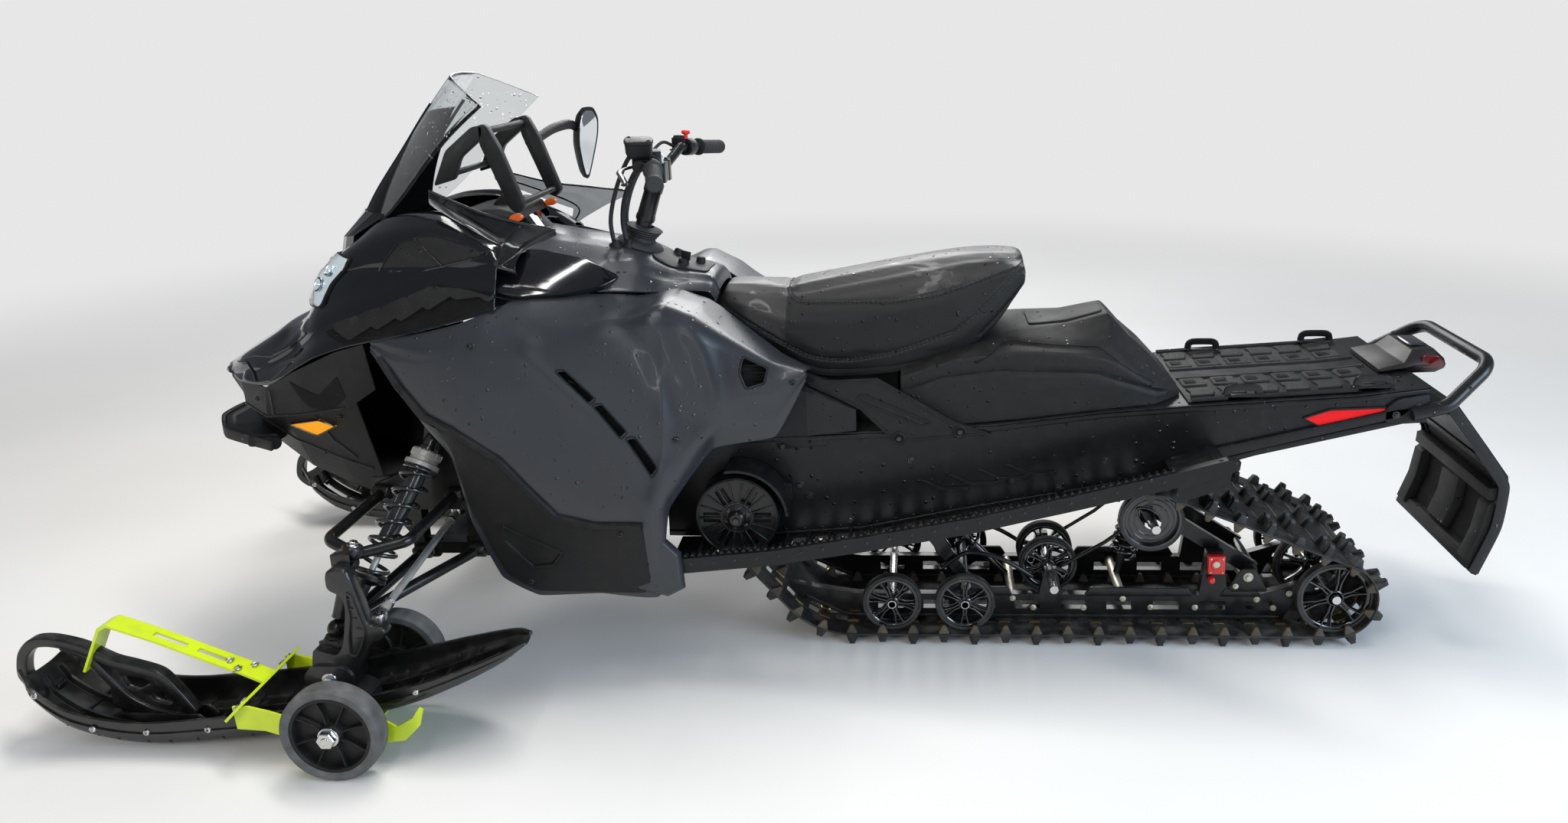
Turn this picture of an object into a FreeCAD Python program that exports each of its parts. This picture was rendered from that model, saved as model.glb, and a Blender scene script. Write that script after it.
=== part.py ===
import FreeCAD, Part
import math
import os

# Snowmobile on its two ski dollies. Millimetres.
# +X points to the rear, +Y to the rider's right, +Z up, and the floor is Z = 0.
# The left side, at -Y, is built first and mirrored for the right.

Vec = FreeCAD.Vector

# Track and skid
track_width = 381.0
track_pitch = 72.6
pitch_count = 48
belt_thick = 5.0
lug_height = 28.0
idler_radius = 89.0
road_radius = 70.5
upper_radius = 76.0
sprocket_radius = 84.0
rear_idler_x = 1209.0
upper_idler_x = 784.0
upper_idler_z = 306.0
drive_x = -178.0
drive_z = 360.0
rail_front_x = 85.0
rail_front_radius = 190.0
wheel_half_track = 150.0

# Tunnel, boards and rear
tunnel_half = 205.0
sheet = 3.0
board_half = 362.0
pulley_x = -158.0
pulley_z = 371.0
pulley_radius = 92.0
bumper_tube = 15.0
flap_half = 196.0
rib_count = 4
rib_pitch = 64.0
rib_height = 2.5
rib_start_x = 245.0

# Body panels
panel_wall = 4.0
tank_half = 126.0
seat_gap = 0.3
glass_wall = 3.5

# Front suspension
stance_half = 538.0
arm_tube = 12.5
ball_radius = 19.0
pin_radius = 7.0
column_radius = 14.0
spring_radius = 33.0
spring_wire = 5.0
spring_turns = 8
upper_ball = Vec(-931, -492, 366)
lower_ball = Vec(-966, -512, 228)
tie_outer = Vec(-869, -520, 260)
tie_inner = Vec(-846, -150, 330)
tie_tube = 8.0

# Skis and dollies
ski_half = 84.0
ski_floor_gap = 8.0
ski_wall = 7.0
saddle_height = 52.0
dolly_wheel_radius = 101.5
dolly_wheel_width = 42.0
dolly_axle_x = -902.0
dolly_wheel_offset = 141.0
dolly_axle_radius = 8.0
strap_thick = 5.0
pin_gap = 0.3

# The whole length is centred on X = 0 as it is exported
centre_shift = 43.7

# Steering
bar_radius = 11.0
grip_radius = 17.0
bar_half = 368.0
column_size = 19.0
steer_pivot = Vec(-395, 0, 985)
steer_top = Vec(-352, 0, 1112)


def prism(points, y0, y1):
    """A flat outline in X and Z, pulled from y0 to y1."""
    outline = [Vec(x, y0, z) for x, z in points]
    face = Part.Face(Part.makePolygon(outline + outline[:1]))
    return face.extrude(Vec(0, y1 - y0, 0))


def slab(x0, x1, y0, y1, z0, z1):
    return Part.makeBox(x1 - x0, y1 - y0, z1 - z0, Vec(x0, y0, z0))


def cylinder_y(x, z, radius, y0, y1):
    return Part.makeCylinder(radius, y1 - y0, Vec(x, y0, z), Vec(0, 1, 0))


def rod(start, end, radius):
    """A straight round bar between two points."""
    return Part.makeCylinder(radius, (end - start).Length, start, end - start)


def mirrored(shape):
    return shape.mirror(Vec(0, 0, 0), Vec(0, 1, 0))


def pair(shape):
    """A left piece and its right twin, as two loose solids."""
    return Part.makeCompound([shape, mirrored(shape)])


def joined(shapes):
    return shapes[0].multiFuse(shapes[1:]).removeSplitter()


def unit(vector):
    return vector * (1.0 / vector.Length)


def bent_path(points, bend):
    """Straight runs joined by tangent arcs of one bend radius."""
    edges = []
    start = points[0]
    for before, corner, after in zip(points, points[1:], points[2:]):
        into = unit(corner - before)
        out = unit(after - corner)
        turn = into.getAngle(out)
        reach = bend * math.tan(turn / 2.0)
        first = corner - into * reach
        last = corner + out * reach
        inward = unit(out - into)
        middle = corner + inward * (bend / math.cos(turn / 2.0) - bend)
        edges.append(Part.LineSegment(start, first).toShape())
        edges.append(Part.Arc(first, middle, last).toShape())
        start = last
    edges.append(Part.LineSegment(start, points[-1]).toShape())
    return Part.Wire(edges)


def bent_tube(points, radius, bend):
    path = bent_path(points, bend)
    ring = Part.Wire(Part.makeCircle(radius, points[0], points[1] - points[0]))
    return path.makePipeShell([ring], True, False)


def offset_line(points, wall):
    """A polyline moved sideways by the wall, with mitred corners."""
    moved = []
    last = len(points) - 1
    for i, (y, z) in enumerate(points):
        legs = []
        for a, b in ((i - 1, i), (i, i + 1)):
            if a >= 0 and b <= last:
                dy = points[b][0] - points[a][0]
                dz = points[b][1] - points[a][1]
                size = math.hypot(dy, dz)
                legs.append((-dz / size, dy / size))
        ny = sum(leg[0] for leg in legs)
        nz = sum(leg[1] for leg in legs)
        share = wall * len(legs) / max(ny * ny + nz * nz, 0.5)
        moved.append((y + ny * share, z + nz * share))
    return moved


def closed_section(x, points):
    corners = [Vec(x, y, z) for y, z in points]
    return Part.makePolygon(corners + corners[:1])


def solid_loft(stations):
    """Ruled solid through outlines in Y and Z at each X."""
    return Part.makeLoft([closed_section(x, points) for x, points in stations], True, True)


def skin_loft(stations, wall):
    """Ruled shell of one wall thickness through open section lines."""
    sections = []
    for x, points in stations:
        inner = offset_line(points, wall)
        sections.append(closed_section(x, points + inner[::-1]))
    return Part.makeLoft(sections, True, True)


parts = {}


def track_path():
    """Centres and radii that the belt's inner face wraps, in running order."""
    belt_floor = lug_height + belt_thick
    rail_z = belt_floor + rail_front_radius
    return [
        (rail_front_x, rail_z, rail_front_radius),
        (rear_idler_x, belt_floor + idler_radius, idler_radius),
        (upper_idler_x, upper_idler_z, upper_radius),
        (drive_x, drive_z, sprocket_radius),
    ]


def belt_runs(extra):
    """Tangent lines and wrap arcs of a loop held off the wheels by extra."""
    wheels = [(x, z, r + extra) for x, z, r in track_path()]
    runs = []
    for (ax, az, ar), (bx, bz, br) in zip(wheels, wheels[1:] + wheels[:1]):
        span = math.hypot(bx - ax, bz - az)
        heading = math.atan2(bz - az, bx - ax)
        tilt = math.asin((ar - br) / span)
        side = heading - math.pi / 2.0 + tilt
        start = (ax + ar * math.cos(side), az + ar * math.sin(side))
        end = (bx + br * math.cos(side), bz + br * math.sin(side))
        runs.append((start, end, side))
    return wheels, runs


def belt_outline(extra, y):
    wheels, runs = belt_runs(extra)
    edges = []
    for i, (start, end, side) in enumerate(runs):
        x, z, r = wheels[(i + 1) % len(wheels)]
        next_start, _, next_side = runs[(i + 1) % len(runs)]
        half = side + ((next_side - side) % (2.0 * math.pi)) / 2.0
        top = (x + r * math.cos(half), z + r * math.sin(half))
        edges.append(Part.LineSegment(Vec(start[0], y, start[1]), Vec(end[0], y, end[1])).toShape())
        corner = [Vec(p[0], y, p[1]) for p in (end, top, next_start)]
        edges.append(Part.Arc(*corner).toShape())
    return Part.Face(Part.Wire(edges))


def belt_place(distance):
    """Point, outward angle on the belt's outer face after a distance."""
    wheels, runs = belt_runs(belt_thick)
    while True:
        for i, (start, end, side) in enumerate(runs):
            length = math.hypot(end[0] - start[0], end[1] - start[1])
            if distance < length:
                share = distance / length
                return (start[0] + share * (end[0] - start[0]), start[1] + share * (end[1] - start[1]), side)
            distance -= length
            x, z, r = wheels[(i + 1) % len(wheels)]
            sweep = (runs[(i + 1) % len(runs)][2] - side) % (2.0 * math.pi)
            if distance < sweep * r:
                angle = side + distance / r
                return (x + r * math.cos(angle), z + r * math.sin(angle), angle)
            distance -= sweep * r


def make_track():
    half = track_width / 2.0
    outer = belt_outline(belt_thick, -half).extrude(Vec(0, track_width, 0))
    inner = belt_outline(0.0, -half - 1.0).extrude(Vec(0, track_width + 2.0, 0))
    belt = outer.cut(inner)
    wheels, runs = belt_runs(belt_thick)
    total = 0.0
    for i, (start, end, side) in enumerate(runs):
        sweep = (runs[(i + 1) % len(runs)][2] - side) % (2.0 * math.pi)
        total += math.hypot(end[0] - start[0], end[1] - start[1]) + sweep * wheels[(i + 1) % 4][2]
    # lug rows: centre and half length across the belt
    even_row = [(-150.0, 34.0), (0.0, 44.0), (150.0, 34.0)]
    odd_row = [(-82.0, 30.0), (82.0, 30.0)]
    root, tip, sunk = 13.0, 7.0, 1.5
    lugs = []
    for k in range(pitch_count):
        x, z, angle = belt_place(total * k / pitch_count)
        out = Vec(math.cos(angle), 0, math.sin(angle))
        along = Vec(-out.z, 0, out.x)
        base = Vec(x, 0, z)
        for centre, reach in (odd_row if k % 2 else even_row):
            foot = base - out * sunk
            top = base + out * lug_height
            corners = [foot - along * root, foot + along * root, top + along * tip, top - along * tip]
            corners = [c + Vec(0, centre - reach, 0) for c in corners]
            face = Part.Face(Part.makePolygon(corners + corners[:1]))
            lugs.append(face.extrude(Vec(0, 2.0 * reach, 0)))
    print("track loop", round(total, 1), "against", round(pitch_count * track_pitch, 1))
    return belt.multiFuse(lugs)


def spoked_wheel(x, z, radius, y0, width, spokes, bore):
    """Rubber-rimmed wheel with windows between its spokes."""
    wheel = cylinder_y(x, z, radius, y0, y0 + width)
    hub = radius * 0.3
    rim = radius * 0.8
    web = cylinder_y(x, z, rim, y0 - 1.0, y0 + width + 1.0).cut(cylinder_y(x, z, hub, y0 - 1.0, y0 + width + 1.0))
    plate = cylinder_y(x, z, rim, y0 + width * 0.3, y0 + width * 0.7)
    arms = []
    for k in range(spokes):
        bar = slab(x, x + rim, y0 + 1.0, y0 + width - 1.0, z - radius * 0.07, z + radius * 0.07)
        arms.append(bar.rotate(Vec(x, 0, z), Vec(0, 1, 0), 360.0 * k / spokes))
    wheel = wheel.cut(web).fuse(plate.fuse(arms))
    return wheel.cut(cylinder_y(x, z, bore, y0 - 1.0, y0 + width + 1.0)).removeSplitter()


def make_skid():
    belt_floor = lug_height + belt_thick
    idler_z = belt_floor + idler_radius
    road_z = belt_floor + road_radius
    shaft = 10.0
    rail_y = 100.0
    rail_half = 10.0
    rail_foot = belt_floor + seat_gap
    rail_top = belt_floor + 62.0
    tip_x = rail_front_x - 150.0
    tip_z = belt_floor + 62.0
    side = [(tip_x, tip_z), (rail_front_x + 10, rail_foot), (rear_idler_x - 96, rail_foot),
            (rear_idler_x - 60, idler_z - 16), (rear_idler_x - 24, idler_z - 16), (rear_idler_x - 24, idler_z + 16),
            (rear_idler_x - 160, rail_top), (rail_front_x + 10, rail_top), (tip_x + 4, tip_z + 26)]
    rail = prism(side, -rail_y - rail_half, -rail_y + rail_half)
    upstand = prism([(912, rail_top - 4), (980, rail_top - 4), (966, 208), (926, 208)], -rail_y - rail_half,
                    -rail_y + rail_half)
    post = prism([(532, rail_top - 4), (588, rail_top - 4), (574, road_z + 56), (546, road_z + 56)],
                 -rail_y - rail_half, -rail_y + rail_half)
    post = post.cut(cylinder_y(560, road_z + 40, shaft + seat_gap, -rail_y - 20, -rail_y + 20))
    rail = joined([rail, upstand, post])
    window_pitch = 110.0
    for k in range(9):
        x0 = rail_front_x + 60.0 + k * window_pitch
        rail = rail.cut(slab(x0, x0 + 62.0, -rail_y - 20, -rail_y + 20, belt_floor + 24, belt_floor + 46))
    for x, z in ((181.0, road_z), (353.0, road_z)):
        rail = rail.cut(cylinder_y(x, z, shaft + seat_gap, -rail_y - 20, -rail_y + 20))
    inside = belt_outline(-seat_gap, -rail_y - 20).extrude(Vec(0, 40, 0))
    parts["slide_rails"] = pair(rail.common(inside))
    outer_y = wheel_half_track + 12.0
    wheel_width = 22.0
    # road wheels: x, z, radius, inner edge y
    road_wheels = [(181.0, road_z, road_radius, outer_y), (353.0, road_z, road_radius, outer_y),
                   (560.0, road_z + 40, road_radius, 45.0)]
    wheels = []
    axles = []
    for x, z, radius, y in road_wheels:
        wheel = spoked_wheel(x, z, radius - 0.5, -y - wheel_width / 2.0, wheel_width, 6, shaft + 0.3)
        wheels += [wheel, mirrored(wheel)]
        axles.append(cylinder_y(x, z, shaft, -outer_y - 18, outer_y + 18))
    for y in (-outer_y, 0.0, outer_y):
        wheels.append(spoked_wheel(rear_idler_x, idler_z, idler_radius - 0.5, y - wheel_width / 2.0,
                                   wheel_width, 6, shaft + 0.3))
    axles.append(cylinder_y(rear_idler_x, idler_z, shaft, -outer_y - 20, outer_y + 20))
    for y in (-wheel_half_track + 6, wheel_half_track - 6):
        wheels.append(spoked_wheel(upper_idler_x, upper_idler_z, upper_radius - 0.5, y - wheel_width / 2.0,
                                   wheel_width, 5, shaft + 0.3))
    parts["skid_wheels"] = Part.makeCompound(wheels)
    axles.append(cylinder_y(upper_idler_x, upper_idler_z, shaft, -tunnel_half + sheet + seat_gap,
                            tunnel_half - sheet - seat_gap))
    parts["skid_axles"] = Part.makeCompound([a for a in axles])
    # arms: lower end, upper end (x, z)
    front_arm = prism([(330, road_z + 30), (368, road_z + 24), (204, 380), (166, 366)], -78, -62)
    front_cross = cylinder_y(184, 374, 16, -tunnel_half + sheet + seat_gap, tunnel_half - sheet - seat_gap)
    front_foot = cylinder_y(350, road_z + 28, 15, -rail_y + rail_half, rail_y - rail_half)
    arms = [joined([front_arm, mirrored(front_arm), front_cross, front_foot])]
    rear_arm = prism([(1022, 140), (1058, 160), (806, 322), (776, 298)], -78, -62)
    rear_cross = cylinder_y(upper_idler_x, upper_idler_z, 14, -110, 110).cut(
        cylinder_y(upper_idler_x, upper_idler_z, shaft + pin_gap, -120, 120))
    rear_arm = rear_arm.cut(cylinder_y(upper_idler_x, upper_idler_z, shaft + pin_gap, -120, 0))
    rear_foot = cylinder_y(1038, 152, 15, -rail_y + rail_half, rail_y - rail_half)
    arms.append(joined([rear_arm, mirrored(rear_arm), rear_cross, rear_foot]))
    parts["skid_arms"] = Part.makeCompound(arms)
    shocks = []
    tube_radius = 11.0
    for start, end, radius in ((Vec(184, 0, 374), Vec(470, 0, 84), 20), (Vec(784, 0, 306), Vec(733, 0, 84), 20)):
        line = unit(end - start)
        first = start + line * (16.0 + seat_gap)
        last = end - line * (tube_radius + seat_gap)
        body = rod(first + line * 20, first + line * (0.62 * (last - first).Length), radius)
        shocks.append(body.fuse(rod(first, last, radius * 0.4)))
    parts["skid_shocks"] = Part.makeCompound(shocks)
    # cross tubes: x, z
    tubes = [cylinder_y(x, z, tube_radius, -rail_y + rail_half + seat_gap, rail_y - rail_half - seat_gap)
             for x, z in ((470, 84), (733, 84), (1050, 84))]
    parts["skid_cross_tubes"] = Part.makeCompound(tubes)
    adjuster = slab(926, 966, -rail_y - rail_half - 18, -rail_y - rail_half - seat_gap, 158, 204)
    parts["skid_adjusters"] = pair(adjuster)
    axle = cylinder_y(drive_x, drive_z, 14, -tunnel_half + sheet + seat_gap, tunnel_half - sheet - seat_gap)
    drive = [axle]
    for y in (-120.0, -40.0, 40.0, 120.0):
        drive.append(cylinder_y(drive_x, drive_z, sprocket_radius - 0.5, y - 9, y + 9))
    parts["drive_axle"] = joined(drive)


# tunnel side edges: x, z
tunnel_top = [(-330, 520), (-77, 538), (154, 546), (413, 562), (653, 592), (914, 611), (1200, 629), (1356, 648)]
tunnel_low = [(1356, 566), (1306, 563), (993, 489), (810, 434), (584, 392), (353, 350), (119, 302), (-78, 287),
              (-330, 292)]


def make_tunnel():
    outer = prism(tunnel_top + tunnel_low, -tunnel_half, tunnel_half)
    room_top = [(x, z - sheet) for x, z in tunnel_top]
    room = [(-330 + sheet, room_top[0][1])] + room_top[1:-1] + [(1400, room_top[-1][1] + 4), (1400, 0),
                                                               (-330 + sheet, 0)]
    inner = prism(room, -tunnel_half + sheet, tunnel_half - sheet)
    # hangers that carry the upper idler axle below the tunnel
    hanger = prism([(728, 424), (842, 446), (812, 286), (758, 286)], -tunnel_half, -tunnel_half + sheet)
    # pressed ribs that stiffen the tunnel's side
    ribs = []
    for k in range(rib_count):
        x = rib_start_x + k * rib_pitch
        z = row_at(tunnel_low[::-1], x)[1] + 78
        rib = prism([(x, z + 26), (x + 12, z + 26), (x + 56, z + 6), (x + 118, z + 10), (x + 118, z), (x + 54, z - 5)],
                    -tunnel_half - rib_height, -tunnel_half + 1)
        ribs += [rib, mirrored(rib)]
    parts["tunnel"] = joined([outer.cut(inner), hanger, mirrored(hanger)] + ribs)
    # board: x, outer z, inner z
    board = [(-300, 284, 286), (-78, 306, 288), (119, 338, 304), (353, 382, 352), (584, 438, 394), (800, 492, 434)]
    stations = []
    for x, z_out, z_in in board:
        rim = 24.0
        stations.append((x, [(-board_half, z_out + rim), (-board_half, z_out - 10), (-board_half + 22, z_out - 10),
                             (-tunnel_half - seat_gap, z_in), (-tunnel_half - seat_gap, z_in + 4), (-board_half + 24, z_out + 4),
                             (-board_half + 20, z_out + rim)]))
    plate = solid_loft(stations)
    for k in range(16):
        x0 = -40.0 + k * 50.0
        plate = plate.cut(slab(x0, x0 + 30, -board_half + 40, -tunnel_half - 30, 150, 700))
    pulley = cylinder_y(pulley_x, pulley_z, pulley_radius, -tunnel_half - 74, -tunnel_half - 14)
    groove = cylinder_y(pulley_x, pulley_z, pulley_radius + 5, -tunnel_half - 50, -tunnel_half - 38).cut(
        cylinder_y(pulley_x, pulley_z, pulley_radius - 22, -tunnel_half - 50, -tunnel_half - 38))
    slots = []
    for k in range(6):
        slot = slab(pulley_x + 38, pulley_x + 76, -tunnel_half - 75, -tunnel_half - 64, pulley_z - 12, pulley_z + 12)
        slots.append(slot.rotate(Vec(pulley_x, 0, pulley_z), Vec(0, 1, 0), 60.0 * k))
    shaft = cylinder_y(pulley_x, pulley_z, 15, -tunnel_half - 84, -tunnel_half - seat_gap)
    parts["driven_pulley"] = pulley.cut(groove).cut(Part.makeCompound(slots)).fuse(shaft).removeSplitter()
    guard_ring = cylinder_y(pulley_x, pulley_z, pulley_radius + 24, -tunnel_half - 86, -tunnel_half - 6)
    guard_ring = guard_ring.cut(cylinder_y(pulley_x, pulley_z, pulley_radius + 18, -tunnel_half - 90, -tunnel_half))
    wedge = prism([(pulley_x, pulley_z), (pulley_x - 40, pulley_z + 200), (pulley_x + 200, pulley_z + 200),
                   (pulley_x + 200, pulley_z + 10)], -tunnel_half - 95, -tunnel_half)
    foot = prism([(pulley_x + 108, pulley_z + 20), (pulley_x + 118, pulley_z + 18), (pulley_x + 118, pulley_z + 56),
                  (pulley_x + 96, pulley_z + 60)], -tunnel_half - 20, -tunnel_half - seat_gap)
    parts["pulley_guard"] = joined([guard_ring.common(wedge), foot])
    tail = prism([(790, 474), (913, 518), (915, 536), (889, 540), (790, 513)], -board_half, -board_half + 22)
    hanger = prism([(792, 434), (900, 470), (905, 510), (880, 514), (792, 480)], -board_half + 22,
                   -tunnel_half - seat_gap)
    pulley_room = cylinder_y(pulley_x, pulley_z, pulley_radius + 8, -tunnel_half - 92, -tunnel_half + 1)
    board_left = joined([plate, tail, hanger]).cut(pulley_room)
    parts["running_boards"] = pair(board_left)


def make_rear():
    deck = [(x, row_at(tunnel_top, x)[1] + seat_gap) for x in (842, 914, 1200, 1286)]
    plate = prism(deck + [(x, z + 4) for x, z in deck[::-1]], -tunnel_half + 10, tunnel_half - 10)
    pads = []
    for k in range(6):
        x0 = 852.0 + k * 72.0
        z0 = row_at(tunnel_top, x0)[1] + 2.0
        z1 = row_at(tunnel_top, x0 + 58)[1] + 2.0
        for y0 in (-165.0, -100.0, 45.0, 110.0):
            pads.append(prism([(x0, z0), (x0 + 58, z1), (x0 + 58, z1 + 7), (x0, z0 + 7)], y0, y0 + 55))
    parts["rear_deck"] = joined([plate] + pads)
    anchors = []
    for x in (963, 1243):
        z = row_at(tunnel_top, x + 43)[1] + 4.6
        for y in (-tunnel_half + 21, tunnel_half - 21):
            block = prism([(x - 43, z - 5.4), (x - 43, z + 12), (x - 34, z + 26), (x + 34, z + 26), (x + 43, z + 12),
                           (x + 43, z)], y - 9, y + 9)
            anchors.append(block.cut(slab(x - 28, x + 28, y - 10, y + 10, z + 4, z + 17)))
    parts["cargo_anchors"] = Part.makeCompound(anchors)
    lamp = [(1292, 640.6), (1356.5, 648.4), (1358, 636), (1440, 640), (1452, 668), (1425, 694), (1372, 692),
            (1350, 664), (1292, 652)]
    parts["tail_lamp"] = prism(lamp, -92, 92)
    wedge = prism([(1091, 577), (1124, 557), (1305, 601), (1147, 594)], -tunnel_half - 3, -tunnel_half - seat_gap)
    parts["side_reflectors"] = pair(wedge)
    leg_y = tunnel_half + bumper_tube + seat_gap
    leg = [Vec(1316, -leg_y, 590), Vec(1390, -leg_y, 608), Vec(1500, -170, 690), Vec(1500, 170, 690),
           Vec(1390, leg_y, 608), Vec(1316, leg_y, 590)]
    parts["rear_bumper"] = bent_tube(leg, bumper_tube, 60)
    roof_z = row_at(tunnel_top, 1346)[1] - sheet - seat_gap
    flap = [(1346, roof_z), (1346, 586), (1396, 592), (1414, 588), (1486, 494), (1536, 424), (1543, 400), (1536, 312),
            (1496, 200), (1508, 195), (1550, 308), (1557, 400), (1551, 436), (1500, 504), (1424, 604), (1398, 608),
            (1358, 600), (1352, roof_z)]
    flap_shape = prism(flap, -flap_half, flap_half)
    pocket = prism([(1500, 380), (1549, 380), (1543, 305), (1490, 300)], -120, 120)
    parts["snow_flap"] = flap_shape.cut(pocket).cut(parts["tunnel"])


# hood: x, edge y, edge z, shoulder y, shoulder z, crown z
hood_rows = [
    (-1432, 30, 640, 20, 648, 652),
    (-1350, 110, 638, 84, 690, 704),
    (-1240, 180, 650, 130, 752, 770),
    (-1150, 225, 700, 150, 800, 822),
    (-1085, 250, 735, 170, 905, 935),
    (-1000, 270, 765, 205, 930, 962),
    (-850, 296, 800, 240, 945, 985),
    (-650, 300, 850, 258, 950, 990),
]
# console: x, edge y, edge z, shoulder y, shoulder z, crown z
console_rows = [
    (-649.7, 270, 880, 170, 950, 978),
    (-560, 230, 880, 160, 936, 962),
    (-460, 200, 869, 150, 920, 946),
    (-382, 185, 866, 130, 905, 924),
    (-322, 168, 862, 110, 878, 894),
    (-232, 124, 850, 80, 866, 874),
    (-214, 112, 824, 70, 836, 842),
]
# side panel: x, top y, top z, shoulder y, shoulder z, crease y, crease z, low y, low z
side_rows = [
    (-935, 283, 784, 288, 776, 290, 768, 290, 760),
    (-815, 302, 806, 330, 775, 345, 640, 340, 613),
    (-757, 308, 820, 345, 785, 366, 625, 352, 544),
    (-722, 312, 830, 352, 792, 376, 600, 360, 395),
    (-667, 300, 850, 354, 800, 386, 560, 362, 268),
    (-587, 244, 878, 352, 806, 394, 500, 364, 225),
    (-450, 202, 866, 350, 822, 400, 425, 367, 232),
    (-320, 170, 860, 345, 856, 402, 445, 367, 226),
    (-285, 150, 856, 335, 856, 398, 560, 374, 437),
    (-193, 140, 816, 320, 812, 352, 640, 330, 554),
    (-60, 156, 716, 318, 736, 326, 650, 318, 577),
    (9, 164, 680, 314, 724, 320, 718, 318, 700),
]
# nose panel: x, upper y, upper z, lower y, lower z
nose_rows = [
    (-1416, 44, 639, 42, 628),
    (-1380, 80, 637, 60, 588),
    (-1350, 110, 636, 108, 580),
    (-1250, 180, 646, 194, 576),
    (-1150, 225, 698, 218, 590),
    (-1033, 262, 752, 238, 612),
    (-960, 278, 774, 246, 660),
]
# belly pan: x, lower y, lower z
belly_rows = [
    (-1379, 40, 548),
    (-1300, 100, 500),
    (-1200, 120, 430),
    (-1100, 130, 388),
    (-1010, 135, 352),
]


# side panel vents and its rear window, and the hood's side louvres: x, z
panel_vents = [
    [(-507, 736), (-490, 739), (-430, 682), (-442, 672)],
    [(-431, 664), (-414, 668), (-365, 612), (-378, 599)],
    [(-364, 594), (-346, 598), (-302, 536), (-315, 518)],
    [(-121, 754), (-73, 729), (-80, 700), (-116, 691), (-128, 722)],
]
louvre_count = 4
louvre_pitch = 66.0
louvre_start = Vec(-985, 0, 800)


def hood_stations():
    stations = []
    for x, ey, ez, sy, sz, cz in hood_rows:
        stations.append((x, [(ey, ez), (sy, sz), (sy * 0.35, cz), (-sy * 0.35, cz), (-sy, sz), (-ey, ez)]))
    return stations


def row_at(rows, x):
    """A table's row at any place along X, by straight lines between rows."""
    for low, high in zip(rows, rows[1:]):
        if low[0] <= x <= high[0]:
            share = (x - low[0]) / (high[0] - low[0])
            return [a + share * (b - a) for a, b in zip(low, high)]
    return list(rows[0] if x < rows[0][0] else rows[-1])


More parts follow.
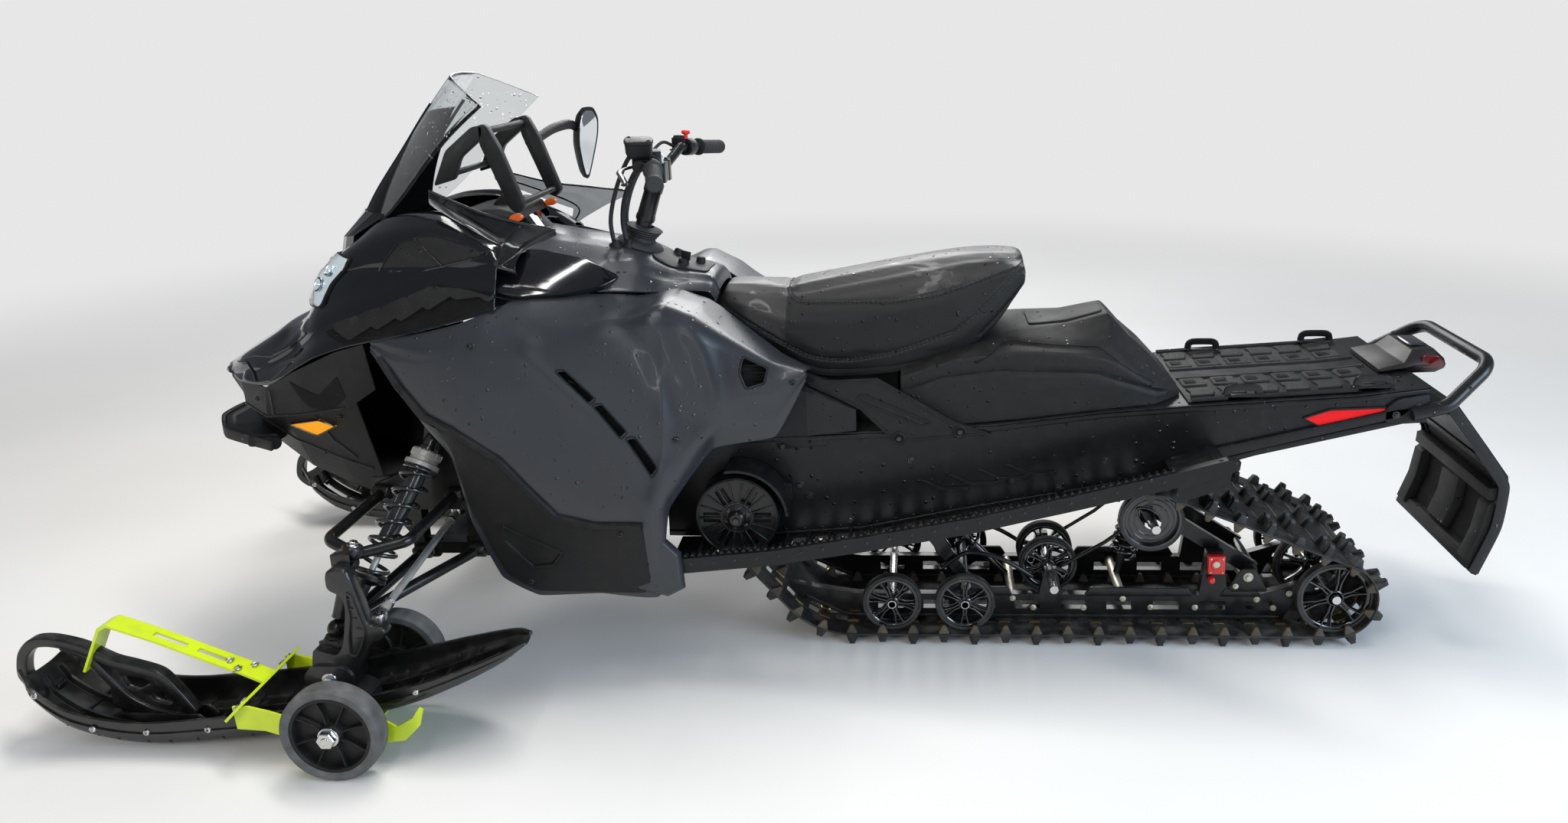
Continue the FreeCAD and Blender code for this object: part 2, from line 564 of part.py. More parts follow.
def make_body():
    hood = skin_loft(hood_stations(), panel_wall)
    for k in range(louvre_count):
        x = louvre_start.x + k * louvre_pitch
        z = louvre_start.z + 0.3 * k * louvre_pitch
        hood = hood.cut(prism([(x, z), (x + 46, z + 16), (x + 56, z + 27), (x + 8, z + 11)], -320, 320))
    parts["hood"] = hood
    hood_mass = solid_loft(hood_stations())
    lamp_x0, lamp_x1, lamp_depth = -1116.0, -1076.0, 9.0
    ends = []
    for x in (lamp_x0, lamp_x1):
        _, ey, ez, sy, sz, cz = row_at(hood_rows, x)
        line = [(-sy * 0.5, cz), (-sy, sz), (-sy - 0.45 * (ey - sy), sz - 0.45 * (sz - ez))]
        outer = offset_line(line, -lamp_depth)
        ends.append((x, line + outer[::-1]))
    lamp = solid_loft(ends).cut(hood_mass)
    parts["headlamps"] = pair(lamp)
    stations = []
    for x, uy, uz, ly, lz in nose_rows:
        stations.append((x, [(-uy + seat_gap, uz - seat_gap), (-ly, lz)]))
    cheek = skin_loft(stations, panel_wall).cut(hood_mass).cut(hood)
    chin = prism([(-1416, 639), (-1380, 588), (-1375, 588), (-1411, 639)], -44, 44).cut(hood_mass)
    parts["nose_panel"] = joined([cheek, mirrored(cheek), chin])
    stations = []
    for x, ly, lz in belly_rows:
        upper_y, upper_z = row_at(nose_rows, x)[3:]
        stations.append((x, [(-upper_y, upper_z - seat_gap), (-ly, lz), (ly, lz), (upper_y, upper_z - seat_gap)]))
    parts["belly_pan"] = skin_loft(stations, panel_wall).cut(parts["nose_panel"])
    grown = [(x, offset_line(points, -seat_gap)) for x, points in stations]
    thick = [(x, offset_line(points, -seat_gap - 4.0)) for x, points in stations]
    badge = prism([(-1197, 563), (-1137, 532), (-1077, 564), (-1113, 581)], -260, -150)
    badge = badge.common(solid_loft(thick)).cut(solid_loft(grown))
    parts["front_reflectors"] = pair(badge)
    lip = [(-1438, -44), (-1378, -130), (-1240, -205), (-1240, 205), (-1378, 130), (-1438, 44)]
    outline = [Vec(x, y, 514) for x, y in lip]
    shelf = Part.Face(Part.makePolygon(outline + outline[:1])).extrude(Vec(0, 0, 10))
    tube = bent_tube([Vec(-1225, -213, 521), Vec(-1380, -130, 519), Vec(-1440, -40, 516), Vec(-1440, 40, 516),
                      Vec(-1380, 130, 519), Vec(-1225, 213, 521)], 14, 30)
    parts["front_bumper"] = joined([shelf, tube]).cut(solid_loft(grown))
    stations = []
    for x, ty, tz, sy, sz, cy, cz, ly, lz in side_rows:
        stations.append((x, [(-ty, tz), (-sy, sz), (-cy, cz), (-ly, lz)]))
    panel = skin_loft(stations, panel_wall).cut(hood_mass).cut(hood)
    console_line = []
    console_body = []
    for x, ey, ez, sy, sz, cz in console_rows:
        top = [(ey, ez), (sy, sz), (60, cz), (-60, cz), (-sy, sz), (-ey, ez)]
        console_line.append((x, top))
        console_body.append((x, top + [(-ey, ez - 70), (ey, ez - 70)]))
    panel = panel.cut(solid_loft(console_body))
    for vent in panel_vents:
        panel = panel.cut(prism(vent, -450, -250))
    parts["side_panel_left"] = panel
    parts["side_panel_right"] = mirrored(panel)
    lean = unit(steer_top - steer_pivot)
    bearing = rod(steer_pivot - lean * 70, steer_pivot - lean * 5, column_size + 9)
    shaft_hole = rod(steer_pivot - lean * 200, steer_pivot + lean * 60, column_size + pin_gap)
    parts["console"] = skin_loft(console_line, panel_wall).fuse(bearing).cut(shaft_hole)
    # tank cover: x, top z, shoulder y, shoulder z, low y
    cover = [
        (-120, 704, 236, 690, 232),
        (0, 668, 238, 650, 236),
        (107, 630, 214, 600, 212),
    ]
    stations = []
    for x, tz, sy, sz, ly in cover:
        floor_z = row_at(tunnel_top, x)[1] + seat_gap
        stations.append((x, [(-tank_half - seat_gap, tz), (-sy, sz), (-ly, floor_z + 6), (-tank_half - seat_gap, floor_z)]))
    parts["tank_covers"] = pair(solid_loft(stations).cut(parts["tunnel"]))
    parts["engine_block"] = slab(-760 + seat_gap, -380, -170, 170, 330, 596)


def make_seat():
    # seat: x, low y, low z, side y, side z, top y, top z, crown z
    seat = [
        (-210, 48, 806, 60, 812, 40, 816, 820),
        (-150, 96, 776, 114, 803, 70, 830, 842),
        (-57, 118, 722, 138, 788, 80, 831, 844),
        (18, 126, 668, 146, 788, 84, 840, 856),
        (100, 130, 672, 153, 790, 86, 856, 870),
        (249, 136, 690, 160, 800, 88, 883, 898),
        (334, 134, 700, 158, 820, 86, 898, 910),
        (420, 124, 772, 148, 858, 80, 907, 920),
        (480, 106, 866, 126, 890, 70, 908, 918),
        (498, 90, 878, 104, 887, 60, 895, 899),
    ]
    stations = []
    for x, ly, lz, sy, sz, ty, tz, cz in seat:
        stations.append((x, [(ly, lz), (sy, sz), (ty, tz), (0, cz), (-ty, tz), (-sy, sz), (-ly, lz)]))
    parts["seat"] = solid_loft(stations)
    # rear box: x, side y, side z, top half, top z
    box = [
        (205, 190, 669, 140, 684),
        (332, 192, 712, 130, 728),
        (473, 192, 728, 90, 756),
        (585, 192, 724, 70, 762),
        (680, 190, 704, 60, 784),
        (726, 187, 680, 68, 734),
        (774, 180, 645, 76, 690),
        (838, 130, 618, 90, 624),
    ]
    stations = []
    for x, sy, sz, ty, tz in box:
        floor_z = row_at(tunnel_top, x)[1] + seat_gap
        stations.append((x, [(-sy - 2, floor_z), (-sy, sz), (-ty, tz), (ty, tz), (sy, sz), (sy + 2, floor_z)]))
    seat_mass = parts["seat"]
    parts["rear_box"] = solid_loft(stations).cut(seat_mass).cut(parts["tunnel"])
    tank = [(-200, 530), (-200, 780), (-110, 740), (60, 680), (200, 690), (200, 530)]
    tank_shape = prism(tank, -tank_half, tank_half).cut(prism([(x, z + seat_gap) for x, z in tunnel_top] + [(1356, 0), (-330, 0)], -200, 200))
    parts["fuel_tank"] = tank_shape.cut(seat_mass)
    strut = prism([(-3, 664), (117, 600), (192, 522), (409, 541), (322, 572), (156, 672)], -tunnel_half - 8,
                  -tunnel_half - seat_gap)
    strut = strut.cut(parts["tank_covers"])
    parts["seat_struts"] = pair(strut)


# windshield: centre x, centre z, edge x, edge y, edge z
screen_rows = [
    (-1090, 928, -1046, 104, 938),
    (-1076, 948, -1030, 110, 962),
    (-1010, 1062, -905, 165, 1055),
    (-920, 1180, -800, 190, 1165),
    (-797, 1342, -682, 190, 1275),
]


def screen_band(rows, front, back):
    """Curved sheet between two distances behind the screen's outer face."""
    sections = []
    for cx, cz, ex, ey, ez in rows:
        line = Part.Arc(Vec(ex, -ey, ez), Vec(cx, 0, cz), Vec(ex, ey, ez)).toShape().discretize(9)
        rearward = unit(Vec(ex - cx, 0, ez - cz))
        outer = [Vec(p.x, p.y * (ey - front) / ey, p.z) + rearward * front for p in line]
        inner = [Vec(p.x, p.y * (ey - back) / ey, p.z) + rearward * back for p in line[::-1]]
        sections.append(Part.makePolygon(outer + inner + outer[:1]))
    return Part.makeLoft(sections, True, True)


def make_windshield():
    hood_mass = solid_loft(hood_stations())
    screen = screen_band(screen_rows[1:], 0, glass_wall)
    parts["windshield"] = screen.cut(hood_mass)
    base_rows = [(-1112, 925, -1050, 108, 925), (-1098, 972, -1030, 118, 985), (-1040, 1035, -930, 150, 1040)]
    moulding = screen_band(base_rows, 0, 70).cut(hood_mass).cut(screen_band(screen_rows, 0, 110))
    deflector = [(-732, 1117), (-704, 1112), (-640, 1040), (-520, 1012), (-620, 960), (-640, 880), (-700, 880),
                 (-660, 958), (-650, 1010)]
    plate_y = -290.0
    left = prism(deflector, plate_y, plate_y + glass_wall).cut(hood_mass)
    parts["wind_deflectors"] = pair(left)
    dash = [(-905, 950), (-860, 1010), (-700, 1046), (-662, 1030), (-655, 940)]
    dash_shape = prism(dash, -135, 135).cut(hood_mass)
    parts["dash"] = dash_shape
    apex = Vec(-672, -132, 1223)
    rear_foot = Vec(-668, -132, 950)
    front_foot = Vec(-880, -132, 1100)
    leg = joined([rod(apex, rear_foot, 9), rod(apex, front_foot, 9), Part.makeSphere(10, apex)])
    leg = leg.cut(hood_mass).cut(screen_band(screen_rows[1:], -80, glass_wall + seat_gap)).cut(dash_shape)
    cross = rod(apex, Vec(apex.x, -apex.y, apex.z), 7)
    parts["windshield_frame"] = joined([leg, mirrored(leg), cross])
    parts["screen_moulding"] = moulding
    arm = rod(Vec(-678, -apex.y + 9 + seat_gap, 1166), Vec(-652, 398, 1192), 12)
    blade = prism([(-668, 1232), (-640, 1225), (-618, 1130), (-630, 1042), (-652, 1060), (-672, 1150)], 396, 470)
    parts["mirror_right"] = joined([arm, blade]).cut(parts["windshield_frame"])


def make_steering():
    down = unit(steer_pivot - steer_top)
    column = rod(steer_pivot + down * 90, steer_top, column_size)
    grip_left = Vec(-275, -bar_half, 1128)
    bar = [grip_left, Vec(-330, -150, 1150), Vec(-352, -60, 1112), Vec(-352, 60, 1112), Vec(-330, 150, 1150),
           Vec(-275, bar_half, 1128)]
    tube = bent_tube(bar, bar_radius, 30)
    clamp = slab(steer_top.x - 21, steer_top.x + 21, -37, 37, steer_top.z - 24, steer_top.z + 20)
    parts["handlebar"] = joined([column, tube, clamp])
    core = bent_tube(bar, bar_radius + seat_gap, 30)
    direction = unit(grip_left - bar[1])
    grip = rod(grip_left - direction * 130, grip_left + direction * 4, grip_radius)
    parts["grips"] = pair(grip.cut(core))
    pod = slab(-372, -312, -235, -175, 1110, 1175)
    lever = bent_tube([Vec(-360, -205, 1146), Vec(-398, -216, 1146), Vec(-384, -250, 1144), Vec(-344, -352, 1130)],
                      6, 12)
    parts["control_pods"] = pair(pod.fuse(lever).cut(core).removeSplitter())


def make_suspension():
    cheek = prism([(-1010, 420), (-1000, 390), (-900, 250), (-760, 250), (-745, 300), (-760, 560), (-870, 580),
                   (-890, 470)], -215, -180)
    floor = prism([(-905, 250), (-760, 250), (-760, 262), (-905, 262)], -180, 180)
    back = slab(-775, -760, -180, 180, 262, 540)
    # windows that the tie rods pass through
    window = slab(-905, -800, -230, -170, 278, 360)
    tower = prism([(-870, 520), (-800, 520), (-800, 576), (-870, 576)], -215, -180)
    cheek = cheek.fuse(tower).cut(window)
    parts["front_frame"] = joined([cheek, mirrored(cheek), floor, back])
    upper_front = Vec(-985, -215, 405)
    upper_rear = Vec(-815, -215, 400)
    lean = unit(steer_top - steer_pivot)
    socket = rod(steer_pivot - lean * 120, steer_pivot - lean * (70 + seat_gap), column_size + 15)
    socket = socket.cut(rod(steer_pivot - lean * 98, steer_pivot, column_size + 5))
    crown = steer_pivot - lean * 112
    legs = [rod(crown, Vec(-300, side * 150, 520), 13) for side in (-1, 1)]
    legs += [rod(crown, Vec(-830, side * 197, 572), 13) for side in (-1, 1)]
    frame_tubes = joined([socket] + legs)
    parts["steering_frame"] = frame_tubes.cut(parts["tunnel"]).cut(parts["front_frame"])
    lower_front = Vec(-905, -215, 258)
    lower_rear = Vec(-775, -215, 262)
    axis = unit(upper_ball - lower_ball)
    bore = rod(lower_ball - axis * 40, upper_ball + axis * 40, pin_radius + pin_gap)
    upper = bent_tube([upper_front, Vec(-1008, -430, 388), upper_ball + Vec(0, 26, 6),
                       Vec(-842, -415, 378), upper_rear], arm_tube, 26)
    neck = rod(upper_ball, upper_ball + Vec(0, 34, 8), arm_tube)
    parts["upper_arms"] = pair(joined([upper, neck, Part.makeSphere(ball_radius, upper_ball)]).cut(bore).cut(cheek))
    lower = joined([rod(lower_front, lower_ball, arm_tube), rod(lower_rear, lower_ball, arm_tube),
                    Part.makeSphere(ball_radius, lower_ball)])
    parts["lower_arms"] = pair(lower.cut(bore).cut(cheek))
    shock_top = Vec(-835, -236, 556)
    shock_foot = Vec(-957, -470, 236)
    line = shock_foot - shock_top
    body = rod(shock_top + unit(line) * 14, shock_top + line * 0.62, 20)
    shaft = rod(shock_top, shock_top + unit(line) * (line.Length - 14), 7)
    eye_pin = cylinder_y(shock_top.x, shock_top.z, 10, -236, -215 - seat_gap)
    body = body.fuse(eye_pin)
    lower_tubes = Part.makeCompound([rod(lower_front, lower_ball, arm_tube + seat_gap),
                                     rod(lower_rear, lower_ball, arm_tube + seat_gap)])
    shaft = shaft.cut(lower_tubes)
    step = unit(line)
    spring_top = shock_top + line * 0.2
    spring_length = 0.6 * line.Length
    upper_perch = rod(spring_top - step * (8 + seat_gap), spring_top - step * seat_gap, spring_radius + spring_wire)
    foot_perch = spring_top + step * (spring_length + seat_gap)
    lower_perch = rod(foot_perch, foot_perch + step * 8, spring_radius + spring_wire)
    body = body.multiFuse([upper_perch, lower_perch])
    across = unit(step.cross(Vec(0, 0, 1)))
    pitch = (spring_length - 2 * spring_wire) / (spring_turns - 1.0)
    coils = []
    for k in range(spring_turns):
        centre = spring_top + step * (pitch * k)
        end = centre + step * 2 * spring_wire
        coil = rod(centre, end, spring_radius + spring_wire).cut(rod(centre, end, spring_radius - spring_wire))
        coils.append(coil)
        if k:
            side = across * (spring_radius * (1 if k % 2 else -1))
            coils.append(rod(centre - step * (pitch - spring_wire) + side, centre + step * spring_wire + side,
                             spring_wire - 0.5))
    spring = joined(coils)
    parts["front_shocks"] = pair(joined([body, shaft]))
    parts["front_springs"] = pair(spring)


# ski: x, height of the keel over its lowest point, share of the half width, side wall height
ski_stations = [
    (-1592, 140, 0.72, 26),
    (-1560, 80, 0.90, 46),
    (-1500, 38, 1.00, 52),
    (-1425, 12, 1.00, 56),
    (-1335, 0, 1.00, 60),
    (-1230, 6, 1.00, 62),
    (-1045, 28, 1.00, 62),
    (-820, 84, 1.00, 52),
    (-700, 128, 0.92, 40),
    (-600, 172, 0.62, 28),
    (-555, 200, 0.25, 12),
]


def ski_keel(x):
    """Height of the ski's underside at a place along it."""
    for (x0, z0, _, _), (x1, z1, _, _) in zip(ski_stations, ski_stations[1:]):
        if x0 <= x <= x1:
            return ski_floor_gap + z0 + (z1 - z0) * (x - x0) / (x1 - x0)


def make_ski():
    # ski keel line: x, z above the lowest point
    stations = []
    for x, z, share, height in ski_stations:
        w = ski_half * share
        z0 = z + ski_floor_gap
        stations.append((x, [(-w, z0 + height), (-w * 0.9, z0), (w * 0.9, z0), (w, z0 + height)]))
    ski = skin_loft(stations, ski_wall).translated(Vec(0, -stance_half, 0))
    loop_radius = 13.0
    loop_line = [Vec(-1565, 0, 110), Vec(-1640, 0, 130), Vec(-1600, 0, 212), Vec(-1500, 0, 200), Vec(-1330, 0, 110),
                 Vec(-1270, 0, 40)]
    loop = bent_tube(loop_line, loop_radius, 20).translated(Vec(0, -stance_half, 0))
    axis = unit(upper_ball - lower_ball)
    foot = Vec(-964, -stance_half, ski_keel(-964) + saddle_height)
    eye_gap = ball_radius + 6.0
    column = rod(lower_ball + axis * eye_gap, upper_ball - axis * eye_gap, column_radius)
    pin = rod(lower_ball - axis * (eye_gap + 10.0), upper_ball + axis * (eye_gap + 8.0), pin_radius)
    cap = rod(upper_ball + axis * eye_gap, upper_ball + axis * (eye_gap + 8.0), 13)
    ankle = lower_ball - axis * (ball_radius + 27.0)
    leg = rod(ankle, foot, 19)
    knee = Part.makeSphere(19, ankle)
    arm_end = tie_outer - Vec(0, 0, 28)
    side_arm = joined([rod(ankle, arm_end, 10), Part.makeSphere(10, arm_end),
                       rod(arm_end, tie_outer - Vec(0, 0, 13 + pin_gap), 6)])
    # the cast web beside the lower eye: outboard of it, clear of the tubes
    web_out = Vec(0, -39, 0)
    web = joined([rod(ankle, ankle + web_out, 12), rod(ankle + web_out, lower_ball + axis * 42 + web_out, 12),
                  Part.makeSphere(12, ankle + web_out), Part.makeSphere(12, lower_ball + axis * 42 + web_out),
                  rod(lower_ball + axis * 42 + web_out, lower_ball + axis * 42, 12)])
    saddle = slab(-1012, -918, -stance_half - 30, -stance_half + 30, foot.z - 26, foot.z + 12)
    parts["spindle_left"] = joined([column, pin, cap, leg, knee, side_arm, web, saddle])
    bed = prism([(-1040, ski_keel(-1040) + ski_wall), (-890, ski_keel(-890) + ski_wall), (-900, foot.z - 26),
                 (-1030, foot.z - 26)], -stance_half - 30, -stance_half + 30)
    parts["ski_left"] = joined([ski, bed, loop])
    tie = joined([rod(tie_outer, tie_inner, tie_tube), Part.makeSphere(13, tie_outer)])
    parts["tie_rod_left"] = tie
    axle_z = dolly_wheel_radius
    near = -stance_half - dolly_wheel_offset
    far = -stance_half + dolly_wheel_offset
    straps = []
    strap_gap = 8.0
    for y, wheel_y in ((-stance_half - ski_half - strap_gap - strap_thick, near),
                       (-stance_half + ski_half + strap_gap, far)):
        line = [(-1132, 122), (-1100, 122), (-1060, 112), (-1000, 92), (-960, 116), (-902, 124), (-850, 112), (-800, 80),
                (-766, 100), (-750, 124), (-742, 120), (-752, 84), (-785, 50), (-840, 42), (-1000, 44), (-1070, 68),
                (-1128, 72)]
        straps.append(prism(line, y, y + strap_thick))
        out = 1 if wheel_y > y else -1
        tip = wheel_y + out * (dolly_wheel_width / 2.0 + 14.0)
        straps.append(cylinder_y(dolly_axle_x, axle_z, dolly_axle_radius, min(y, tip), max(y, tip)))
        nut = tip - out * 11.0
        straps.append(cylinder_y(dolly_axle_x, axle_z, 15, min(nut, tip), max(nut, tip)))
    half_tray = ski_half + strap_gap + strap_thick
    tray = prism([(x, ski_keel(x) - drop) for x, drop in ((-960, 0.2), (-840, 0.2), (-840, 5.2), (-960, 5.2))],
                 -stance_half - half_tray, -stance_half + half_tray)
    cross = prism([(-1142, 100), (-1138, 96), (-1106, 128), (-1110, 132)], -stance_half - 112, -stance_half + 112)
    arm_line = [(-1108, 130), (-1166, 156), (-1335, 226), (-1424, 258), (-1444, 250), (-1492, 150), (-1487, 148),
                (-1440, 244), (-1424, 252), (-1333, 220), (-1164, 150), (-1110, 125)]
    loop_room = bent_tube(loop_line, loop_radius + seat_gap, 20).translated(Vec(0, -stance_half, 0))
    arm = prism(arm_line, -stance_half - 22, -stance_half + 22).cut(loop_room)
    for x0 in (-1252.0, -1340.0):
        arm = arm.cut(slab(x0, x0 + 66, -stance_half - 6, -stance_half + 6, 150, 260))
    parts["dolly_frame_left"] = joined(straps + [tray, cross, arm])
    wheels = []
    for y in (near, far):
        wheels.append(spoked_wheel(dolly_axle_x, axle_z, dolly_wheel_radius, y - dolly_wheel_width / 2.0,
                                   dolly_wheel_width, 8, dolly_axle_radius + pin_gap))
    parts["dolly_wheels_left"] = Part.makeCompound(wheels)
    for name in ("ski", "spindle", "tie_rod", "dolly_frame", "dolly_wheels"):
        parts[name + "_right"] = mirrored(parts[name + "_left"])


parts["track"] = make_track()
make_skid()
make_tunnel()
make_rear()
make_body()
make_seat()
make_windshield()
make_steering()
make_suspension()
make_ski()

os.makedirs("parts", exist_ok=True)
for name, shape in parts.items():
    shape = shape.translated(Vec(centre_shift, 0, 0))
    shape.exportStep("parts/" + name + ".step")
    print(name, len(shape.Solids), shape.isValid(), round(shape.Volume / 1e6, 3))
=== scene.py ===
import bpy
import bmesh
import math
import random
from mathutils import Matrix, Vector
from mathutils.bvhtree import BVHTree


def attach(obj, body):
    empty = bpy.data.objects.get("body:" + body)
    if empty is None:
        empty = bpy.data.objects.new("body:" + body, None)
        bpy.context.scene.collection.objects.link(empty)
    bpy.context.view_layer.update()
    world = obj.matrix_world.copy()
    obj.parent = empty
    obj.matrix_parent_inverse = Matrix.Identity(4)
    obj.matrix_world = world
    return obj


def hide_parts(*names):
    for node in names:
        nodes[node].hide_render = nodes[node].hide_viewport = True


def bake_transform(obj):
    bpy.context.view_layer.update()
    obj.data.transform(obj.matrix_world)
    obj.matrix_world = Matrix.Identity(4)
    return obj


# The snowmobile's looks. Sizes in the dictionaries are millimetres, +X to the rear,
# +Y to the rider's right.
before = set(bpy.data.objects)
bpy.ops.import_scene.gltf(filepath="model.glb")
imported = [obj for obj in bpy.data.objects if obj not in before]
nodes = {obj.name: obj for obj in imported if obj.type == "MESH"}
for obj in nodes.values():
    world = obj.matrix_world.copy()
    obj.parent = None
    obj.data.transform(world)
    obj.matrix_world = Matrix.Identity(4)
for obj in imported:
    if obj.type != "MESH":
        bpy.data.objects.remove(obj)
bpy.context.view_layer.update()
centreShift = 43.7  # the frame is centred on X = 0, and the tables below are not
random.seed(4)
print("frame loaded")


# small tools: a shape is a list of points and a list of faces
def joinShapes(shapes):
    points, faces = [], []
    for shapePoints, shapeFaces in shapes:
        start = len(points)
        points += [Vector(p) for p in shapePoints]
        faces += [tuple(i + start for i in face) for face in shapeFaces]
    return points, faces


def whole(shape):
    # a list of shapes may stand for the one shape that they make
    return shape if isinstance(shape, tuple) else joinShapes(shape)


def moveShape(shape, matrix):
    points, faces = whole(shape)
    return [matrix @ Vector(p) for p in points], faces


def mirrorShape(shape):
    points, faces = whole(shape)
    return [Vector((p[0], -p[1], p[2])) for p in points], [face[::-1] for face in faces]


def bothSides(shape):
    return joinShapes([whole(shape), mirrorShape(shape)])


def facing(place, direction, spin=0.0):
    # local Z points along the direction, at the place
    turn = Vector(direction).to_track_quat("Z", "Y").to_matrix().to_4x4()
    return Matrix.Translation(Vector(place)) @ turn @ Matrix.Rotation(spin, 4, "Z")


def ringFaces(rings, count, closed=False):
    # the walls between rings of points, with both ends capped unless the last ring meets the first
    faces = []
    for i in range(rings if closed else rings - 1):
        j = (i + 1) % rings
        for k in range(count):
            m = (k + 1) % count
            faces.append((i * count + k, i * count + m, j * count + m, j * count + k))
    if not closed:
        faces.append(tuple(range(count - 1, -1, -1)))
        faces.append(tuple((rings - 1) * count + k for k in range(count)))
    return faces


def loftShape(rings):
    # closed rings of equal count, with both ends capped
    return [Vector(p) for ring in rings for p in ring], ringFaces(len(rings), len(rings[0]))


def onCircle(radius, k, steps, height):
    angle = 2 * math.pi * k / steps
    return Vector((radius * math.cos(angle), radius * math.sin(angle), height))


def spun(k, steps):
    return Matrix.Rotation(2 * math.pi * k / steps, 4, "Z")


def turned(profile, steps=32, closed=False):
    # a profile of (radius, height) turned about Z. Its ends are capped, or joined where it is closed
    points = [onCircle(radius, k, steps, height) for k in range(steps) for radius, height in profile]
    count = len(profile)
    faces = []
    for k in range(steps):
        other = (k + 1) % steps
        for i in range(count if closed else count - 1):
            j = (i + 1) % count
            faces.append((k * count + i, other * count + i, other * count + j, k * count + j))
    if not closed and profile[0][0] > 0.001:
        faces.append(tuple(k * count for k in range(steps - 1, -1, -1)))
    if not closed and profile[-1][0] > 0.001:
        faces.append(tuple(k * count + count - 1 for k in range(steps)))
    return points, faces


def ringOf(profile, steps=32):
    return turned(profile, steps, closed=True)


def blockShape(low, high):
    (x0, y0, z0), (x1, y1, z1) = low, high
    return loftShape([[(x0, y0, z), (x1, y0, z), (x1, y1, z), (x0, y1, z)] for z in (z0, z1)])


def ringAt(x, corners):
    # corners in Y and Z, at one X
    return [Vector((x, y, z)) for y, z in corners]


def ringOnSide(y, corners):
    # corners in X and Z, at one Y
    return [Vector((x, y, z)) for x, z in corners]


def plateShape(outline, y0, y1, radius=0):
    # an outline in X and Z with a thickness in Y, its corners rounded
    corners = roundCorners(outline, radius) if radius else outline
    return loftShape([ringOnSide(y, corners) for y in (y0, y1)])


def smoothLine(points, perSpan=6, closed=False, ease=1.0):
    # a round line through the points, calmer where ease is smaller
    points = [Vector(p) for p in points]
    count = len(points)
    line = []
    spans = count if closed else count - 1
    for i in range(spans):
        if closed:
            a, b, c, d = (points[(i + k) % count] for k in (-1, 0, 1, 2))
        else:
            b, c = points[i], points[i + 1]
            a = points[i - 1] if i else b * 2 - c
            d = points[i + 2] if i + 2 < count else c * 2 - b
        for k in range(perSpan):
            t = k / perSpan
            leave, reach = (c - a) * 0.5 * ease, (d - b) * 0.5 * ease
            line.append(b * (2 * t ** 3 - 3 * t * t + 1) + leave * (t ** 3 - 2 * t * t + t)
                        + c * (3 * t * t - 2 * t ** 3) + reach * (t ** 3 - t * t))
    if not closed:
        line.append(points[-1])
    return line


def tubeShape(line, radius, sides=10):
    # radius may be a number or a function of the share along the line
    points = []
    normal = None
    count = len(line)
    for i, place in enumerate(line):
        ahead = line[min(i + 1, count - 1)] - line[max(i - 1, 0)]
        ahead.normalize()
        if normal is None:
            normal = ahead.orthogonal().normalized()
        normal = (normal - ahead * normal.dot(ahead)).normalized()
        side = ahead.cross(normal)
        size = radius(i / (count - 1)) if callable(radius) else radius
        for k in range(sides):
            angle = 2 * math.pi * k / sides
            points.append(place + normal * (size * math.cos(angle)) + side * (size * math.sin(angle)))
    return points, ringFaces(count, sides)


def boltShape(place, direction, size, washer=True):
    # a flanged hex head with a chamfer, size is the width across the hexagon
    r = size / 2
    shapes = []
    if washer:
        shapes.append(turned([(0, -1), (r * 1.55, -1), (r * 1.6, 0.2), (r * 1.5, size * 0.11),
                              (0, size * 0.14)], 24))
    shapes.append(turned([(0, 0), (r * 1.08, 0), (r * 1.08, size * 0.42), (r * 0.9, size * 0.52),
                          (0, size * 0.52)], 6))
    return moveShape(shapes, facing(place, direction, random.uniform(0, 1)))


def screwShape(place, direction, size):
    # a round button head with a star recess
    r = size / 2
    head = turned([(0, -1), (r, -1), (r, r * 0.12), (r * 0.86, r * 0.36), (r * 0.5, r * 0.52),
                   (r * 0.44, r * 0.5), (r * 0.36, r * 0.1), (0, r * 0.1)], 24)
    return moveShape(head, facing(place, direction))


def inFrame(place):
    return Vector((place[0] + centreShift, place[1], place[2])) * 0.001


def placeMesh(name, shape):
    # a new object in the frame, with its doubles joined and its faces turned outward
    points, faces = whole(shape)
    mesh = bpy.data.meshes.new(name)
    mesh.from_pydata([inFrame(p) for p in points], [], faces)
    mesh.validate()
    sorter = bmesh.new()
    sorter.from_mesh(mesh)
    bmesh.ops.remove_doubles(sorter, verts=sorter.verts, dist=1e-6)
    bmesh.ops.recalc_face_normals(sorter, faces=sorter.faces)
    sorter.to_mesh(mesh)
    sorter.free()
    piece = bpy.data.objects.new(name, mesh)
    bpy.context.scene.collection.objects.link(piece)
    return piece


def addPiece(name, shape, look, body="chassis", bevel=0.0, angle=35.0, replaces=()):
    piece = placeMesh(name, shape)
    piece.data.materials.append(paint[look])
    if bevel:
        edge = piece.modifiers.new("edge", "BEVEL")
        edge.width = bevel * 0.001
        edge.segments = 2
        edge.limit_method = "ANGLE"
        edge.angle_limit = math.radians(angle)
        edge.harden_normals = False
    settle(piece, 50.0 if bevel else angle)
    if body:
        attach(piece, body)
    for node in replaces:
        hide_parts(node)
    return piece


def settle(piece, angle):
    # the modifiers become part of the mesh
    bpy.context.view_layer.update()
    final = bpy.data.meshes.new_from_object(piece.evaluated_get(bpy.context.evaluated_depsgraph_get()))
    piece.modifiers.clear()
    piece.data = final
    final.shade_smooth()
    final.set_sharp_from_angle(angle=math.radians(angle))


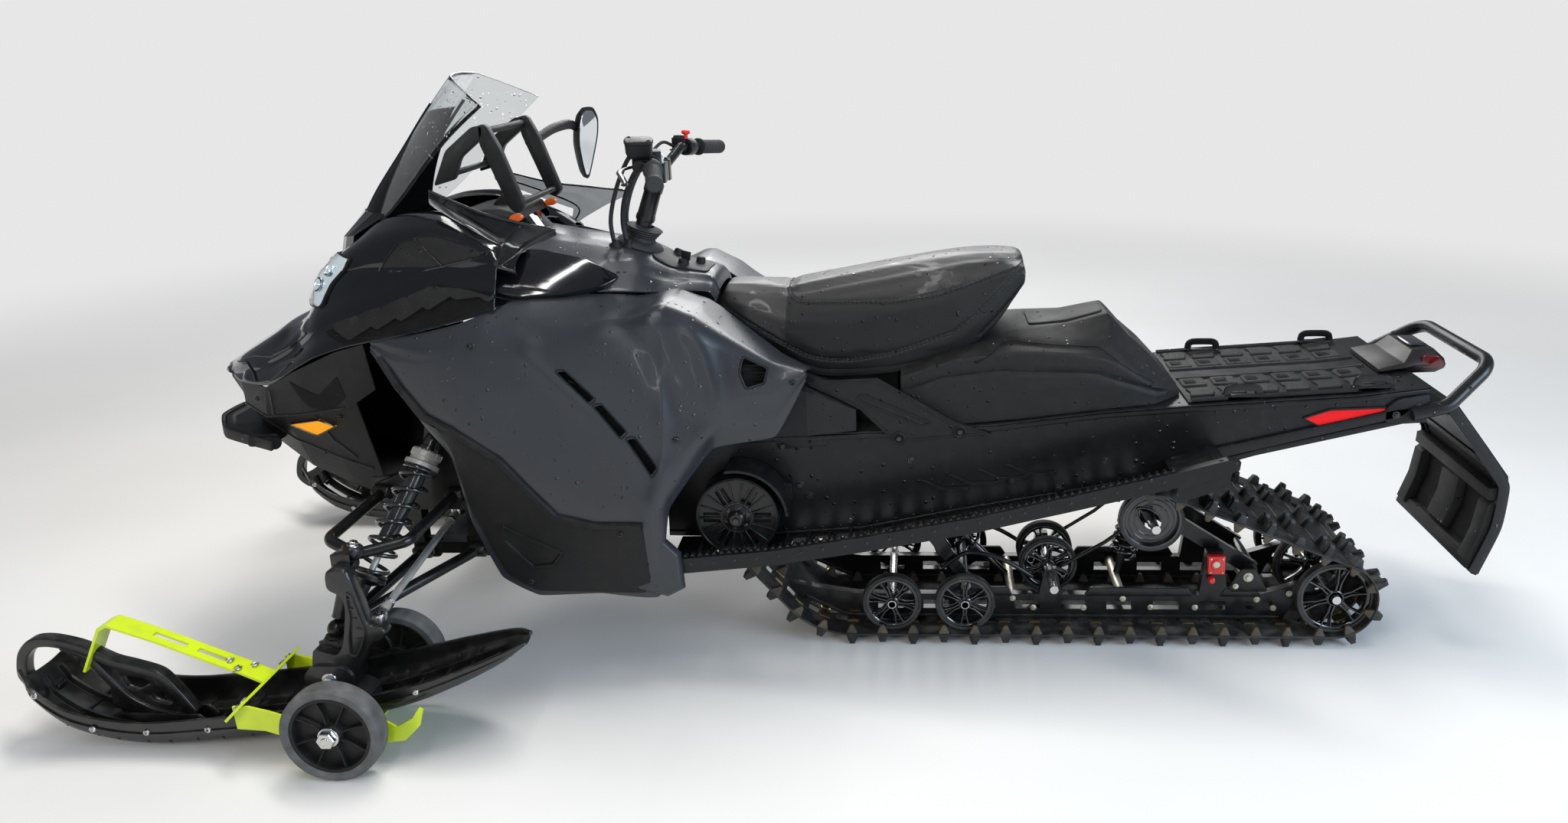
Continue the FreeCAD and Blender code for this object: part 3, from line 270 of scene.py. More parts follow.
def skinGrid(rows, along=7, across=5, crown=0.0, corner=9.0, ease=1.0):
    # a smooth skin through section lines: rounded across at each corner, smooth from row to row
    lines = []
    for j in range(len(rows[0])):
        lines.append(smoothLine([row[j] for row in rows], along, ease=ease))
    grid = []
    for i in range(len(lines[0])):
        section = [line[i] for line in lines]
        points = []
        for k in range(len(section) - 1):
            a, b = section[k], section[k + 1]
            span = (b - a).length
            cut = min(corner, span * 0.4) / max(span, 0.001)
            steps = max(1, across)
            first, last = (cut if k else 0.0), (1 - cut if k < len(section) - 2 else 1.0)
            shares = [first + (last - first) * s / steps for s in range(steps + 1)]
            out = (b - a).cross(Vector((1, 0, 0))).normalized()
            for share in shares:
                points.append(a.lerp(b, share) + out * (crown * 4 * share * (1 - share)))
            if k < len(section) - 2:
                c = section[k + 2]
                cutNext = min(corner, (c - b).length * 0.4) / max((c - b).length, 0.001)
                before, after = a.lerp(b, 1 - cut), b.lerp(c, cutNext)
                for t in (0.25, 0.5, 0.75):
                    points.append(before * (1 - t) ** 2 + b * (2 * t * (1 - t)) + after * t * t)
        grid.append(points)
    return grid


def gridNormals(grid):
    rows, columns = len(grid), len(grid[0])
    normals = []
    for i in range(rows):
        before, after = grid[max(i - 1, 0)], grid[min(i + 1, rows - 1)]
        for j in range(columns):
            over = grid[i][min(j + 1, columns - 1)] - grid[i][max(j - 1, 0)]
            normals.append((after[j] - before[j]).cross(over).normalized())
    return normals


def gridShape(grid, thick):
    # the skin with its inner face and its rims
    rows, columns = len(grid), len(grid[0])
    points = [p.copy() for row in grid for p in row]
    inner = [p - n * thick for p, n in zip(points, gridNormals(grid))]
    total = rows * columns
    faces = []
    for i in range(rows - 1):
        for j in range(columns - 1):
            a, d = i * columns + j, (i + 1) * columns + j
            faces += [(a, a + 1, d + 1, d), (a + total, d + total, d + total + 1, a + total + 1)]
    rim = list(range(columns)) + [i * columns + columns - 1 for i in range(1, rows)]
    rim += [(rows - 1) * columns + j for j in range(columns - 2, -1, -1)]
    rim += [i * columns for i in range(rows - 2, 0, -1)]
    for a, b in zip(rim, rim[1:] + rim[:1]):
        faces.append((b, a, a + total, b + total))
    return points + inner, faces


def nearLine(x, z, line):
    # how far a place in X and Z lies from a line there
    near = 1e9
    for (ax, az), (bx, bz) in zip(line, line[1:]):
        lx, lz = bx - ax, bz - az
        share = max(0.0, min(1.0, ((x - ax) * lx + (z - az) * lz) / (lx * lx + lz * lz)))
        near = min(near, math.hypot(x - ax - lx * share, z - az - lz * share))
    return near


def pressLine(grid, line, height, width, outward):
    # a crease or a flute pressed into the skin along a line in X and Z
    for p, normal in zip([p for row in grid for p in row], gridNormals(grid)):
        near = nearLine(p.x, p.z, line)
        if near < 3 * width:
            p += normal * (outward * height * math.exp(-(near / width) ** 2))


def roundCorners(outline, radius, steps=4):
    # a flat outline with each corner rounded
    count = len(outline)
    points = []
    for i in range(count):
        a, b, c = (Vector(outline[(i + k) % count]) for k in (-1, 0, 1))
        before, after = a - b, c - b
        reach = min(radius, before.length * 0.45, after.length * 0.45)
        first, last = b + before.normalized() * reach, b + after.normalized() * reach
        for k in range(steps + 1):
            t = k / steps
            points.append(tuple(first * (1 - t) ** 2 + b * (2 * t * (1 - t)) + last * t * t))
    return points


def sweptShape(line, section, up, closed=False):
    # a section of (sideways, upwards) carried along a line
    points = []
    count = len(line)
    for i, place in enumerate(line):
        after, before = (i + 1) % count, (i - 1) % count
        if not closed:
            after, before = min(i + 1, count - 1), max(i - 1, 0)
        ahead = (line[after] - line[before]).normalized()
        lift = Vector(up[i]) if isinstance(up, list) else Vector(up)
        side = ahead.cross(lift).normalized()
        lift = side.cross(ahead)
        points += [place + side * s + lift * h for s, h in section]
    return points, ringFaces(count, len(section), closed)


def holedPlate(outline, holes, low, high):
    # a flat plate in local X and Y with openings
    sheet = bmesh.new()
    loops = []
    for z in (low, high):
        layer = [[sheet.verts.new((u, v, z)) for u, v in line] for line in [outline] + holes]
        edges = [sheet.edges.new((line[k], line[(k + 1) % len(line)])) for line in layer
                 for k in range(len(line))]
        bmesh.ops.triangle_fill(sheet, use_beauty=True, edges=edges)
        loops.append(layer)
    for lower, upper in zip(*loops):
        for k in range(len(lower)):
            j = (k + 1) % len(lower)
            sheet.faces.new((lower[k], lower[j], upper[j], upper[k]))
    sheet.verts.index_update()
    shape = [v.co.copy() for v in sheet.verts], [tuple(v.index for v in face.verts) for face in sheet.faces]
    sheet.free()
    return shape


# turns a plate drawn in X and Y into one drawn in X and Z, with its thickness along Y
upPlate = Matrix(((1, 0, 0, 0), (0, 0, 1, 0), (0, 1, 0, 0), (0, 0, 0, 1)))


def upright(x, y, z, side=-1):
    # local Z points out to the side that the wheel faces
    turn = math.radians(90 if side < 0 else -90)
    return Matrix.Translation(Vector((x, y, z))) @ Matrix.Rotation(turn, 4, "X")


def treeOf(shapes):
    points, faces = joinShapes(shapes)
    return BVHTree.FromPolygons(points, faces)


# the planes that outlines are drawn in: X and Z seen along Y, and X and Y seen from above
leftPlane = Matrix(((1, 0, 0, 0), (0, 0, -1, -520), (0, 1, 0, 0), (0, 0, 0, 1)))
topView = Matrix(((1, 0, 0, 0), (0, 1, 0, 0), (0, 0, 1, 1500), (0, 0, 0, 1)))


def dropOn(tree, plane, u, v):
    # the place on a body that a point of the drawing plane falls on, and the skin's normal there
    ahead = -(plane.to_3x3() @ Vector((0, 0, 1)))
    start = plane @ Vector((u, v, 0))
    hit, normal, _, _ = tree.ray_cast(start, ahead)
    if hit is None:
        hit, normal, _, _ = tree.find_nearest(start + ahead * 250)
    if normal.dot(ahead) > 0:
        normal = -normal
    return hit, normal


def laidOn(outline, tree, plane, lift, thick, pitch=20.0):
    # a plate cut to an outline and laid on the body
    sheet = bmesh.new()
    sheet.faces.new([sheet.verts.new((u, v, 0)) for u, v in outline])
    for axis in (0, 1):
        values = [corner[axis] for corner in outline]
        place = math.ceil(min(values) / pitch) * pitch
        while place < max(values):
            normal, spot = [0, 0, 0], [0, 0, 0]
            normal[axis], spot[axis] = 1, place
            bmesh.ops.bisect_plane(sheet, geom=sheet.verts[:] + sheet.edges[:] + sheet.faces[:],
                                   plane_co=spot, plane_no=normal, dist=0.001)
            place += pitch
    outer, inner = [], []
    for k, v in enumerate(sheet.verts):
        v.index = k
        hit, normal = dropOn(tree, plane, v.co.x, v.co.y)
        outer.append(hit + normal * lift)
        inner.append(hit + normal * (lift - thick))
    count = len(outer)
    faces = []
    for face in sheet.faces:
        ring = [v.index for v in face.verts]
        faces.append(tuple(ring))
        faces.append(tuple(i + count for i in ring[::-1]))
    for edge in sheet.edges:
        if len(edge.link_faces) == 1:
            a, b = (v.index for v in edge.verts)
            faces.append((a, b, b + count, a + count))
    sheet.free()
    return outer + inner, faces


def lineOn(line, tree, plane, lift=0.0, step=8.0, closed=False):
    # a line drawn on the body, and the skin's normals along it
    corners = list(line) + ([line[0]] if closed else [])
    places, normals = [], []
    for (u0, v0), (u1, v1) in zip(corners, corners[1:]):
        count = max(1, round(math.hypot(u1 - u0, v1 - v0) / step))
        for k in range(count):
            hit, normal = dropOn(tree, plane, u0 + (u1 - u0) * k / count, v0 + (v1 - v0) * k / count)
            places.append(hit + normal * lift)
            normals.append(normal)
    if not closed:
        hit, normal = dropOn(tree, plane, *corners[-1])
        places.append(hit + normal * lift)
        normals.append(normal)
    return places, normals


def ribOn(line, tree, plane, width, height, sunk=2.0, closed=False, step=8.0):
    # a raised rib that follows the body
    places, normals = lineOn(line, tree, plane, 0.0, step, closed)
    section = [(-width / 2, -sunk), (-width / 2, height * 0.45), (-width * 0.3, height),
               (width * 0.3, height), (width / 2, height * 0.45), (width / 2, -sunk)]
    return sweptShape(places, section, normals, closed)


def screwsOn(places, tree, lift, size):
    screws = []
    for x, z in places:
        hit, normal = dropOn(tree, leftPlane, x, z)
        screws.append(screwShape(hit + normal * lift, normal, size))
    return screws


def meshShape(piece):
    # a piece of the scene as a shape in table millimetres
    return ([Vector((v.co.x * 1000 - centreShift, v.co.y * 1000, v.co.z * 1000))
             for v in piece.data.vertices], [tuple(face.vertices) for face in piece.data.polygons])




def shrunk(outline, middle, share):
    return [(middle[0] + (u - middle[0]) * share, middle[1] + (v - middle[1]) * share) for u, v in outline]


def centreOf(outline):
    return tuple(sum(corner[axis] for corner in outline) / len(outline) for axis in (0, 1))


# each side's sign, the word in its names, and how a shape drawn on the near side comes there
sides = [(-1, "left", whole), (1, "right", mirrorShape)]
square = [(-1, -1), (1, -1), (1, 1), (-1, 1)]



# finishes
def addNode(tree, kind, inputs, output=0, **settings):
    # a shader node: each input is a constant or the output that feeds it. Gives back one output
    node = tree.nodes.new("ShaderNode" + kind)
    for setting, value in settings.items():
        setattr(node, setting, value)
    for socket, value in inputs.items():
        if isinstance(value, bpy.types.NodeSocket):
            tree.links.new(value, node.inputs[socket])
        else:
            node.inputs[socket].default_value = value
    return node.outputs[output]


def mathNode(tree, operation, first, second=0.0, clamped=False):
    return addNode(tree, "Math", {0: first, 1: second}, "Value", operation=operation, use_clamp=clamped)


def rampNode(tree, source, low, high, **settings):
    inputs = {"From Min": low[0], "From Max": high[0], "To Min": low[1], "To Max": high[1], "Value": source}
    return addNode(tree, "MapRange", inputs, "Result", **settings)


def finish(name, colour, roughness, metallic=0.0, coat=0.0, grain=None, mottle=(9.0, 0.12), edge=0.0,
           dust=0.0, drops=0.0, brushed=0.0, roundness=1.2, **sockets):
    material = bpy.data.materials.new(name)
    material.use_nodes = True
    tree = material.node_tree
    shader = tree.nodes["Principled BSDF"]
    shader.inputs["Base Color"].default_value = (*colour, 1)
    shader.inputs["Roughness"].default_value = roughness
    shader.inputs["Metallic"].default_value = metallic
    shader.inputs["Coat Weight"].default_value = coat
    shader.inputs["Coat Roughness"].default_value = 0.06
    for socket, value in sockets.items():
        shader.inputs[socket.replace("_", " ")].default_value = value
    place = addNode(tree, "TexCoord", {}, "Object")

    def cloudy(scale, detail, vector=place):
        return addNode(tree, "TexNoise", {"Scale": scale, "Detail": detail, "Vector": vector}, "Fac")

    def blendColour(share, first, second):
        return addNode(tree, "Mix", {"Factor": share, "A": first, "B": second}, "Result", data_type="RGBA")

    def bumpy(height, strength, distance, normal):
        inputs = {"Strength": strength, "Distance": distance, "Height": height, "Normal": normal}
        return addNode(tree, "Bump", inputs, "Normal")

    scale, amount = mottle
    cloud = cloudy(scale, 5.0)
    darker = (*(c * (1 - amount) for c in colour), 1)
    lighter = (*(min(1.0, c * (1 + amount) + 0.001) for c in colour), 1)
    colourOut = blendColour(rampNode(tree, cloud, (0.3, 0.0), (0.7, 1.0)), darker, lighter)
    roughOut = rampNode(tree, cloud, (0.3, max(0.02, roughness * 0.82)), (0.7, min(1.0, roughness * 1.2)))
    normalOut = addNode(tree, "Bevel", {"Radius": roundness * 0.001}, "Normal", samples=4)
    flat = addNode(tree, "NewGeometry", {}, "Normal")
    if edge:
        # worn paler edges, where the rounded normal leaves the flat one
        dot = addNode(tree, "VectorMath", {0: normalOut, 1: flat}, "Value", operation="DOT_PRODUCT")
        worn = rampNode(tree, dot, (0.97, edge), (0.999, 0.0))
        scratch = rampNode(tree, cloudy(60.0, 6.0), (0.42, 0.0), (0.6, 1.0))
        patchy = mathNode(tree, "MULTIPLY", worn, scratch)
        colourOut = blendColour(patchy, colourOut, (*(min(1.0, c * 2.0 + 0.05) for c in colour), 1))
    if dust:
        up = addNode(tree, "SeparateXYZ", {"Vector": flat}, "Z")
        settled = mathNode(tree, "MULTIPLY", rampNode(tree, up, (-0.4, 0.25), (0.9, 1.0)),
                           rampNode(tree, cloudy(38.0, 8.0), (0.48, 0.0), (0.72, dust)))
        colourOut = blendColour(settled, colourOut, (0.085, 0.080, 0.072, 1))
    if brushed:
        stretched = addNode(tree, "Mapping", {"Scale": (1.0, 30.0, 30.0), "Vector": place}, "Vector")
        roughOut = rampNode(tree, cloudy(18.0, 3.0, stretched), (0.3, roughness * (1 - brushed)),
                            (0.7, roughness * (1 + brushed)))
    if grain:
        size, depth = grain
        pores = addNode(tree, "TexVoronoi", {"Scale": size, "Vector": place}, "Distance")
        normalOut = bumpy(pores, depth, 0.0006, normalOut)
    if drops:
        # beads of melt water: round caps in random cells
        cells = addNode(tree, "TexVoronoi", {"Scale": drops, "Vector": place}, "Distance")
        chance = addNode(tree, "SeparateColor", {"Color": cells.node.outputs["Color"]}, "Red")
        cap = mathNode(tree, "SUBTRACT", rampNode(tree, chance, (0.50, 0.0), (1.0, 0.32)), cells,
                       clamped=True)
        normalOut = bumpy(cap, 0.9, 0.012, normalOut)
        wet = rampNode(tree, cap, (0.0, 0.0), (0.02, 1.0))
        roughOut = addNode(tree, "Mix", {"Factor": wet, "A": roughOut, "B": 0.05}, "Result")
    tree.links.new(colourOut, shader.inputs["Base Color"])
    tree.links.new(roughOut, shader.inputs["Roughness"])
    tree.links.new(normalOut, shader.inputs["Normal"])
    return material


looks = {
    "glossBlack": dict(colour=(0.003, 0.003, 0.004), roughness=0.07, coat=0.4, mottle=(3.0, 0.1),
                       roundness=2.0),
    "satinCharcoal": dict(colour=(0.017, 0.020, 0.025), roughness=0.33, coat=0.10, grain=(2600, 0.10),
                          drops=72.0, roundness=2.5, mottle=(5.0, 0.10)),
    "matteBlack": dict(colour=(0.0055, 0.0055, 0.006), roughness=0.46, grain=(1900, 0.30), edge=0.10,
                       dust=0.12, Specular_IOR_Level=0.28),
    "meshBlack": dict(colour=(0.003, 0.003, 0.003), roughness=0.66, grain=(420, 0.9), dust=0.06,
                      Specular_IOR_Level=0.2),
    "grainBlack": dict(colour=(0.0095, 0.0095, 0.0095), roughness=0.50, grain=(1300, 0.55), drops=72.0,
                       dust=0.10, Specular_IOR_Level=0.3),
    "frameBlack": dict(colour=(0.005, 0.005, 0.0055), roughness=0.30, coat=0.15, mottle=(14.0, 0.15),
                       edge=0.3, dust=0.15, Specular_IOR_Level=0.35),
    "tunnelBlack": dict(colour=(0.0045, 0.0048, 0.0055), roughness=0.34, mottle=(4.0, 0.2), edge=0.35,
                        dust=0.10, drops=62.0, Specular_IOR_Level=0.30),
    "lime": dict(colour=(0.52, 0.66, 0.012), roughness=0.38, coat=0.3, mottle=(6.0, 0.07), edge=0.25,
                 dust=0.12),
    "steel": dict(colour=(0.62, 0.62, 0.60), roughness=0.26, metallic=1.0, brushed=0.35, edge=0.2),
    "aluminium": dict(colour=(0.60, 0.61, 0.62), roughness=0.34, metallic=1.0, brushed=0.4,
                      mottle=(20.0, 0.08)),
    "brass": dict(colour=(0.62, 0.47, 0.22), roughness=0.34, metallic=1.0, brushed=0.3),
    "trackRubber": dict(colour=(0.010, 0.0095, 0.009), roughness=0.55, grain=(520, 0.6), edge=0.30,
                        dust=0.55, mottle=(24.0, 0.4)),
    "mudRubber": dict(colour=(0.055, 0.043, 0.030), roughness=0.62, grain=(420, 0.6), edge=0.25,
                      mottle=(30.0, 0.5)),
    "hubBlack": dict(colour=(0.006, 0.006, 0.006), roughness=0.48, grain=(900, 0.3), dust=0.2,
                     Specular_IOR_Level=0.3),
    "paleAlloy": dict(colour=(0.42, 0.42, 0.40), roughness=0.46, metallic=0.6, brushed=0.3,
                      mottle=(30.0, 0.15), dust=0.1),
    "darkSteel": dict(colour=(0.06, 0.06, 0.062), roughness=0.34, metallic=0.9, brushed=0.3,
                      mottle=(30.0, 0.2)),
    "zinc": dict(colour=(0.58, 0.55, 0.45), roughness=0.42, metallic=0.7, brushed=0.3, mottle=(20.0, 0.15),
                 dust=0.1),
    "wheelBlack": dict(colour=(0.004, 0.004, 0.0045), roughness=0.16, coat=0.7, mottle=(18.0, 0.15),
                       dust=0.10),
    "tyreRubber": dict(colour=(0.085, 0.086, 0.088), roughness=0.74, grain=(700, 0.5), dust=0.5,
                       mottle=(30.0, 0.45)),
    "seatVinyl": dict(colour=(0.0075, 0.0075, 0.008), roughness=0.30, coat=0.1, grain=(1100, 0.40),
                      mottle=(7.0, 0.2), drops=70.0),
    "seatSide": dict(colour=(0.0085, 0.0085, 0.0088), roughness=0.50, grain=(900, 0.6), mottle=(9.0, 0.15),
                     drops=66.0, Specular_IOR_Level=0.3),
    "thread": dict(colour=(0.055, 0.055, 0.058), roughness=0.7, mottle=(200.0, 0.3)),
    "springBlack": dict(colour=(0.008, 0.008, 0.009), roughness=0.22, coat=0.8, mottle=(20.0, 0.2),
                        edge=0.2, dust=0.2),
    "shockBlack": dict(colour=(0.009, 0.009, 0.010), roughness=0.24, coat=0.6, mottle=(14.0, 0.2),
                       edge=0.25, dust=0.2),
    "castBlack": dict(colour=(0.007, 0.007, 0.0075), roughness=0.34, coat=0.3, grain=(700, 0.35), edge=0.35,
                      dust=0.18),
    "gripRubber": dict(colour=(0.014, 0.014, 0.015), roughness=0.62, grain=(800, 0.5), edge=0.1),
    "skiBlack": dict(colour=(0.006, 0.006, 0.006), roughness=0.32, coat=0.15, mottle=(12.0, 0.25), edge=0.3,
                     dust=0.30),
    "red": dict(colour=(0.55, 0.012, 0.010), roughness=0.32, coat=0.5, mottle=(20.0, 0.1), edge=0.2),
    "orange": dict(colour=(0.85, 0.13, 0.01), roughness=0.40, mottle=(20.0, 0.08)),
    # the red reflector lens glows faintly: a painted glow, as the reflectors are no lamps
    "redLensPaintedGlow": dict(colour=(0.60, 0.006, 0.008), roughness=0.30, grain=(520, 0.35), mottle=(30.0, 0.06),
                    roundness=0.6, Specular_IOR_Level=0.2, Emission_Color=(0.60, 0.006, 0.008, 1),
                    Emission_Strength=0.2),
    # the amber reflector lens glows faintly: a painted glow, as the reflectors are no lamps
    "amberLensPaintedGlow": dict(colour=(0.95, 0.36, 0.0), roughness=0.35, grain=(520, 0.35), mottle=(30.0, 0.06),
                      roundness=0.6, Specular_IOR_Level=0.2, Emission_Color=(0.95, 0.36, 0.0, 1),
                      Emission_Strength=0.25),
    "lampSmoke": dict(colour=(0.010, 0.008, 0.008), roughness=0.38, coat=0.0, mottle=(12.0, 0.3),
                      roundness=2.0, Specular_IOR_Level=0.4),
    "deepRed": dict(colour=(0.10, 0.004, 0.005), roughness=0.14, coat=0.3, mottle=(30.0, 0.2)),
    "tubeSatin": dict(colour=(0.0045, 0.0048, 0.0055), roughness=0.34, mottle=(6.0, 0.15), edge=0.2,
                      dust=0.06, drops=60.0, roundness=3.0, Specular_IOR_Level=0.4),
    "reflector": dict(colour=(0.80, 0.88, 0.92), roughness=0.16, metallic=1.0, grain=(55, 0.15)),
    "smoke": dict(colour=(0.30, 0.32, 0.33), roughness=0.05, mottle=(5.0, 0.1), Transmission_Weight=1.0,
                  IOR=1.45),
    "smokeEdge": dict(colour=(0.012, 0.013, 0.015), roughness=0.16, coat=0.4, mottle=(8.0, 0.1)),
    "paleMark": dict(colour=(0.62, 0.64, 0.64), roughness=0.45, mottle=(40.0, 0.06)),
    "lensClear": dict(colour=(0.92, 0.95, 0.97), roughness=0.03, mottle=(5.0, 0.02),
                      Transmission_Weight=1.0, IOR=1.49),
    "mirrorGlass": dict(colour=(0.80, 0.83, 0.85), roughness=0.02, metallic=1.0, mottle=(3.0, 0.02)),
    "display": dict(colour=(0.004, 0.005, 0.007), roughness=0.06, coat=1.0, mottle=(4.0, 0.2)),
}
paint = {name: finish(name, **look) for name, look in looks.items()}


def screenFinish():
    # clear polycarbonate, painted black at its foot and up its spine
    material = finish("screenClear", (0.80, 0.83, 0.84), 0.03, mottle=(4.0, 0.04), drops=90.0,
                      Transmission_Weight=1.0, IOR=1.49)
    tree = material.node_tree
    place = addNode(tree, "TexCoord", {}, "Object")
    across = addNode(tree, "SeparateXYZ", {"Vector": place}, "Y")
    high = across.node.outputs["Z"]
    # the painted stripe's half width shrinks as it climbs
    limit = rampNode(tree, high, (0.96, 0.150), (1.25, 0.078))
    inside = mathNode(tree, "LESS_THAN", mathNode(tree, "ABSOLUTE", across), limit)
    painted = mathNode(tree, "MULTIPLY", inside, mathNode(tree, "LESS_THAN", high, 1.258))
    ink = addNode(tree, "BsdfPrincipled", {"Base Color": (0.006, 0.006, 0.007, 1), "Roughness": 0.25,
                                           "Specular IOR Level": 0.04})
    clear = tree.nodes["Principled BSDF"].outputs["BSDF"]
    mixed = addNode(tree, "MixShader", {"Fac": painted, 1: clear, 2: ink})
    tree.links.new(mixed, tree.nodes["Material Output"].inputs["Surface"])
    return material


paint["screen"] = screenFinish()

# the finish of each node that stays as the frame has it
wears = {
    "glossBlack": ["hood", "screen_moulding"],
    "satinCharcoal": ["side_panel_left", "side_panel_right", "console"],
    "grainBlack": ["tank_covers", "rear_box", "seat_struts", "rear_deck"],
    "matteBlack": ["nose_panel", "belly_pan", "front_bumper", "windshield_frame", "dash", "snow_flap",
                   "fuel_tank", "control_pods", "mirror_right", "cargo_anchors"],
    "tunnelBlack": ["tunnel", "running_boards", "pulley_guard"],
    "frameBlack": ["front_frame", "steering_frame", "upper_arms", "lower_arms", "spindle_left",
                   "spindle_right", "handlebar", "skid_arms", "slide_rails", "front_springs",
                   "front_shocks", "skid_shocks", "driven_pulley"],
    "wheelBlack": ["skid_wheels", "dolly_wheels_left", "dolly_wheels_right"],
    "steel": ["skid_axles", "drive_axle"],
    "aluminium": ["engine_block"],
    "paleAlloy": ["tie_rod_left", "tie_rod_right"],
    "zinc": ["skid_cross_tubes"],
    "trackRubber": ["track"],
    "gripRubber": ["grips"],
    "skiBlack": ["ski_left", "ski_right"],
    "lime": ["dolly_frame_left", "dolly_frame_right"],
    "red": ["skid_adjusters"],
    "redLensPaintedGlow": ["side_reflectors"],
    "lampSmoke": ["tail_lamp"],
    "amberLensPaintedGlow": ["front_reflectors"],
    "lensClear": ["headlamps"],
    "tubeSatin": ["rear_bumper"],
    "smoke": ["wind_deflectors"],
    "screen": ["windshield"],
    "seatVinyl": ["seat"],
}
for finishName, members in wears.items():
    for member in members:
        nodes[member].data.materials.clear()
        nodes[member].data.materials.append(paint[finishName])
print("finishes made")


# hood: x, edge y, edge z, shoulder y, shoulder z, crown z
hood = {
    "rows": [
        (-1432, 30, 640, 20, 648, 652),
        (-1350, 110, 638, 84, 690, 704),
        (-1240, 180, 650, 130, 752, 770),
        (-1150, 225, 700, 150, 800, 822),
        (-1085, 250, 735, 170, 905, 935),
        (-1000, 270, 765, 205, 930, 962),
        (-850, 296, 800, 240, 945, 985),
        (-650, 300, 850, 258, 950, 990),
    ],
    "wall": 4.0,
    "corner": 10.0,
    "blade": [(-1400, 644), (-1290, 672), (-1164, 730), (-1036, 812), (-910, 862), (-786, 910),
              (-660, 916)],
    "brow": [(-1200, 768), (-1120, 830), (-966, 885), (-828, 926), (-700, 930)],
    "noseFlute": [(-1330, 655), (-1250, 690), (-1180, 742), (-1130, 790)],
}
hoodSections = []
for x, ey, ez, sy, sz, cz in hood["rows"]:
    line = [(ey, ez), (sy, sz), (sy * 0.35, cz), (-sy * 0.35, cz), (-sy, sz), (-ey, ez)]
    hoodSections.append(ringAt(x, line))
hoodGrid = skinGrid(hoodSections, along=15, across=11, crown=2.0, corner=hood["corner"], ease=0.7)
pressLine(hoodGrid, hood["blade"], 6.0, 10.0, 1)
pressLine(hoodGrid, hood["brow"], 4.0, 12.0, 1)
pressLine(hoodGrid, hood["noseFlute"], 4.0, 9.0, -1)
hoodShape = gridShape(hoodGrid, hood["wall"])
addPiece("hoodShell", hoodShape, "glossBlack", replaces=["hood"], bevel=0.8, angle=60)

# the shoulders that the windshield stands on: x, low y, low z, middle y, middle z, top y, top z
pod = {
    "rows": [
        (-1072, 176, 910, 160, 928, 138, 936),
        (-1025, 206, 922, 186, 958, 122, 974),
        (-955, 224, 928, 208, 990, 146, 1024),
        (-880, 242, 936, 226, 1008, 166, 1048),
        (-800, 252, 940, 238, 1014, 176, 1050),
        (-730, 260, 944, 246, 998, 182, 1028),
        (-660, 263, 946, 250, 972, 196, 990),
        (-615, 256, 934, 238, 952, 190, 962),
    ],
    "recess": [(-926, 924), (-906, 952), (-874, 990), (-798, 1010), (-706, 984), (-668, 966), (-786, 938),
               (-896, 914)],
    "strut": [(-838, 1002), (-770, 940)],
}
podSections = []
for x, ly, lz, my, mz, ty, tz in pod["rows"]:
    podSections.append([Vector((x, -y, z)) for y, z in ((ty - 30, tz - 14), (ty, tz), (my, mz), (ly, lz),
                                                        (ly - 8, lz - 16))])
podShape = gridShape(skinGrid(podSections, along=8, across=6, crown=1.5, corner=14.0, ease=0.8), -4.0)
podTree = treeOf([podShape])
hoodTree = treeOf([hoodShape, podShape, mirrorShape(podShape)])
addPiece("hoodShoulders", bothSides(podShape), "glossBlack", bevel=0.8, angle=60)
recessShape = laidOn(roundCorners(pod["recess"], 8), podTree, leftPlane, 1.4, 2.6)
addPiece("hoodGrilles", bothSides(recessShape), "grainBlack")
rimShapes = [ribOn(roundCorners(pod["recess"], 10), podTree, leftPlane, 6.0, 4.2, closed=True, step=6.0),
             ribOn(pod["strut"], podTree, leftPlane, 4.0, 3.2, step=6.0)]
addPiece("hoodGrilleRims", bothSides(rimShapes), "glossBlack", angle=40)

# stepped air scoops below the gloss blade, front edge by front edge
scoops = {
    "line": [(-1036, 806), (-966, 832), (-908, 852), (-846, 876), (-786, 898), (-716, 896), (-658, 884)],
    "run": 52.0,
    "drop": 24.0,
    "lift": 8.0,
}
scoopShapes = []
for (x0, z0), (x1, z1) in zip(scoops["line"], scoops["line"][1:]):
    outline = [(x0, z0), (x1 - 6, z1), (x1 + scoops["run"] - 8, z1 - scoops["drop"] * 0.6),
               (x0 + scoops["run"], z0 - scoops["drop"])]
    lift = scoops["lift"]
    scoopShapes.append(laidOn(roundCorners(outline, 5), hoodTree, leftPlane, lift, lift + 2, 14))
addPiece("hoodScoops", bothSides(scoopShapes), "grainBlack", bevel=1.6)
underScoops = [(-1060, 792), (-966, 832), (-846, 876), (-786, 904), (-655, 892), (-655, 856), (-850, 806),
               (-1000, 770)]
addPiece("hoodVentBed", bothSides(laidOn(underScoops, hoodTree, leftPlane, 1.2, 3.0)), "meshBlack")

# headlamps: a ribbed reflector, its inner lamps and a clear cover. They are drawn on a plane
# that faces forward and out
lampPlane = facing((-1500, -420, 960), (-0.86, -0.50, 0.12))
lamp = {
    "corners": [(-1100, -166, 846), (-1104, -150, 880), (-1092, -128, 918), (-1072, -128, 938),
                (-1030, -176, 946), (-1010, -206, 944), (-1034, -214, 926), (-1052, -206, 896),
                (-1062, -204, 868), (-1078, -206, 846)],
}
toPlane = lampPlane.inverted()
lampOutline = [tuple((toPlane @ Vector(corner))[:2]) for corner in lamp["corners"]]
lampMiddle = centreOf(lampOutline)
lampOutline = shrunk(lampOutline, lampMiddle, 1.15)
lampShapes = {
    "headlampReflectors": (laidOn(roundCorners(lampOutline, 8), hoodTree, lampPlane, 1.5, 3.0, 9),
                           "reflector", "bare_aluminium"),
    "headlampBezels": (ribOn(roundCorners(lampOutline, 8), hoodTree, lampPlane, 5.0, 6.0, closed=True,
                             step=5), "matteBlack", "black_plastic"),
    "headlampCovers": (laidOn(roundCorners(lampOutline, 8), hoodTree, lampPlane, 7.0, 2.5, 9), "lensClear",
                       "clear_screen"),
}
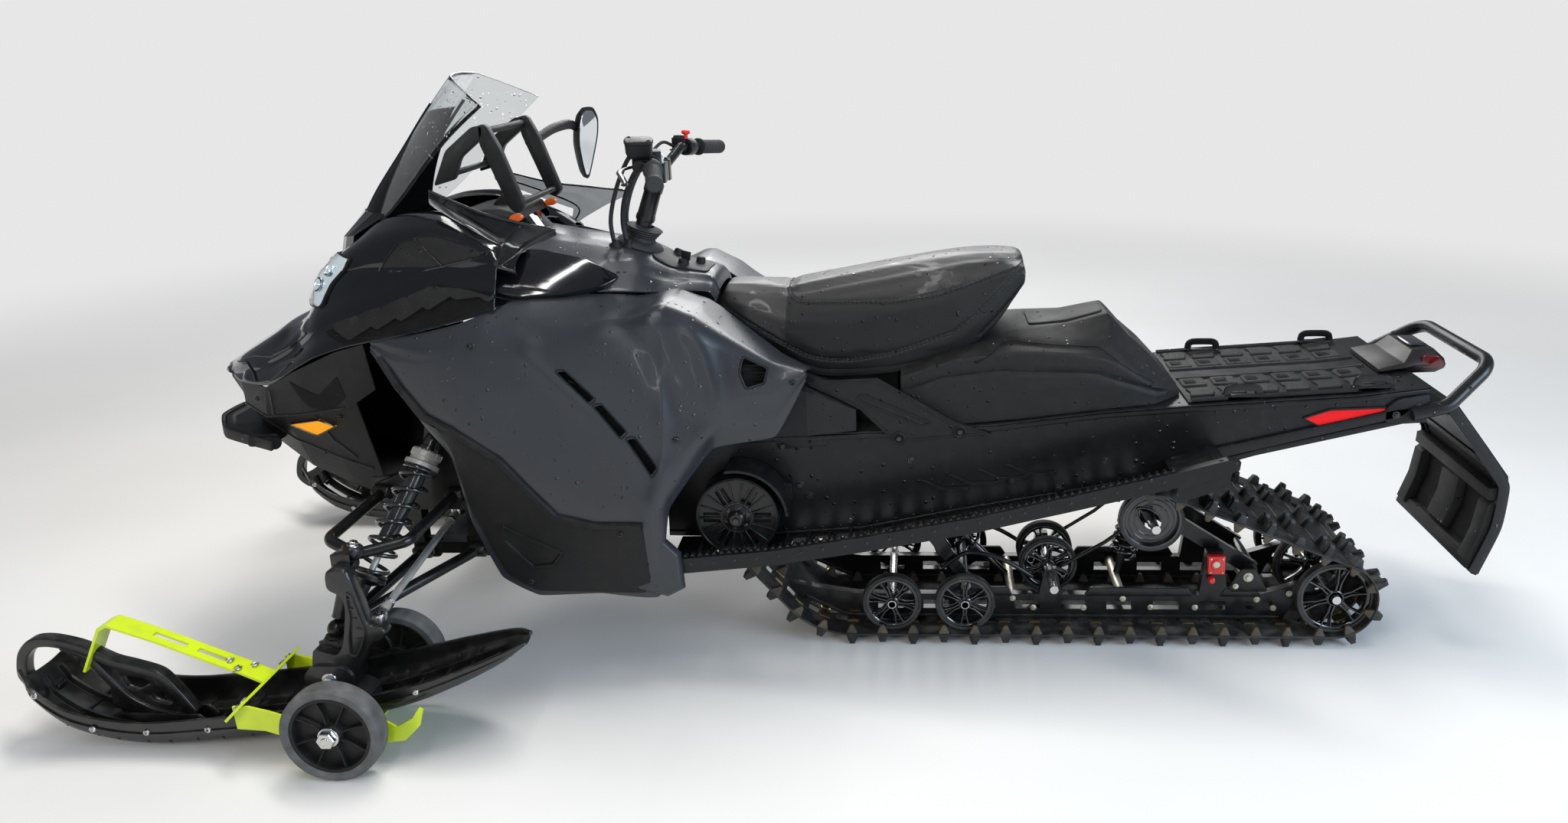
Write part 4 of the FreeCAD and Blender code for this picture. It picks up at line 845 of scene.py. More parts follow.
for name, (shape, colour, slot) in lampShapes.items():
    replaced = ["headlamps"] if name == "headlampCovers" else []
    addPiece(name, bothSides(shape), colour, replaces=replaced, angle=40)
lampParts = []
for share, size in ((0.34, 17.0), (0.66, 14.0)):
    low, high = lampOutline[0], lampOutline[3]
    hit, normal = dropOn(hoodTree, lampPlane,
                         lampMiddle[0] + (low[0] - lampMiddle[0]) * (1 - 2 * share) * 0.8,
                         lampMiddle[1] + (low[1] - lampMiddle[1]) * (1 - 2 * share) * 0.8)
    bowl = turned([(0, 0.6), (size * 0.3, 0.8), (size * 0.62, 1.8), (size * 0.92, 4.2), (size, 4.4),
                   (size, 0.0)], 28)
    bulb = turned([(size * 0.26, 0), (size * 0.26, 2.6), (size * 0.16, 4.0), (0, 4.4)], 20)
    lampParts.append(moveShape([bowl, bulb], facing(hit + normal * 1.5, normal)))
addPiece("headlampBowls", bothSides(lampParts), "reflector", angle=40)
print("hood made")

# console, with its gloss inserts
console = {
    "rows": [
        (-649.7, 270, 880, 170, 950, 978),
        (-560, 230, 880, 160, 936, 962),
        (-460, 200, 869, 150, 920, 946),
        (-382, 185, 866, 130, 905, 924),
        (-322, 168, 862, 110, 878, 894),
        (-232, 124, 850, 80, 866, 874),
        (-214, 112, 824, 70, 836, 842),
    ],
    "wall": 4.0,
    "crease": [(-600, 884), (-520, 890), (-440, 880), (-372, 868), (-300, 858)],
    "insert": [(-712, 906), (-690, 938), (-640, 952), (-596, 952), (-500, 930), (-412, 892), (-440, 878),
               (-520, 868), (-600, 870), (-680, 886)],
}
consoleSections = []
for x, ey, ez, sy, sz, cz in console["rows"]:
    line = [(ey, ez), (sy, sz), (60, cz), (-60, cz), (-sy, sz), (-ey, ez)]
    consoleSections.append(ringAt(x, line))
consoleGrid = skinGrid(consoleSections, along=10, across=9, crown=2.5, corner=18.0, ease=0.7)
pressLine(consoleGrid, console["crease"], 4.0, 9.0, 1)
consoleShape = gridShape(consoleGrid, console["wall"])
addPiece("consoleShell", consoleShape, "satinCharcoal", replaces=["console"], bevel=0.8, angle=60)

# side panels: x, top y, top z, shoulder y, shoulder z, crease y, crease z, low y, low z
sidePanel = {
    "rows": [
        (-935, 283, 784, 288, 776, 290, 768, 290, 760),
        (-815, 302, 806, 330, 775, 345, 640, 340, 613),
        (-757, 308, 820, 345, 785, 366, 625, 352, 544),
        (-722, 312, 830, 352, 792, 376, 600, 360, 395),
        (-667, 300, 850, 354, 800, 386, 560, 362, 268),
        (-587, 244, 878, 352, 806, 394, 500, 364, 225),
        (-450, 202, 866, 350, 822, 400, 425, 367, 232),
        (-320, 170, 860, 345, 856, 402, 445, 367, 226),
        (-285, 150, 856, 335, 856, 398, 560, 374, 437),
        (-193, 140, 816, 320, 812, 352, 640, 330, 554),
        (-60, 156, 716, 318, 736, 326, 650, 318, 577),
        (9, 164, 680, 314, 724, 320, 718, 318, 700),
    ],
    "wall": 4.0,
    "ridge": [(-300, 872), (-240, 846), (-200, 770), (-182, 690), (-180, 622), (-236, 562), (-268, 510),
              (-322, 436)],
    "flute": [(-372, 838), (-320, 790), (-276, 716), (-256, 634), (-282, 566)],
    "slotCrease": [(-575, 770), (-500, 700), (-430, 630), (-378, 550), (-338, 462)],
    "topCrease": [(-900, 780), (-800, 776), (-700, 800), (-600, 812), (-560, 796)],
    "slots": [[(-507, 736), (-490, 739), (-430, 682), (-442, 672)],
              [(-431, 664), (-414, 668), (-365, 612), (-378, 599)],
              [(-364, 594), (-346, 598), (-302, 536), (-315, 518)]],
    "window": [(-121, 754), (-73, 729), (-80, 700), (-116, 691), (-128, 722)],
    "cladding": [(-868, 676), (-812, 622), (-744, 606), (-640, 548), (-522, 420), (-440, 404), (-340, 404),
                 (-336, 250), (-352, 236), (-590, 238), (-652, 274), (-716, 420), (-744, 560), (-800, 640)],
    "rims": [[(-912, 752), (-866, 690), (-806, 634), (-744, 612), (-640, 552), (-524, 424), (-440, 406),
              (-340, 406)], [(-646, 398), (-520, 338), (-546, 306), (-590, 302), (-648, 362), (-646, 398)]],
    "recess": [(-648, 392), (-526, 338), (-548, 312), (-588, 308), (-644, 362)],
}
panelSections = []
for x, ty, tz, sy, sz, cy, cz, ly, lz in sidePanel["rows"]:
    panelSections.append([Vector((x, -y, z)) for y, z in ((ty, tz), (sy, sz), (cy, cz), (ly, lz))])
panelGrid = skinGrid(panelSections, along=11, across=22, crown=3.0, corner=26.0, ease=0.35)
pressLine(panelGrid, sidePanel["ridge"], 9.0, 24.0, -1)
pressLine(panelGrid, sidePanel["flute"], 8.0, 30.0, 1)
pressLine(panelGrid, sidePanel["slotCrease"], 5.0, 12.0, -1)
pressLine(panelGrid, sidePanel["topCrease"], 4.0, 12.0, -1)
panelShape = gridShape(panelGrid, -sidePanel["wall"])
panelTree = treeOf([panelShape])
bodyTree = treeOf([hoodShape, podShape, consoleShape, panelShape])


def cutPanel(piece, outlines, side):
    # openings cut straight through in Y
    for outline in outlines:
        shape = plateShape(outline, side * 250, side * 470, 5)
        cutter = placeMesh("cutter", shape)
        cut = piece.modifiers.new("cut", "BOOLEAN")
        cut.object = cutter
        cut.operation = "DIFFERENCE"
        cut.solver = "EXACT"
        settle(piece, 40)
        bpy.data.objects.remove(cutter)


for side, name, turn in sides:
    panel = addPiece("sidePanel." + name, turn(panelShape), "satinCharcoal",
                     replaces=["side_panel_" + name], angle=40)
    cutPanel(panel, sidePanel["slots"] + [sidePanel["window"]], side)

claddingShape = laidOn(roundCorners(sidePanel["cladding"], 14), panelTree, leftPlane, 2.6, 3.6)
addPiece("lowerCladding", bothSides(claddingShape), "matteBlack", bevel=0.8, angle=40)
rimShapes = [ribOn(sidePanel["rims"][0], panelTree, leftPlane, 17.0, 9.0, step=7.0),
             ribOn(sidePanel["rims"][1], panelTree, leftPlane, 8.0, 7.0, step=6.0)]
rimShapes.append(laidOn(sidePanel["recess"], panelTree, leftPlane, 3.6, 2.0))
for vent in sidePanel["slots"] + [sidePanel["window"]]:
    grown = shrunk(vent, centreOf(vent), 1.12)
    rimShapes.append(ribOn(roundCorners(grown, 6), panelTree, leftPlane, 3.0, 1.8, closed=True, step=5.0))
addPiece("panelRims", bothSides(rimShapes), "matteBlack", angle=50)

# what shows through the slots: slats on a dark mesh
slats = []
for low, high in (((-520, 735), (-425, 680)), ((-440, 665), (-360, 605)), ((-372, 596), (-298, 520))):
    for k in range(4):
        share = (k + 0.5) / 4
        x, z = low[0] + (high[0] - low[0]) * share, low[1] + (high[1] - low[1]) * share
        slats.append(moveShape(blockShape((-15, -8, -1.5), (15, 8, 1.5)),
                               facing((x, -350, z), (0.5, 0.3, 0.8))))
for k in range(3):
    slats.append(blockShape((-124, -312, 700 + 16 * k), (-76, -296, 704 + 16 * k)))
slats.append(laidOn([(-530, 760), (-480, 750), (-290, 530), (-310, 500), (-450, 650)], panelTree, leftPlane,
                    -22, 2.0))
slats.append(laidOn([(-134, 762), (-66, 734), (-72, 692), (-124, 684)], panelTree, leftPlane, -20, 2.0))
addPiece("panelMesh", bothSides(slats), "meshBlack")


def insertPlace(x, z, out):
    # the insert lies on one slanted plane beside the console
    slope = Vector((0.368, -1.0, 1.43)).normalized()
    return Vector((x, -(270 - 0.368 * (x + 650) - 1.43 * (z - 880)), z)) + slope * out


insertRings = []
for share, out in ((1.0, -8.0), (1.0, 6.0), (0.985, 8.5), (0.955, 9.5)):
    outline = shrunk(roundCorners(console["insert"], 12), (-560, 912), share)
    insertRings.append([insertPlace(x, z, out) for x, z in outline])
addPiece("glossInserts", bothSides(loftShape(insertRings)), "glossBlack", angle=40)
panelSeam = [(-1030, 790), (-930, 790), (-800, 812), (-690, 848), (-600, 878), (-520, 870)]
addPiece("panelSeams", bothSides(ribOn(panelSeam, bodyTree, leftPlane, 3.0, 1.6)), "matteBlack", angle=50)

# the flared rear fin at the panel's foot
fin = {"outline": [(-330, 436), (-300, 442), (-306, 366), (-268, 330), (-262, 246), (-300, 224),
                   (-372, 236), (-384, 300)], "flare": 26.0}


def finShape():
    rings = []
    for depth, share in ((0.0, 1.0), (0.55, 0.97), (1.0, 0.86)):
        ring = []
        for x, z in shrunk(fin["outline"], (-322, 330), share):
            flare = max(0.0, (x + 384) / 120) * fin["flare"]
            ring.append(Vector((x, -352 - flare * 0.4 - 22 * depth, z)))
        rings.append(ring)
    return loftShape(rings)


addPiece("panelFins", bothSides(finShape()), "satinCharcoal", bevel=2.5, angle=30)
panelBolts = screwsOn([(-388, 388), (-600, 262), (-690, 790), (-20, 700), (-262, 592)], panelTree, 2.5, 13)
panelBolts += screwsOn([(-900, 917), (-682, 969)], podTree, 2.5, 9)
addPiece("panelScrews", bothSides(panelBolts), "frameBlack")
print("panels made")


# nose and belly: seams, a scoop rim and a flat dark patch of painted shade where a recess is, drawn on the
# frame's own nodes
def nodeTree(*names):
    return treeOf([meshShape(nodes[name]) for name in names])


noseTree = nodeTree("nose_panel", "belly_pan")
nose = {
    "scoop": [[(-1372, 676), (-1330, 684), (-1298, 664), (-1284, 650), (-1230, 664), (-1160, 716)],
              [(-1352, 690), (-1302, 704), (-1240, 712), (-1180, 740), (-1120, 780)]],
    "recess": [(-1174, 672), (-1100, 642), (-1040, 694), (-1030, 640), (-1076, 606), (-1130, 612)],
    "seams": [[(-1352, 584), (-1250, 580), (-1150, 594), (-1040, 616)],
              [(-1300, 566), (-1200, 512), (-1110, 470), (-1030, 440)], [(-1240, 640), (-1230, 584)],
              [(-1120, 590), (-1100, 520), (-1060, 470)]],
    "screws": [(-1290, 610), (-1180, 560), (-1060, 590), (-1240, 530), (-1140, 480)],
}
addPiece("noseScoopRims", bothSides([ribOn(line, hoodTree, leftPlane, 5.0, 3.6, step=6.0)
                                     for line in nose["scoop"]]), "glossBlack", angle=50)
# painted shade: the recess is a flat patch in a darker black, not sunk into the skin
addPiece("noseRecessShade", bothSides(laidOn(roundCorners(nose["recess"], 8), noseTree, leftPlane, 1.0, 2.0)),
         "meshBlack", angle=40)
addPiece("noseSeams", bothSides([ribOn(line, noseTree, leftPlane, 4.0, 2.4, step=6.0)
                                 for line in nose["seams"]]), "tubeSatin", angle=50)
addPiece("noseScrews", bothSides(screwsOn(nose["screws"], noseTree, 0.6, 11)), "frameBlack")
badge = [(-1197, 563), (-1137, 533), (-1078, 564), (-1114, 580)]
addPiece("badgeRims",
         bothSides(ribOn(roundCorners(badge, 5), nodeTree("front_reflectors", "nose_panel", "belly_pan"),
                         leftPlane, 3.0, 2.0, closed=True, step=5.0)), "glossBlack", angle=50)
# bumper lip: rubber strip and its brackets
lip = [Vector((x, y, 521)) for x, y in ((-1225, -226), (-1382, -142), (-1450, -44), (-1450, 44),
                                        (-1382, 142), (-1225, 226))]
lipLine = smoothLine(lip, 8, ease=0.5)
addPiece("bumperStrip", sweptShape(lipLine, [(-5, -13), (-5, 13), (3, 10), (3, -10)], (0, 0, 1)),
         "grainBlack", bevel=1.5)
tabs = [plateShape([(-1300, 508), (-1230, 508), (-1226, 540), (-1296, 536)], side * 196, side * 202, 8)
        for side in (-1, 1)]
addPiece("bumperTabs", tabs, "matteBlack", bevel=1.5)
foot = loftShape([[Vector((x, y, z)) for x, y, z in ((-1110, -98, 902), (-1040, -128, 896),
                                                     (-1040, 128, 896), (-1110, 98, 902))],
                  [Vector((x, y, z)) for x, y, z in ((-1100, -88, 938), (-1030, -118, 950),
                                                     (-1030, 118, 950), (-1100, 88, 938))]])
addPiece("screenFoot", foot, "glossBlack", bevel=5.0)
print("nose made")

# windshield: centre x, centre z, edge x, edge y, edge z
screen = {
    "rows": [
        (-1078, 944, -1032, 110, 958),
        (-1010, 1062, -905, 165, 1055),
        (-920, 1180, -800, 190, 1165),
        (-860, 1262, -738, 193, 1226),
        (-797, 1342, -682, 186, 1275),
    ],
    "wall": 3.5,
    "flat": 0.42,
}


def screenGrid(rows, across, along):
    smooth = [smoothLine([Vector((row[k], row[k + 1], 0)) for row in rows], along) for k in (0, 2)]
    heights = smoothLine([Vector((row[4], 0, 0)) for row in rows], along)
    grid = []
    for centre, edge, high in zip(smooth[0], smooth[1], heights):
        cx, cz, ex, ey, ez = centre.x, centre.y, edge.x, edge.y, high.x
        line = []
        for k in range(across + 1):
            s = 2 * k / across - 1
            bend = s * s
            fold = max(0.0, abs(s) - screen["flat"]) / (1 - screen["flat"])
            fold = 0.45 * bend + 0.55 * fold ** 1.15
            line.append(Vector((cx + (ex - cx) * fold, ey * s, cz + (ez - cz) * fold)))
        grid.append(line)
    return grid


glassGrid = screenGrid(screen["rows"], 30, 9)
addPiece("windshieldGlass", gridShape(glassGrid, screen["wall"]), "screen", replaces=["windshield"],
         bevel=0.9, angle=60)
spineShapes = []
for side in (-1, 1):
    line = [row[round(len(row) * (0.5 + side * 0.21))] for row in glassGrid[:30]]
    spineShapes.append(sweptShape(line, [(-5, -1), (-2, 2.2), (2, 2.2), (5, -1)], (-0.6, side * 0.5, 0.6)))
addPiece("windshieldFolds", spineShapes, "glossBlack", angle=50)
footLine = [p + Vector((0, 0, 2)) for p in glassGrid[1]]
addPiece("windshieldFoot", sweptShape(footLine, [(-9, -5), (-8, 5), (8, 5), (9, -5)], (-0.5, 0, 0.85)),
         "matteBlack", bevel=1.2, angle=40)

# side deflectors: a smoked chevron on each side. Outline corners with their own distance from the middle
deflector = {
    "outer": [(-812, -192, 1096), (-770, -206, 1080), (-690, -236, 1056), (-596, -270, 1038),
              (-520, -290, 1030), (-506, -292, 1014), (-560, -284, 990), (-618, -276, 958),
              (-660, -268, 930), (-648, -262, 958), (-640, -254, 984), (-672, -244, 998),
              (-740, -222, 1030), (-812, -196, 1066)],
    "wall": 3.2,
    "bar": [(-812, -192, 1096), (-690, -236, 1056), (-596, -270, 1038), (-508, -292, 1024)],
    "fold": [(-806, -194, 1078), (-700, -236, 1030), (-628, -260, 986), (-654, -266, 936)],
}


def deflectorShape():
    outline = smoothLine(deflector["outer"], 4, closed=True, ease=0.35)
    return loftShape([outline, [p + Vector((0, deflector["wall"], 0)) for p in outline]])


addPiece("deflectorPlates", bothSides(deflectorShape()), "smoke", replaces=["wind_deflectors"], bevel=0.8,
         angle=50)
edgeShapes = [tubeShape(smoothLine(deflector[k], 6), 2.6 if k == "bar" else 2.2, 8)
              for k in ("bar", "fold")]
edgeShapes += [boltShape((x, y - 3, z), (0, -1, 0.1), 9)
               for x, y, z in ((-780, -202, 1078), (-650, -262, 950))]
addPiece("deflectorRims", bothSides(edgeShapes), "smokeEdge", angle=50)

# inner frame: flat tapered legs on each side with bars between them
innerFrame = {
    "legs": [[(-712, 1232), (-694, 1232), (-668, 1180), (-624, 1052), (-640, 1034), (-656, 1044),
              (-712, 1190)],
             [(-824, 1098), (-790, 1176), (-726, 1228), (-700, 1230), (-704, 1204), (-758, 1160),
              (-776, 1112)]],
    "inner": -120.0,
    "outer": -142.0,
    "bars": [((-704, 1216), 8.0), ((-640, 1056), 7.0), ((-800, 1120), 7.0)],
}
frameShapes = [plateShape(leg, innerFrame["outer"], innerFrame["inner"], 9) for leg in innerFrame["legs"]]
frameShapes = [bothSides(frameShapes)]
for (x, z), radius in innerFrame["bars"]:
    frameShapes.append(tubeShape([Vector((x, y, z)) for y in (-130, -60, 0, 60, 130)], radius, 12))
addPiece("screenFrame", frameShapes, "matteBlack", replaces=["windshield_frame"], bevel=2.5)

# dash: a hooded gauge and its screen
dashSections = []
for x, half, low, high in ((-905, 108, 950, 956), (-868, 128, 948, 1004), (-800, 134, 946, 1030),
                           (-706, 134, 944, 1044), (-668, 128, 944, 1034), (-655, 118, 944, 1014)):
    dashSections.append(ringAt(x, ((-half, low), (-half * 0.97, high - 12), (-half * 0.8, high),
                                   (half * 0.8, high), (half * 0.97, high - 12), (half, low))))
addPiece("dashHood", gridShape(skinGrid(dashSections, along=5, across=4, crown=1.5, corner=10, ease=0.5),
                               3.0), "matteBlack", replaces=["dash"], bevel=0.8, angle=50)
gaugePlace = facing((-660, 0, 1008), (0.72, 0, 0.69))


def slabShape(outline, low, high, place):
    # a flat outline in local X and Y with a thickness in local Z
    return moveShape(loftShape([[(u, v, z) for u, v in outline] for z in (low, high)]), place)


gaugeOutline = roundCorners([(-44, -78), (44, -78), (52, 0), (44, 78), (-44, 78), (-52, 0)], 14)
addPiece("gaugeBody", slabShape(gaugeOutline, -30, 6, gaugePlace), "matteBlack", bevel=3)
addPiece("gaugeGlass", slabShape(shrunk(gaugeOutline, (0, 0), 0.86), 2, 7.2, gaugePlace), "display",
         bevel=0.8)
markShapes = []
for k in range(11):
    angle = math.radians(210 - 24 * k)
    mark = blockShape((-0.7, 13.0, 7.0), (0.7, 19.0, 7.7))
    for centre in (-34, 34):
        place = gaugePlace @ Matrix.Translation((0, centre, 0)) @ Matrix.Rotation(angle, 4, "Z")
        markShapes.append(moveShape(mark, place))
addPiece("gaugeMarks", markShapes, "paleMark")
tabOutline = roundCorners([(-668, 1020), (-662, 1030), (-646, 1033), (-636, 1025), (-642, 1016),
                           (-662, 1014)], 4)
addPiece("ventTabs", bothSides(plateShape(tabOutline, -128, -112)), "orange", bevel=1.5)

# mirror: a leaf-shaped housing whose glass looks to the rear
mirror = {
    "place": (-644, 434, 1136),
    "aim": (0.90, -0.42, -0.06),
    "leaf": [(-8, 96), (22, 92), (40, 62), (38, 20), (22, -32), (0, -90), (-14, -94), (-26, -62), (-38, -6),
             (-36, 48), (-24, 84)],
    "depth": 34.0,
}


def mirrorShapes():
    aim = Vector(mirror["aim"]).normalized()
    side = Vector((0, 0, 1)).cross(aim).normalized()
    place = Matrix((side, aim.cross(side), aim)).transposed().to_4x4()
    place.translation = Vector(mirror["place"])
    leafLine = smoothLine([(u, v, 0) for u, v in mirror["leaf"]], 5, closed=True, ease=0.7)
    leaf = [(p.x, p.y) for p in leafLine]
    rings = []
    for depth, share in ((-1.0, 0.30), (-0.86, 0.62), (-0.55, 0.86), (-0.2, 0.98), (0.12, 1.0),
                         (0.16, 0.96), (0.10, 0.92)):
        rings.append([place @ Vector((u * share, v * share, depth * mirror["depth"])) for u, v in leaf])
    glass = slabShape([(u * 0.90, v * 0.90) for u, v in leaf], 1.0, 4.2, place)
    return loftShape(rings), glass


housing, glass = mirrorShapes()
addPiece("mirrorHousing", housing, "matteBlack", replaces=["mirror_right"], angle=40)
addPiece("mirrorGlass", glass, "mirrorGlass", bevel=0.8)
armLine = smoothLine([(-692, 141, 1170), (-690, 200, 1176), (-684, 290, 1188), (-672, 380, 1190),
                      (-664, 426, 1172)], 8)
armShape = sweptShape(armLine, [(13 * math.cos(a * math.pi / 6), 8 * math.sin(a * math.pi / 6))
                                for a in range(12)], (1, 0, 0.1))
addPiece("mirrorArm", [armShape, moveShape(turned([(0, -14), (15, -14), (17, 0), (15, 12), (0, 14)], 24),
                                           facing((-692, 143, 1170), (0, 1, 0)))], "matteBlack", angle=45)

# handlebar controls, on the steering body
barGrip = Vector((-275, -368, 1128))
barKnee = Vector((-330, -150, 1150))
barAxis = (barGrip - barKnee).normalized()


def onBar(distance):
    return barKnee + barAxis * distance


def barRing(distance, radius, width):
    half = width / 2
    profile = [(11.5, -half), (radius, -half), (radius + 1, -half + 1.5), (radius + 1, half - 1.5),
               (radius, half), (11.5, half)]
    return moveShape(ringOf(profile, 28), facing(onBar(distance), barAxis))


gripProfile = [(11.4, 0), (20.5, 0), (21.5, 2), (21.5, 5), (17.2, 7)]
for k in range(13):
    z = 10 + 8.4 * k
    gripProfile += [(16.2, z), (17.6, z + 1.6), (17.6, z + 5.2), (16.2, z + 6.8)]
gripProfile += [(17.8, 122), (17.8, 130), (15, 134), (0.0005, 134.5)]
gripShape = moveShape(turned(gripProfile, 32), facing(barGrip - barAxis * 130, barAxis))
addPiece("gripSleeves", bothSides(gripShape), "gripRubber", body="steering", replaces=["grips"], angle=30)

# left: brake cylinder with its square cup and lever. Right: throttle block with a red stop button
podFrame = Matrix((barAxis.cross(Vector((0, 0, 1))).normalized() * -1, barAxis,
                   Vector((0, 0, 1)))).transposed().to_4x4()


def atBar(distance, u=0.0, w=0.0):
    place = podFrame.copy()
    place.translation = onBar(distance) + podFrame.to_3x3() @ Vector((u, 0, w))
    return place


def cupShape():
    rings = []
    outline = roundCorners([(-26, -32), (26, -32), (30, 0), (26, 32), (-26, 32), (-30, 0)], 8)
    for high, share in ((-14, 0.82), (-6, 0.96), (14, 1.0), (15, 1.05), (21, 1.05), (23, 0.98)):
        rings.append([Vector((u * share, v * share, high)) for u, v in outline])
    shapes = [loftShape(rings)]
    for u, v in ((-20, -24), (20, 24)):
        shapes.append(moveShape(turned([(0, 22), (4, 22), (4, 24.6), (2, 24.6), (1.6, 23), (0, 23)], 16),
                                Matrix.Translation((u, v, 0))))
    return joinShapes(shapes)


def leverLine(start):
    bends = [(0, 0, 0), (-26, -8, -4), (-34, -44, -8), (-16, -92, -14), (2, -138, -20), (4, -156, -20)]
    return smoothLine([start + Vector(bend) for bend in bends], 6)


leverSection = [(6.5 * math.cos(a * math.pi / 5), 3.2 * math.sin(a * math.pi / 5)) for a in range(10)]
brake = [moveShape(cupShape(), atBar(46, -26, 34)),
         moveShape(turned([(0, -40), (11, -40), (12, -30), (12, 26), (9, 34), (0, 34)], 24),
                   atBar(46, -26, 6) @ Matrix.Rotation(math.radians(90), 4, "X")), barRing(34, 19, 24),
         barRing(66, 17, 14), moveShape(blockShape((-34, -14, -10), (4, 14, 12)), atBar(46, -8, 4))]
brakeLever = [sweptShape(leverLine(onBar(58) + Vector((-26, 0, 2))), leverSection, (0, 0, 1))]
throttle = [barRing(40, 20, 34), moveShape(blockShape((-30, -24, -16), (6, 22, 20)), atBar(44, -4, 2)),
            moveShape(turned([(0, -12), (14, -12), (16, -6), (16, 14), (13, 20), (0, 21)], 24),
                      atBar(40, -22, 8))]
throttleLever = [sweptShape(leverLine(onBar(60) + Vector((-22, 0, -4)))[:20], leverSection, (0, 0, 1))]
stopButton = [moveShape(turned([(0, 0), (5, 0), (5, 10), (10, 12), (11, 16), (9, 20), (0, 21.5)], 24),
                        atBar(24, 4, 20))]
addPiece("brakeCup", brake, "matteBlack", body="steering", replaces=["control_pods"], bevel=1.4)
addPiece("throttleBlock", mirrorShape(throttle), "matteBlack", body="steering", bevel=1.6)
addPiece("leverBrake", brakeLever, "frameBlack", body="steering", angle=45)
addPiece("leverThrottle", mirrorShape(throttleLever), "frameBlack", body="steering", angle=45)
addPiece("stopButton", mirrorShape(stopButton), "red", body="steering")
switchBox = [moveShape(blockShape((-20, -16, -18), (16, 18, 22)), atBar(14, 4, 4)), barRing(14, 18, 38)]
addPiece("switchBlock", switchBox, "matteBlack", body="steering", bevel=3)
buttons = []
for w, size in ((14, 4.5), (14, 4.5), (2, 5.5)):
    buttons.append(moveShape(turned([(0, 0), (size, 0), (size, 3), (size - 1, 4.2), (0, 4.4)], 20),
                             atBar(14, 20, w) @ Matrix.Rotation(math.radians(90), 4, "Y")))
addPiece("switchButtons", buttons, "paleMark", body="steering")

# riser clamp with its four bolts, and a ribbed boot where the post leaves the console
lean = Vector((43, 0, 127)).normalized()
clampTop = Vector((-352, 0, 1112))
clampShapes = []
for y in (-24, 24):
    clampShapes.append(moveShape(blockShape((-22, -10, -26), (22, 10, 22)),
                                 Matrix.Translation(clampTop + Vector((0, y, 0)))))
    for dx in (-14, 14):
        clampShapes.append(boltShape(clampTop + Vector((dx, y, 22)), (0, 0, 1), 10))
addPiece("riserClamp", clampShapes, "frameBlack", body="steering", bevel=1.5)
postSleeve = [(0.001, -8), (22, -8), (23, 0), (21, 8), (20.2, 60), (22.4, 64), (22.4, 82), (20, 86),
              (0.001, 86)]
addPiece("postSleeve", moveShape(turned(postSleeve, 32), facing(Vector((-389, 0, 1003)), lean)),
         "frameBlack", body="steering")
boot = [(21, 30)]
for k in range(5):
    boot += [(30 + 3.2 * (4 - k), 24 - 6 * k), (26 + 3.2 * (4 - k), 21 - 6 * k)]
boot += [(52, -12), (56, -18)]
bootPlace = facing(Vector((-400, 0, 955)), lean)
addPiece("postBoot", moveShape(ringOf(boot + [(40, -20), (19.8, 26)], 36), bootPlace), "gripRubber",
         angle=50)

# control cables, from the bar's controls down to the console
cables = {
    "brakeHose": ([(-352, -182, 1150), (-378, -150, 1160), (-424, -100, 1090), (-452, -72, 1010),
                   (-450, -62, 946)], 5.0),
    "switchLoom": ([(-330, -150, 1136), (-372, -112, 1128), (-414, -72, 1064), (-430, -50, 1000),
                    (-424, -44, 944)], 6.0),
    "throttleCable": ([(-352, 178, 1150), (-380, 140, 1158), (-428, 90, 1084), (-450, 66, 1006),
                       (-446, 58, 944)], 4.0),
}
for name, (line, radius) in cables.items():
    cable = addPiece(name, tubeShape(smoothLine(line, 9), radius, 12), "gripRubber", body=None, angle=60)
    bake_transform(cable)

# the console's top: key switch, tether post, heat switches and a gland where the cables go in
topParts = []
for x, y, size in ((-300, -34, 13), (-268, 10, 11), (-330, 44, 11)):
    hit, normal = dropOn(bodyTree, topView, x, y)
    topParts.append(moveShape(turned([(0, -2), (size * 1.3, -2), (size * 1.35, 2), (size, 4),
                                      (size * 0.94, 13), (size * 0.7, 16), (0, 16.5)], 24),
                              facing(hit, normal)))
for x, y in ((-448, -62), (-424, -46), (-446, 58)):
    hit, normal = dropOn(bodyTree, topView, x, y)
    topParts.append(moveShape(turned([(0, -3), (15, -3), (15, 2), (9, 8), (7, 18), (0, 18)], 24),
                              facing(hit, normal)))
keyHit, keyNormal = dropOn(bodyTree, topView, -296, -34)
topParts.append(moveShape(blockShape((-2, -11, 14), (2, 11, 34)), facing(keyHit, keyNormal)))
coverOutline = roundCorners([(-330, -66), (-240, -56), (-236, 40), (-300, 68), (-352, 66), (-372, 10),
                             (-366, -60)], 14)
topParts.append(laidOn(coverOutline, bodyTree, topView, 3.0, 4.0, 16))
addPiece("consoleControls", topParts, "matteBlack", bevel=0.8)
print("controls made")

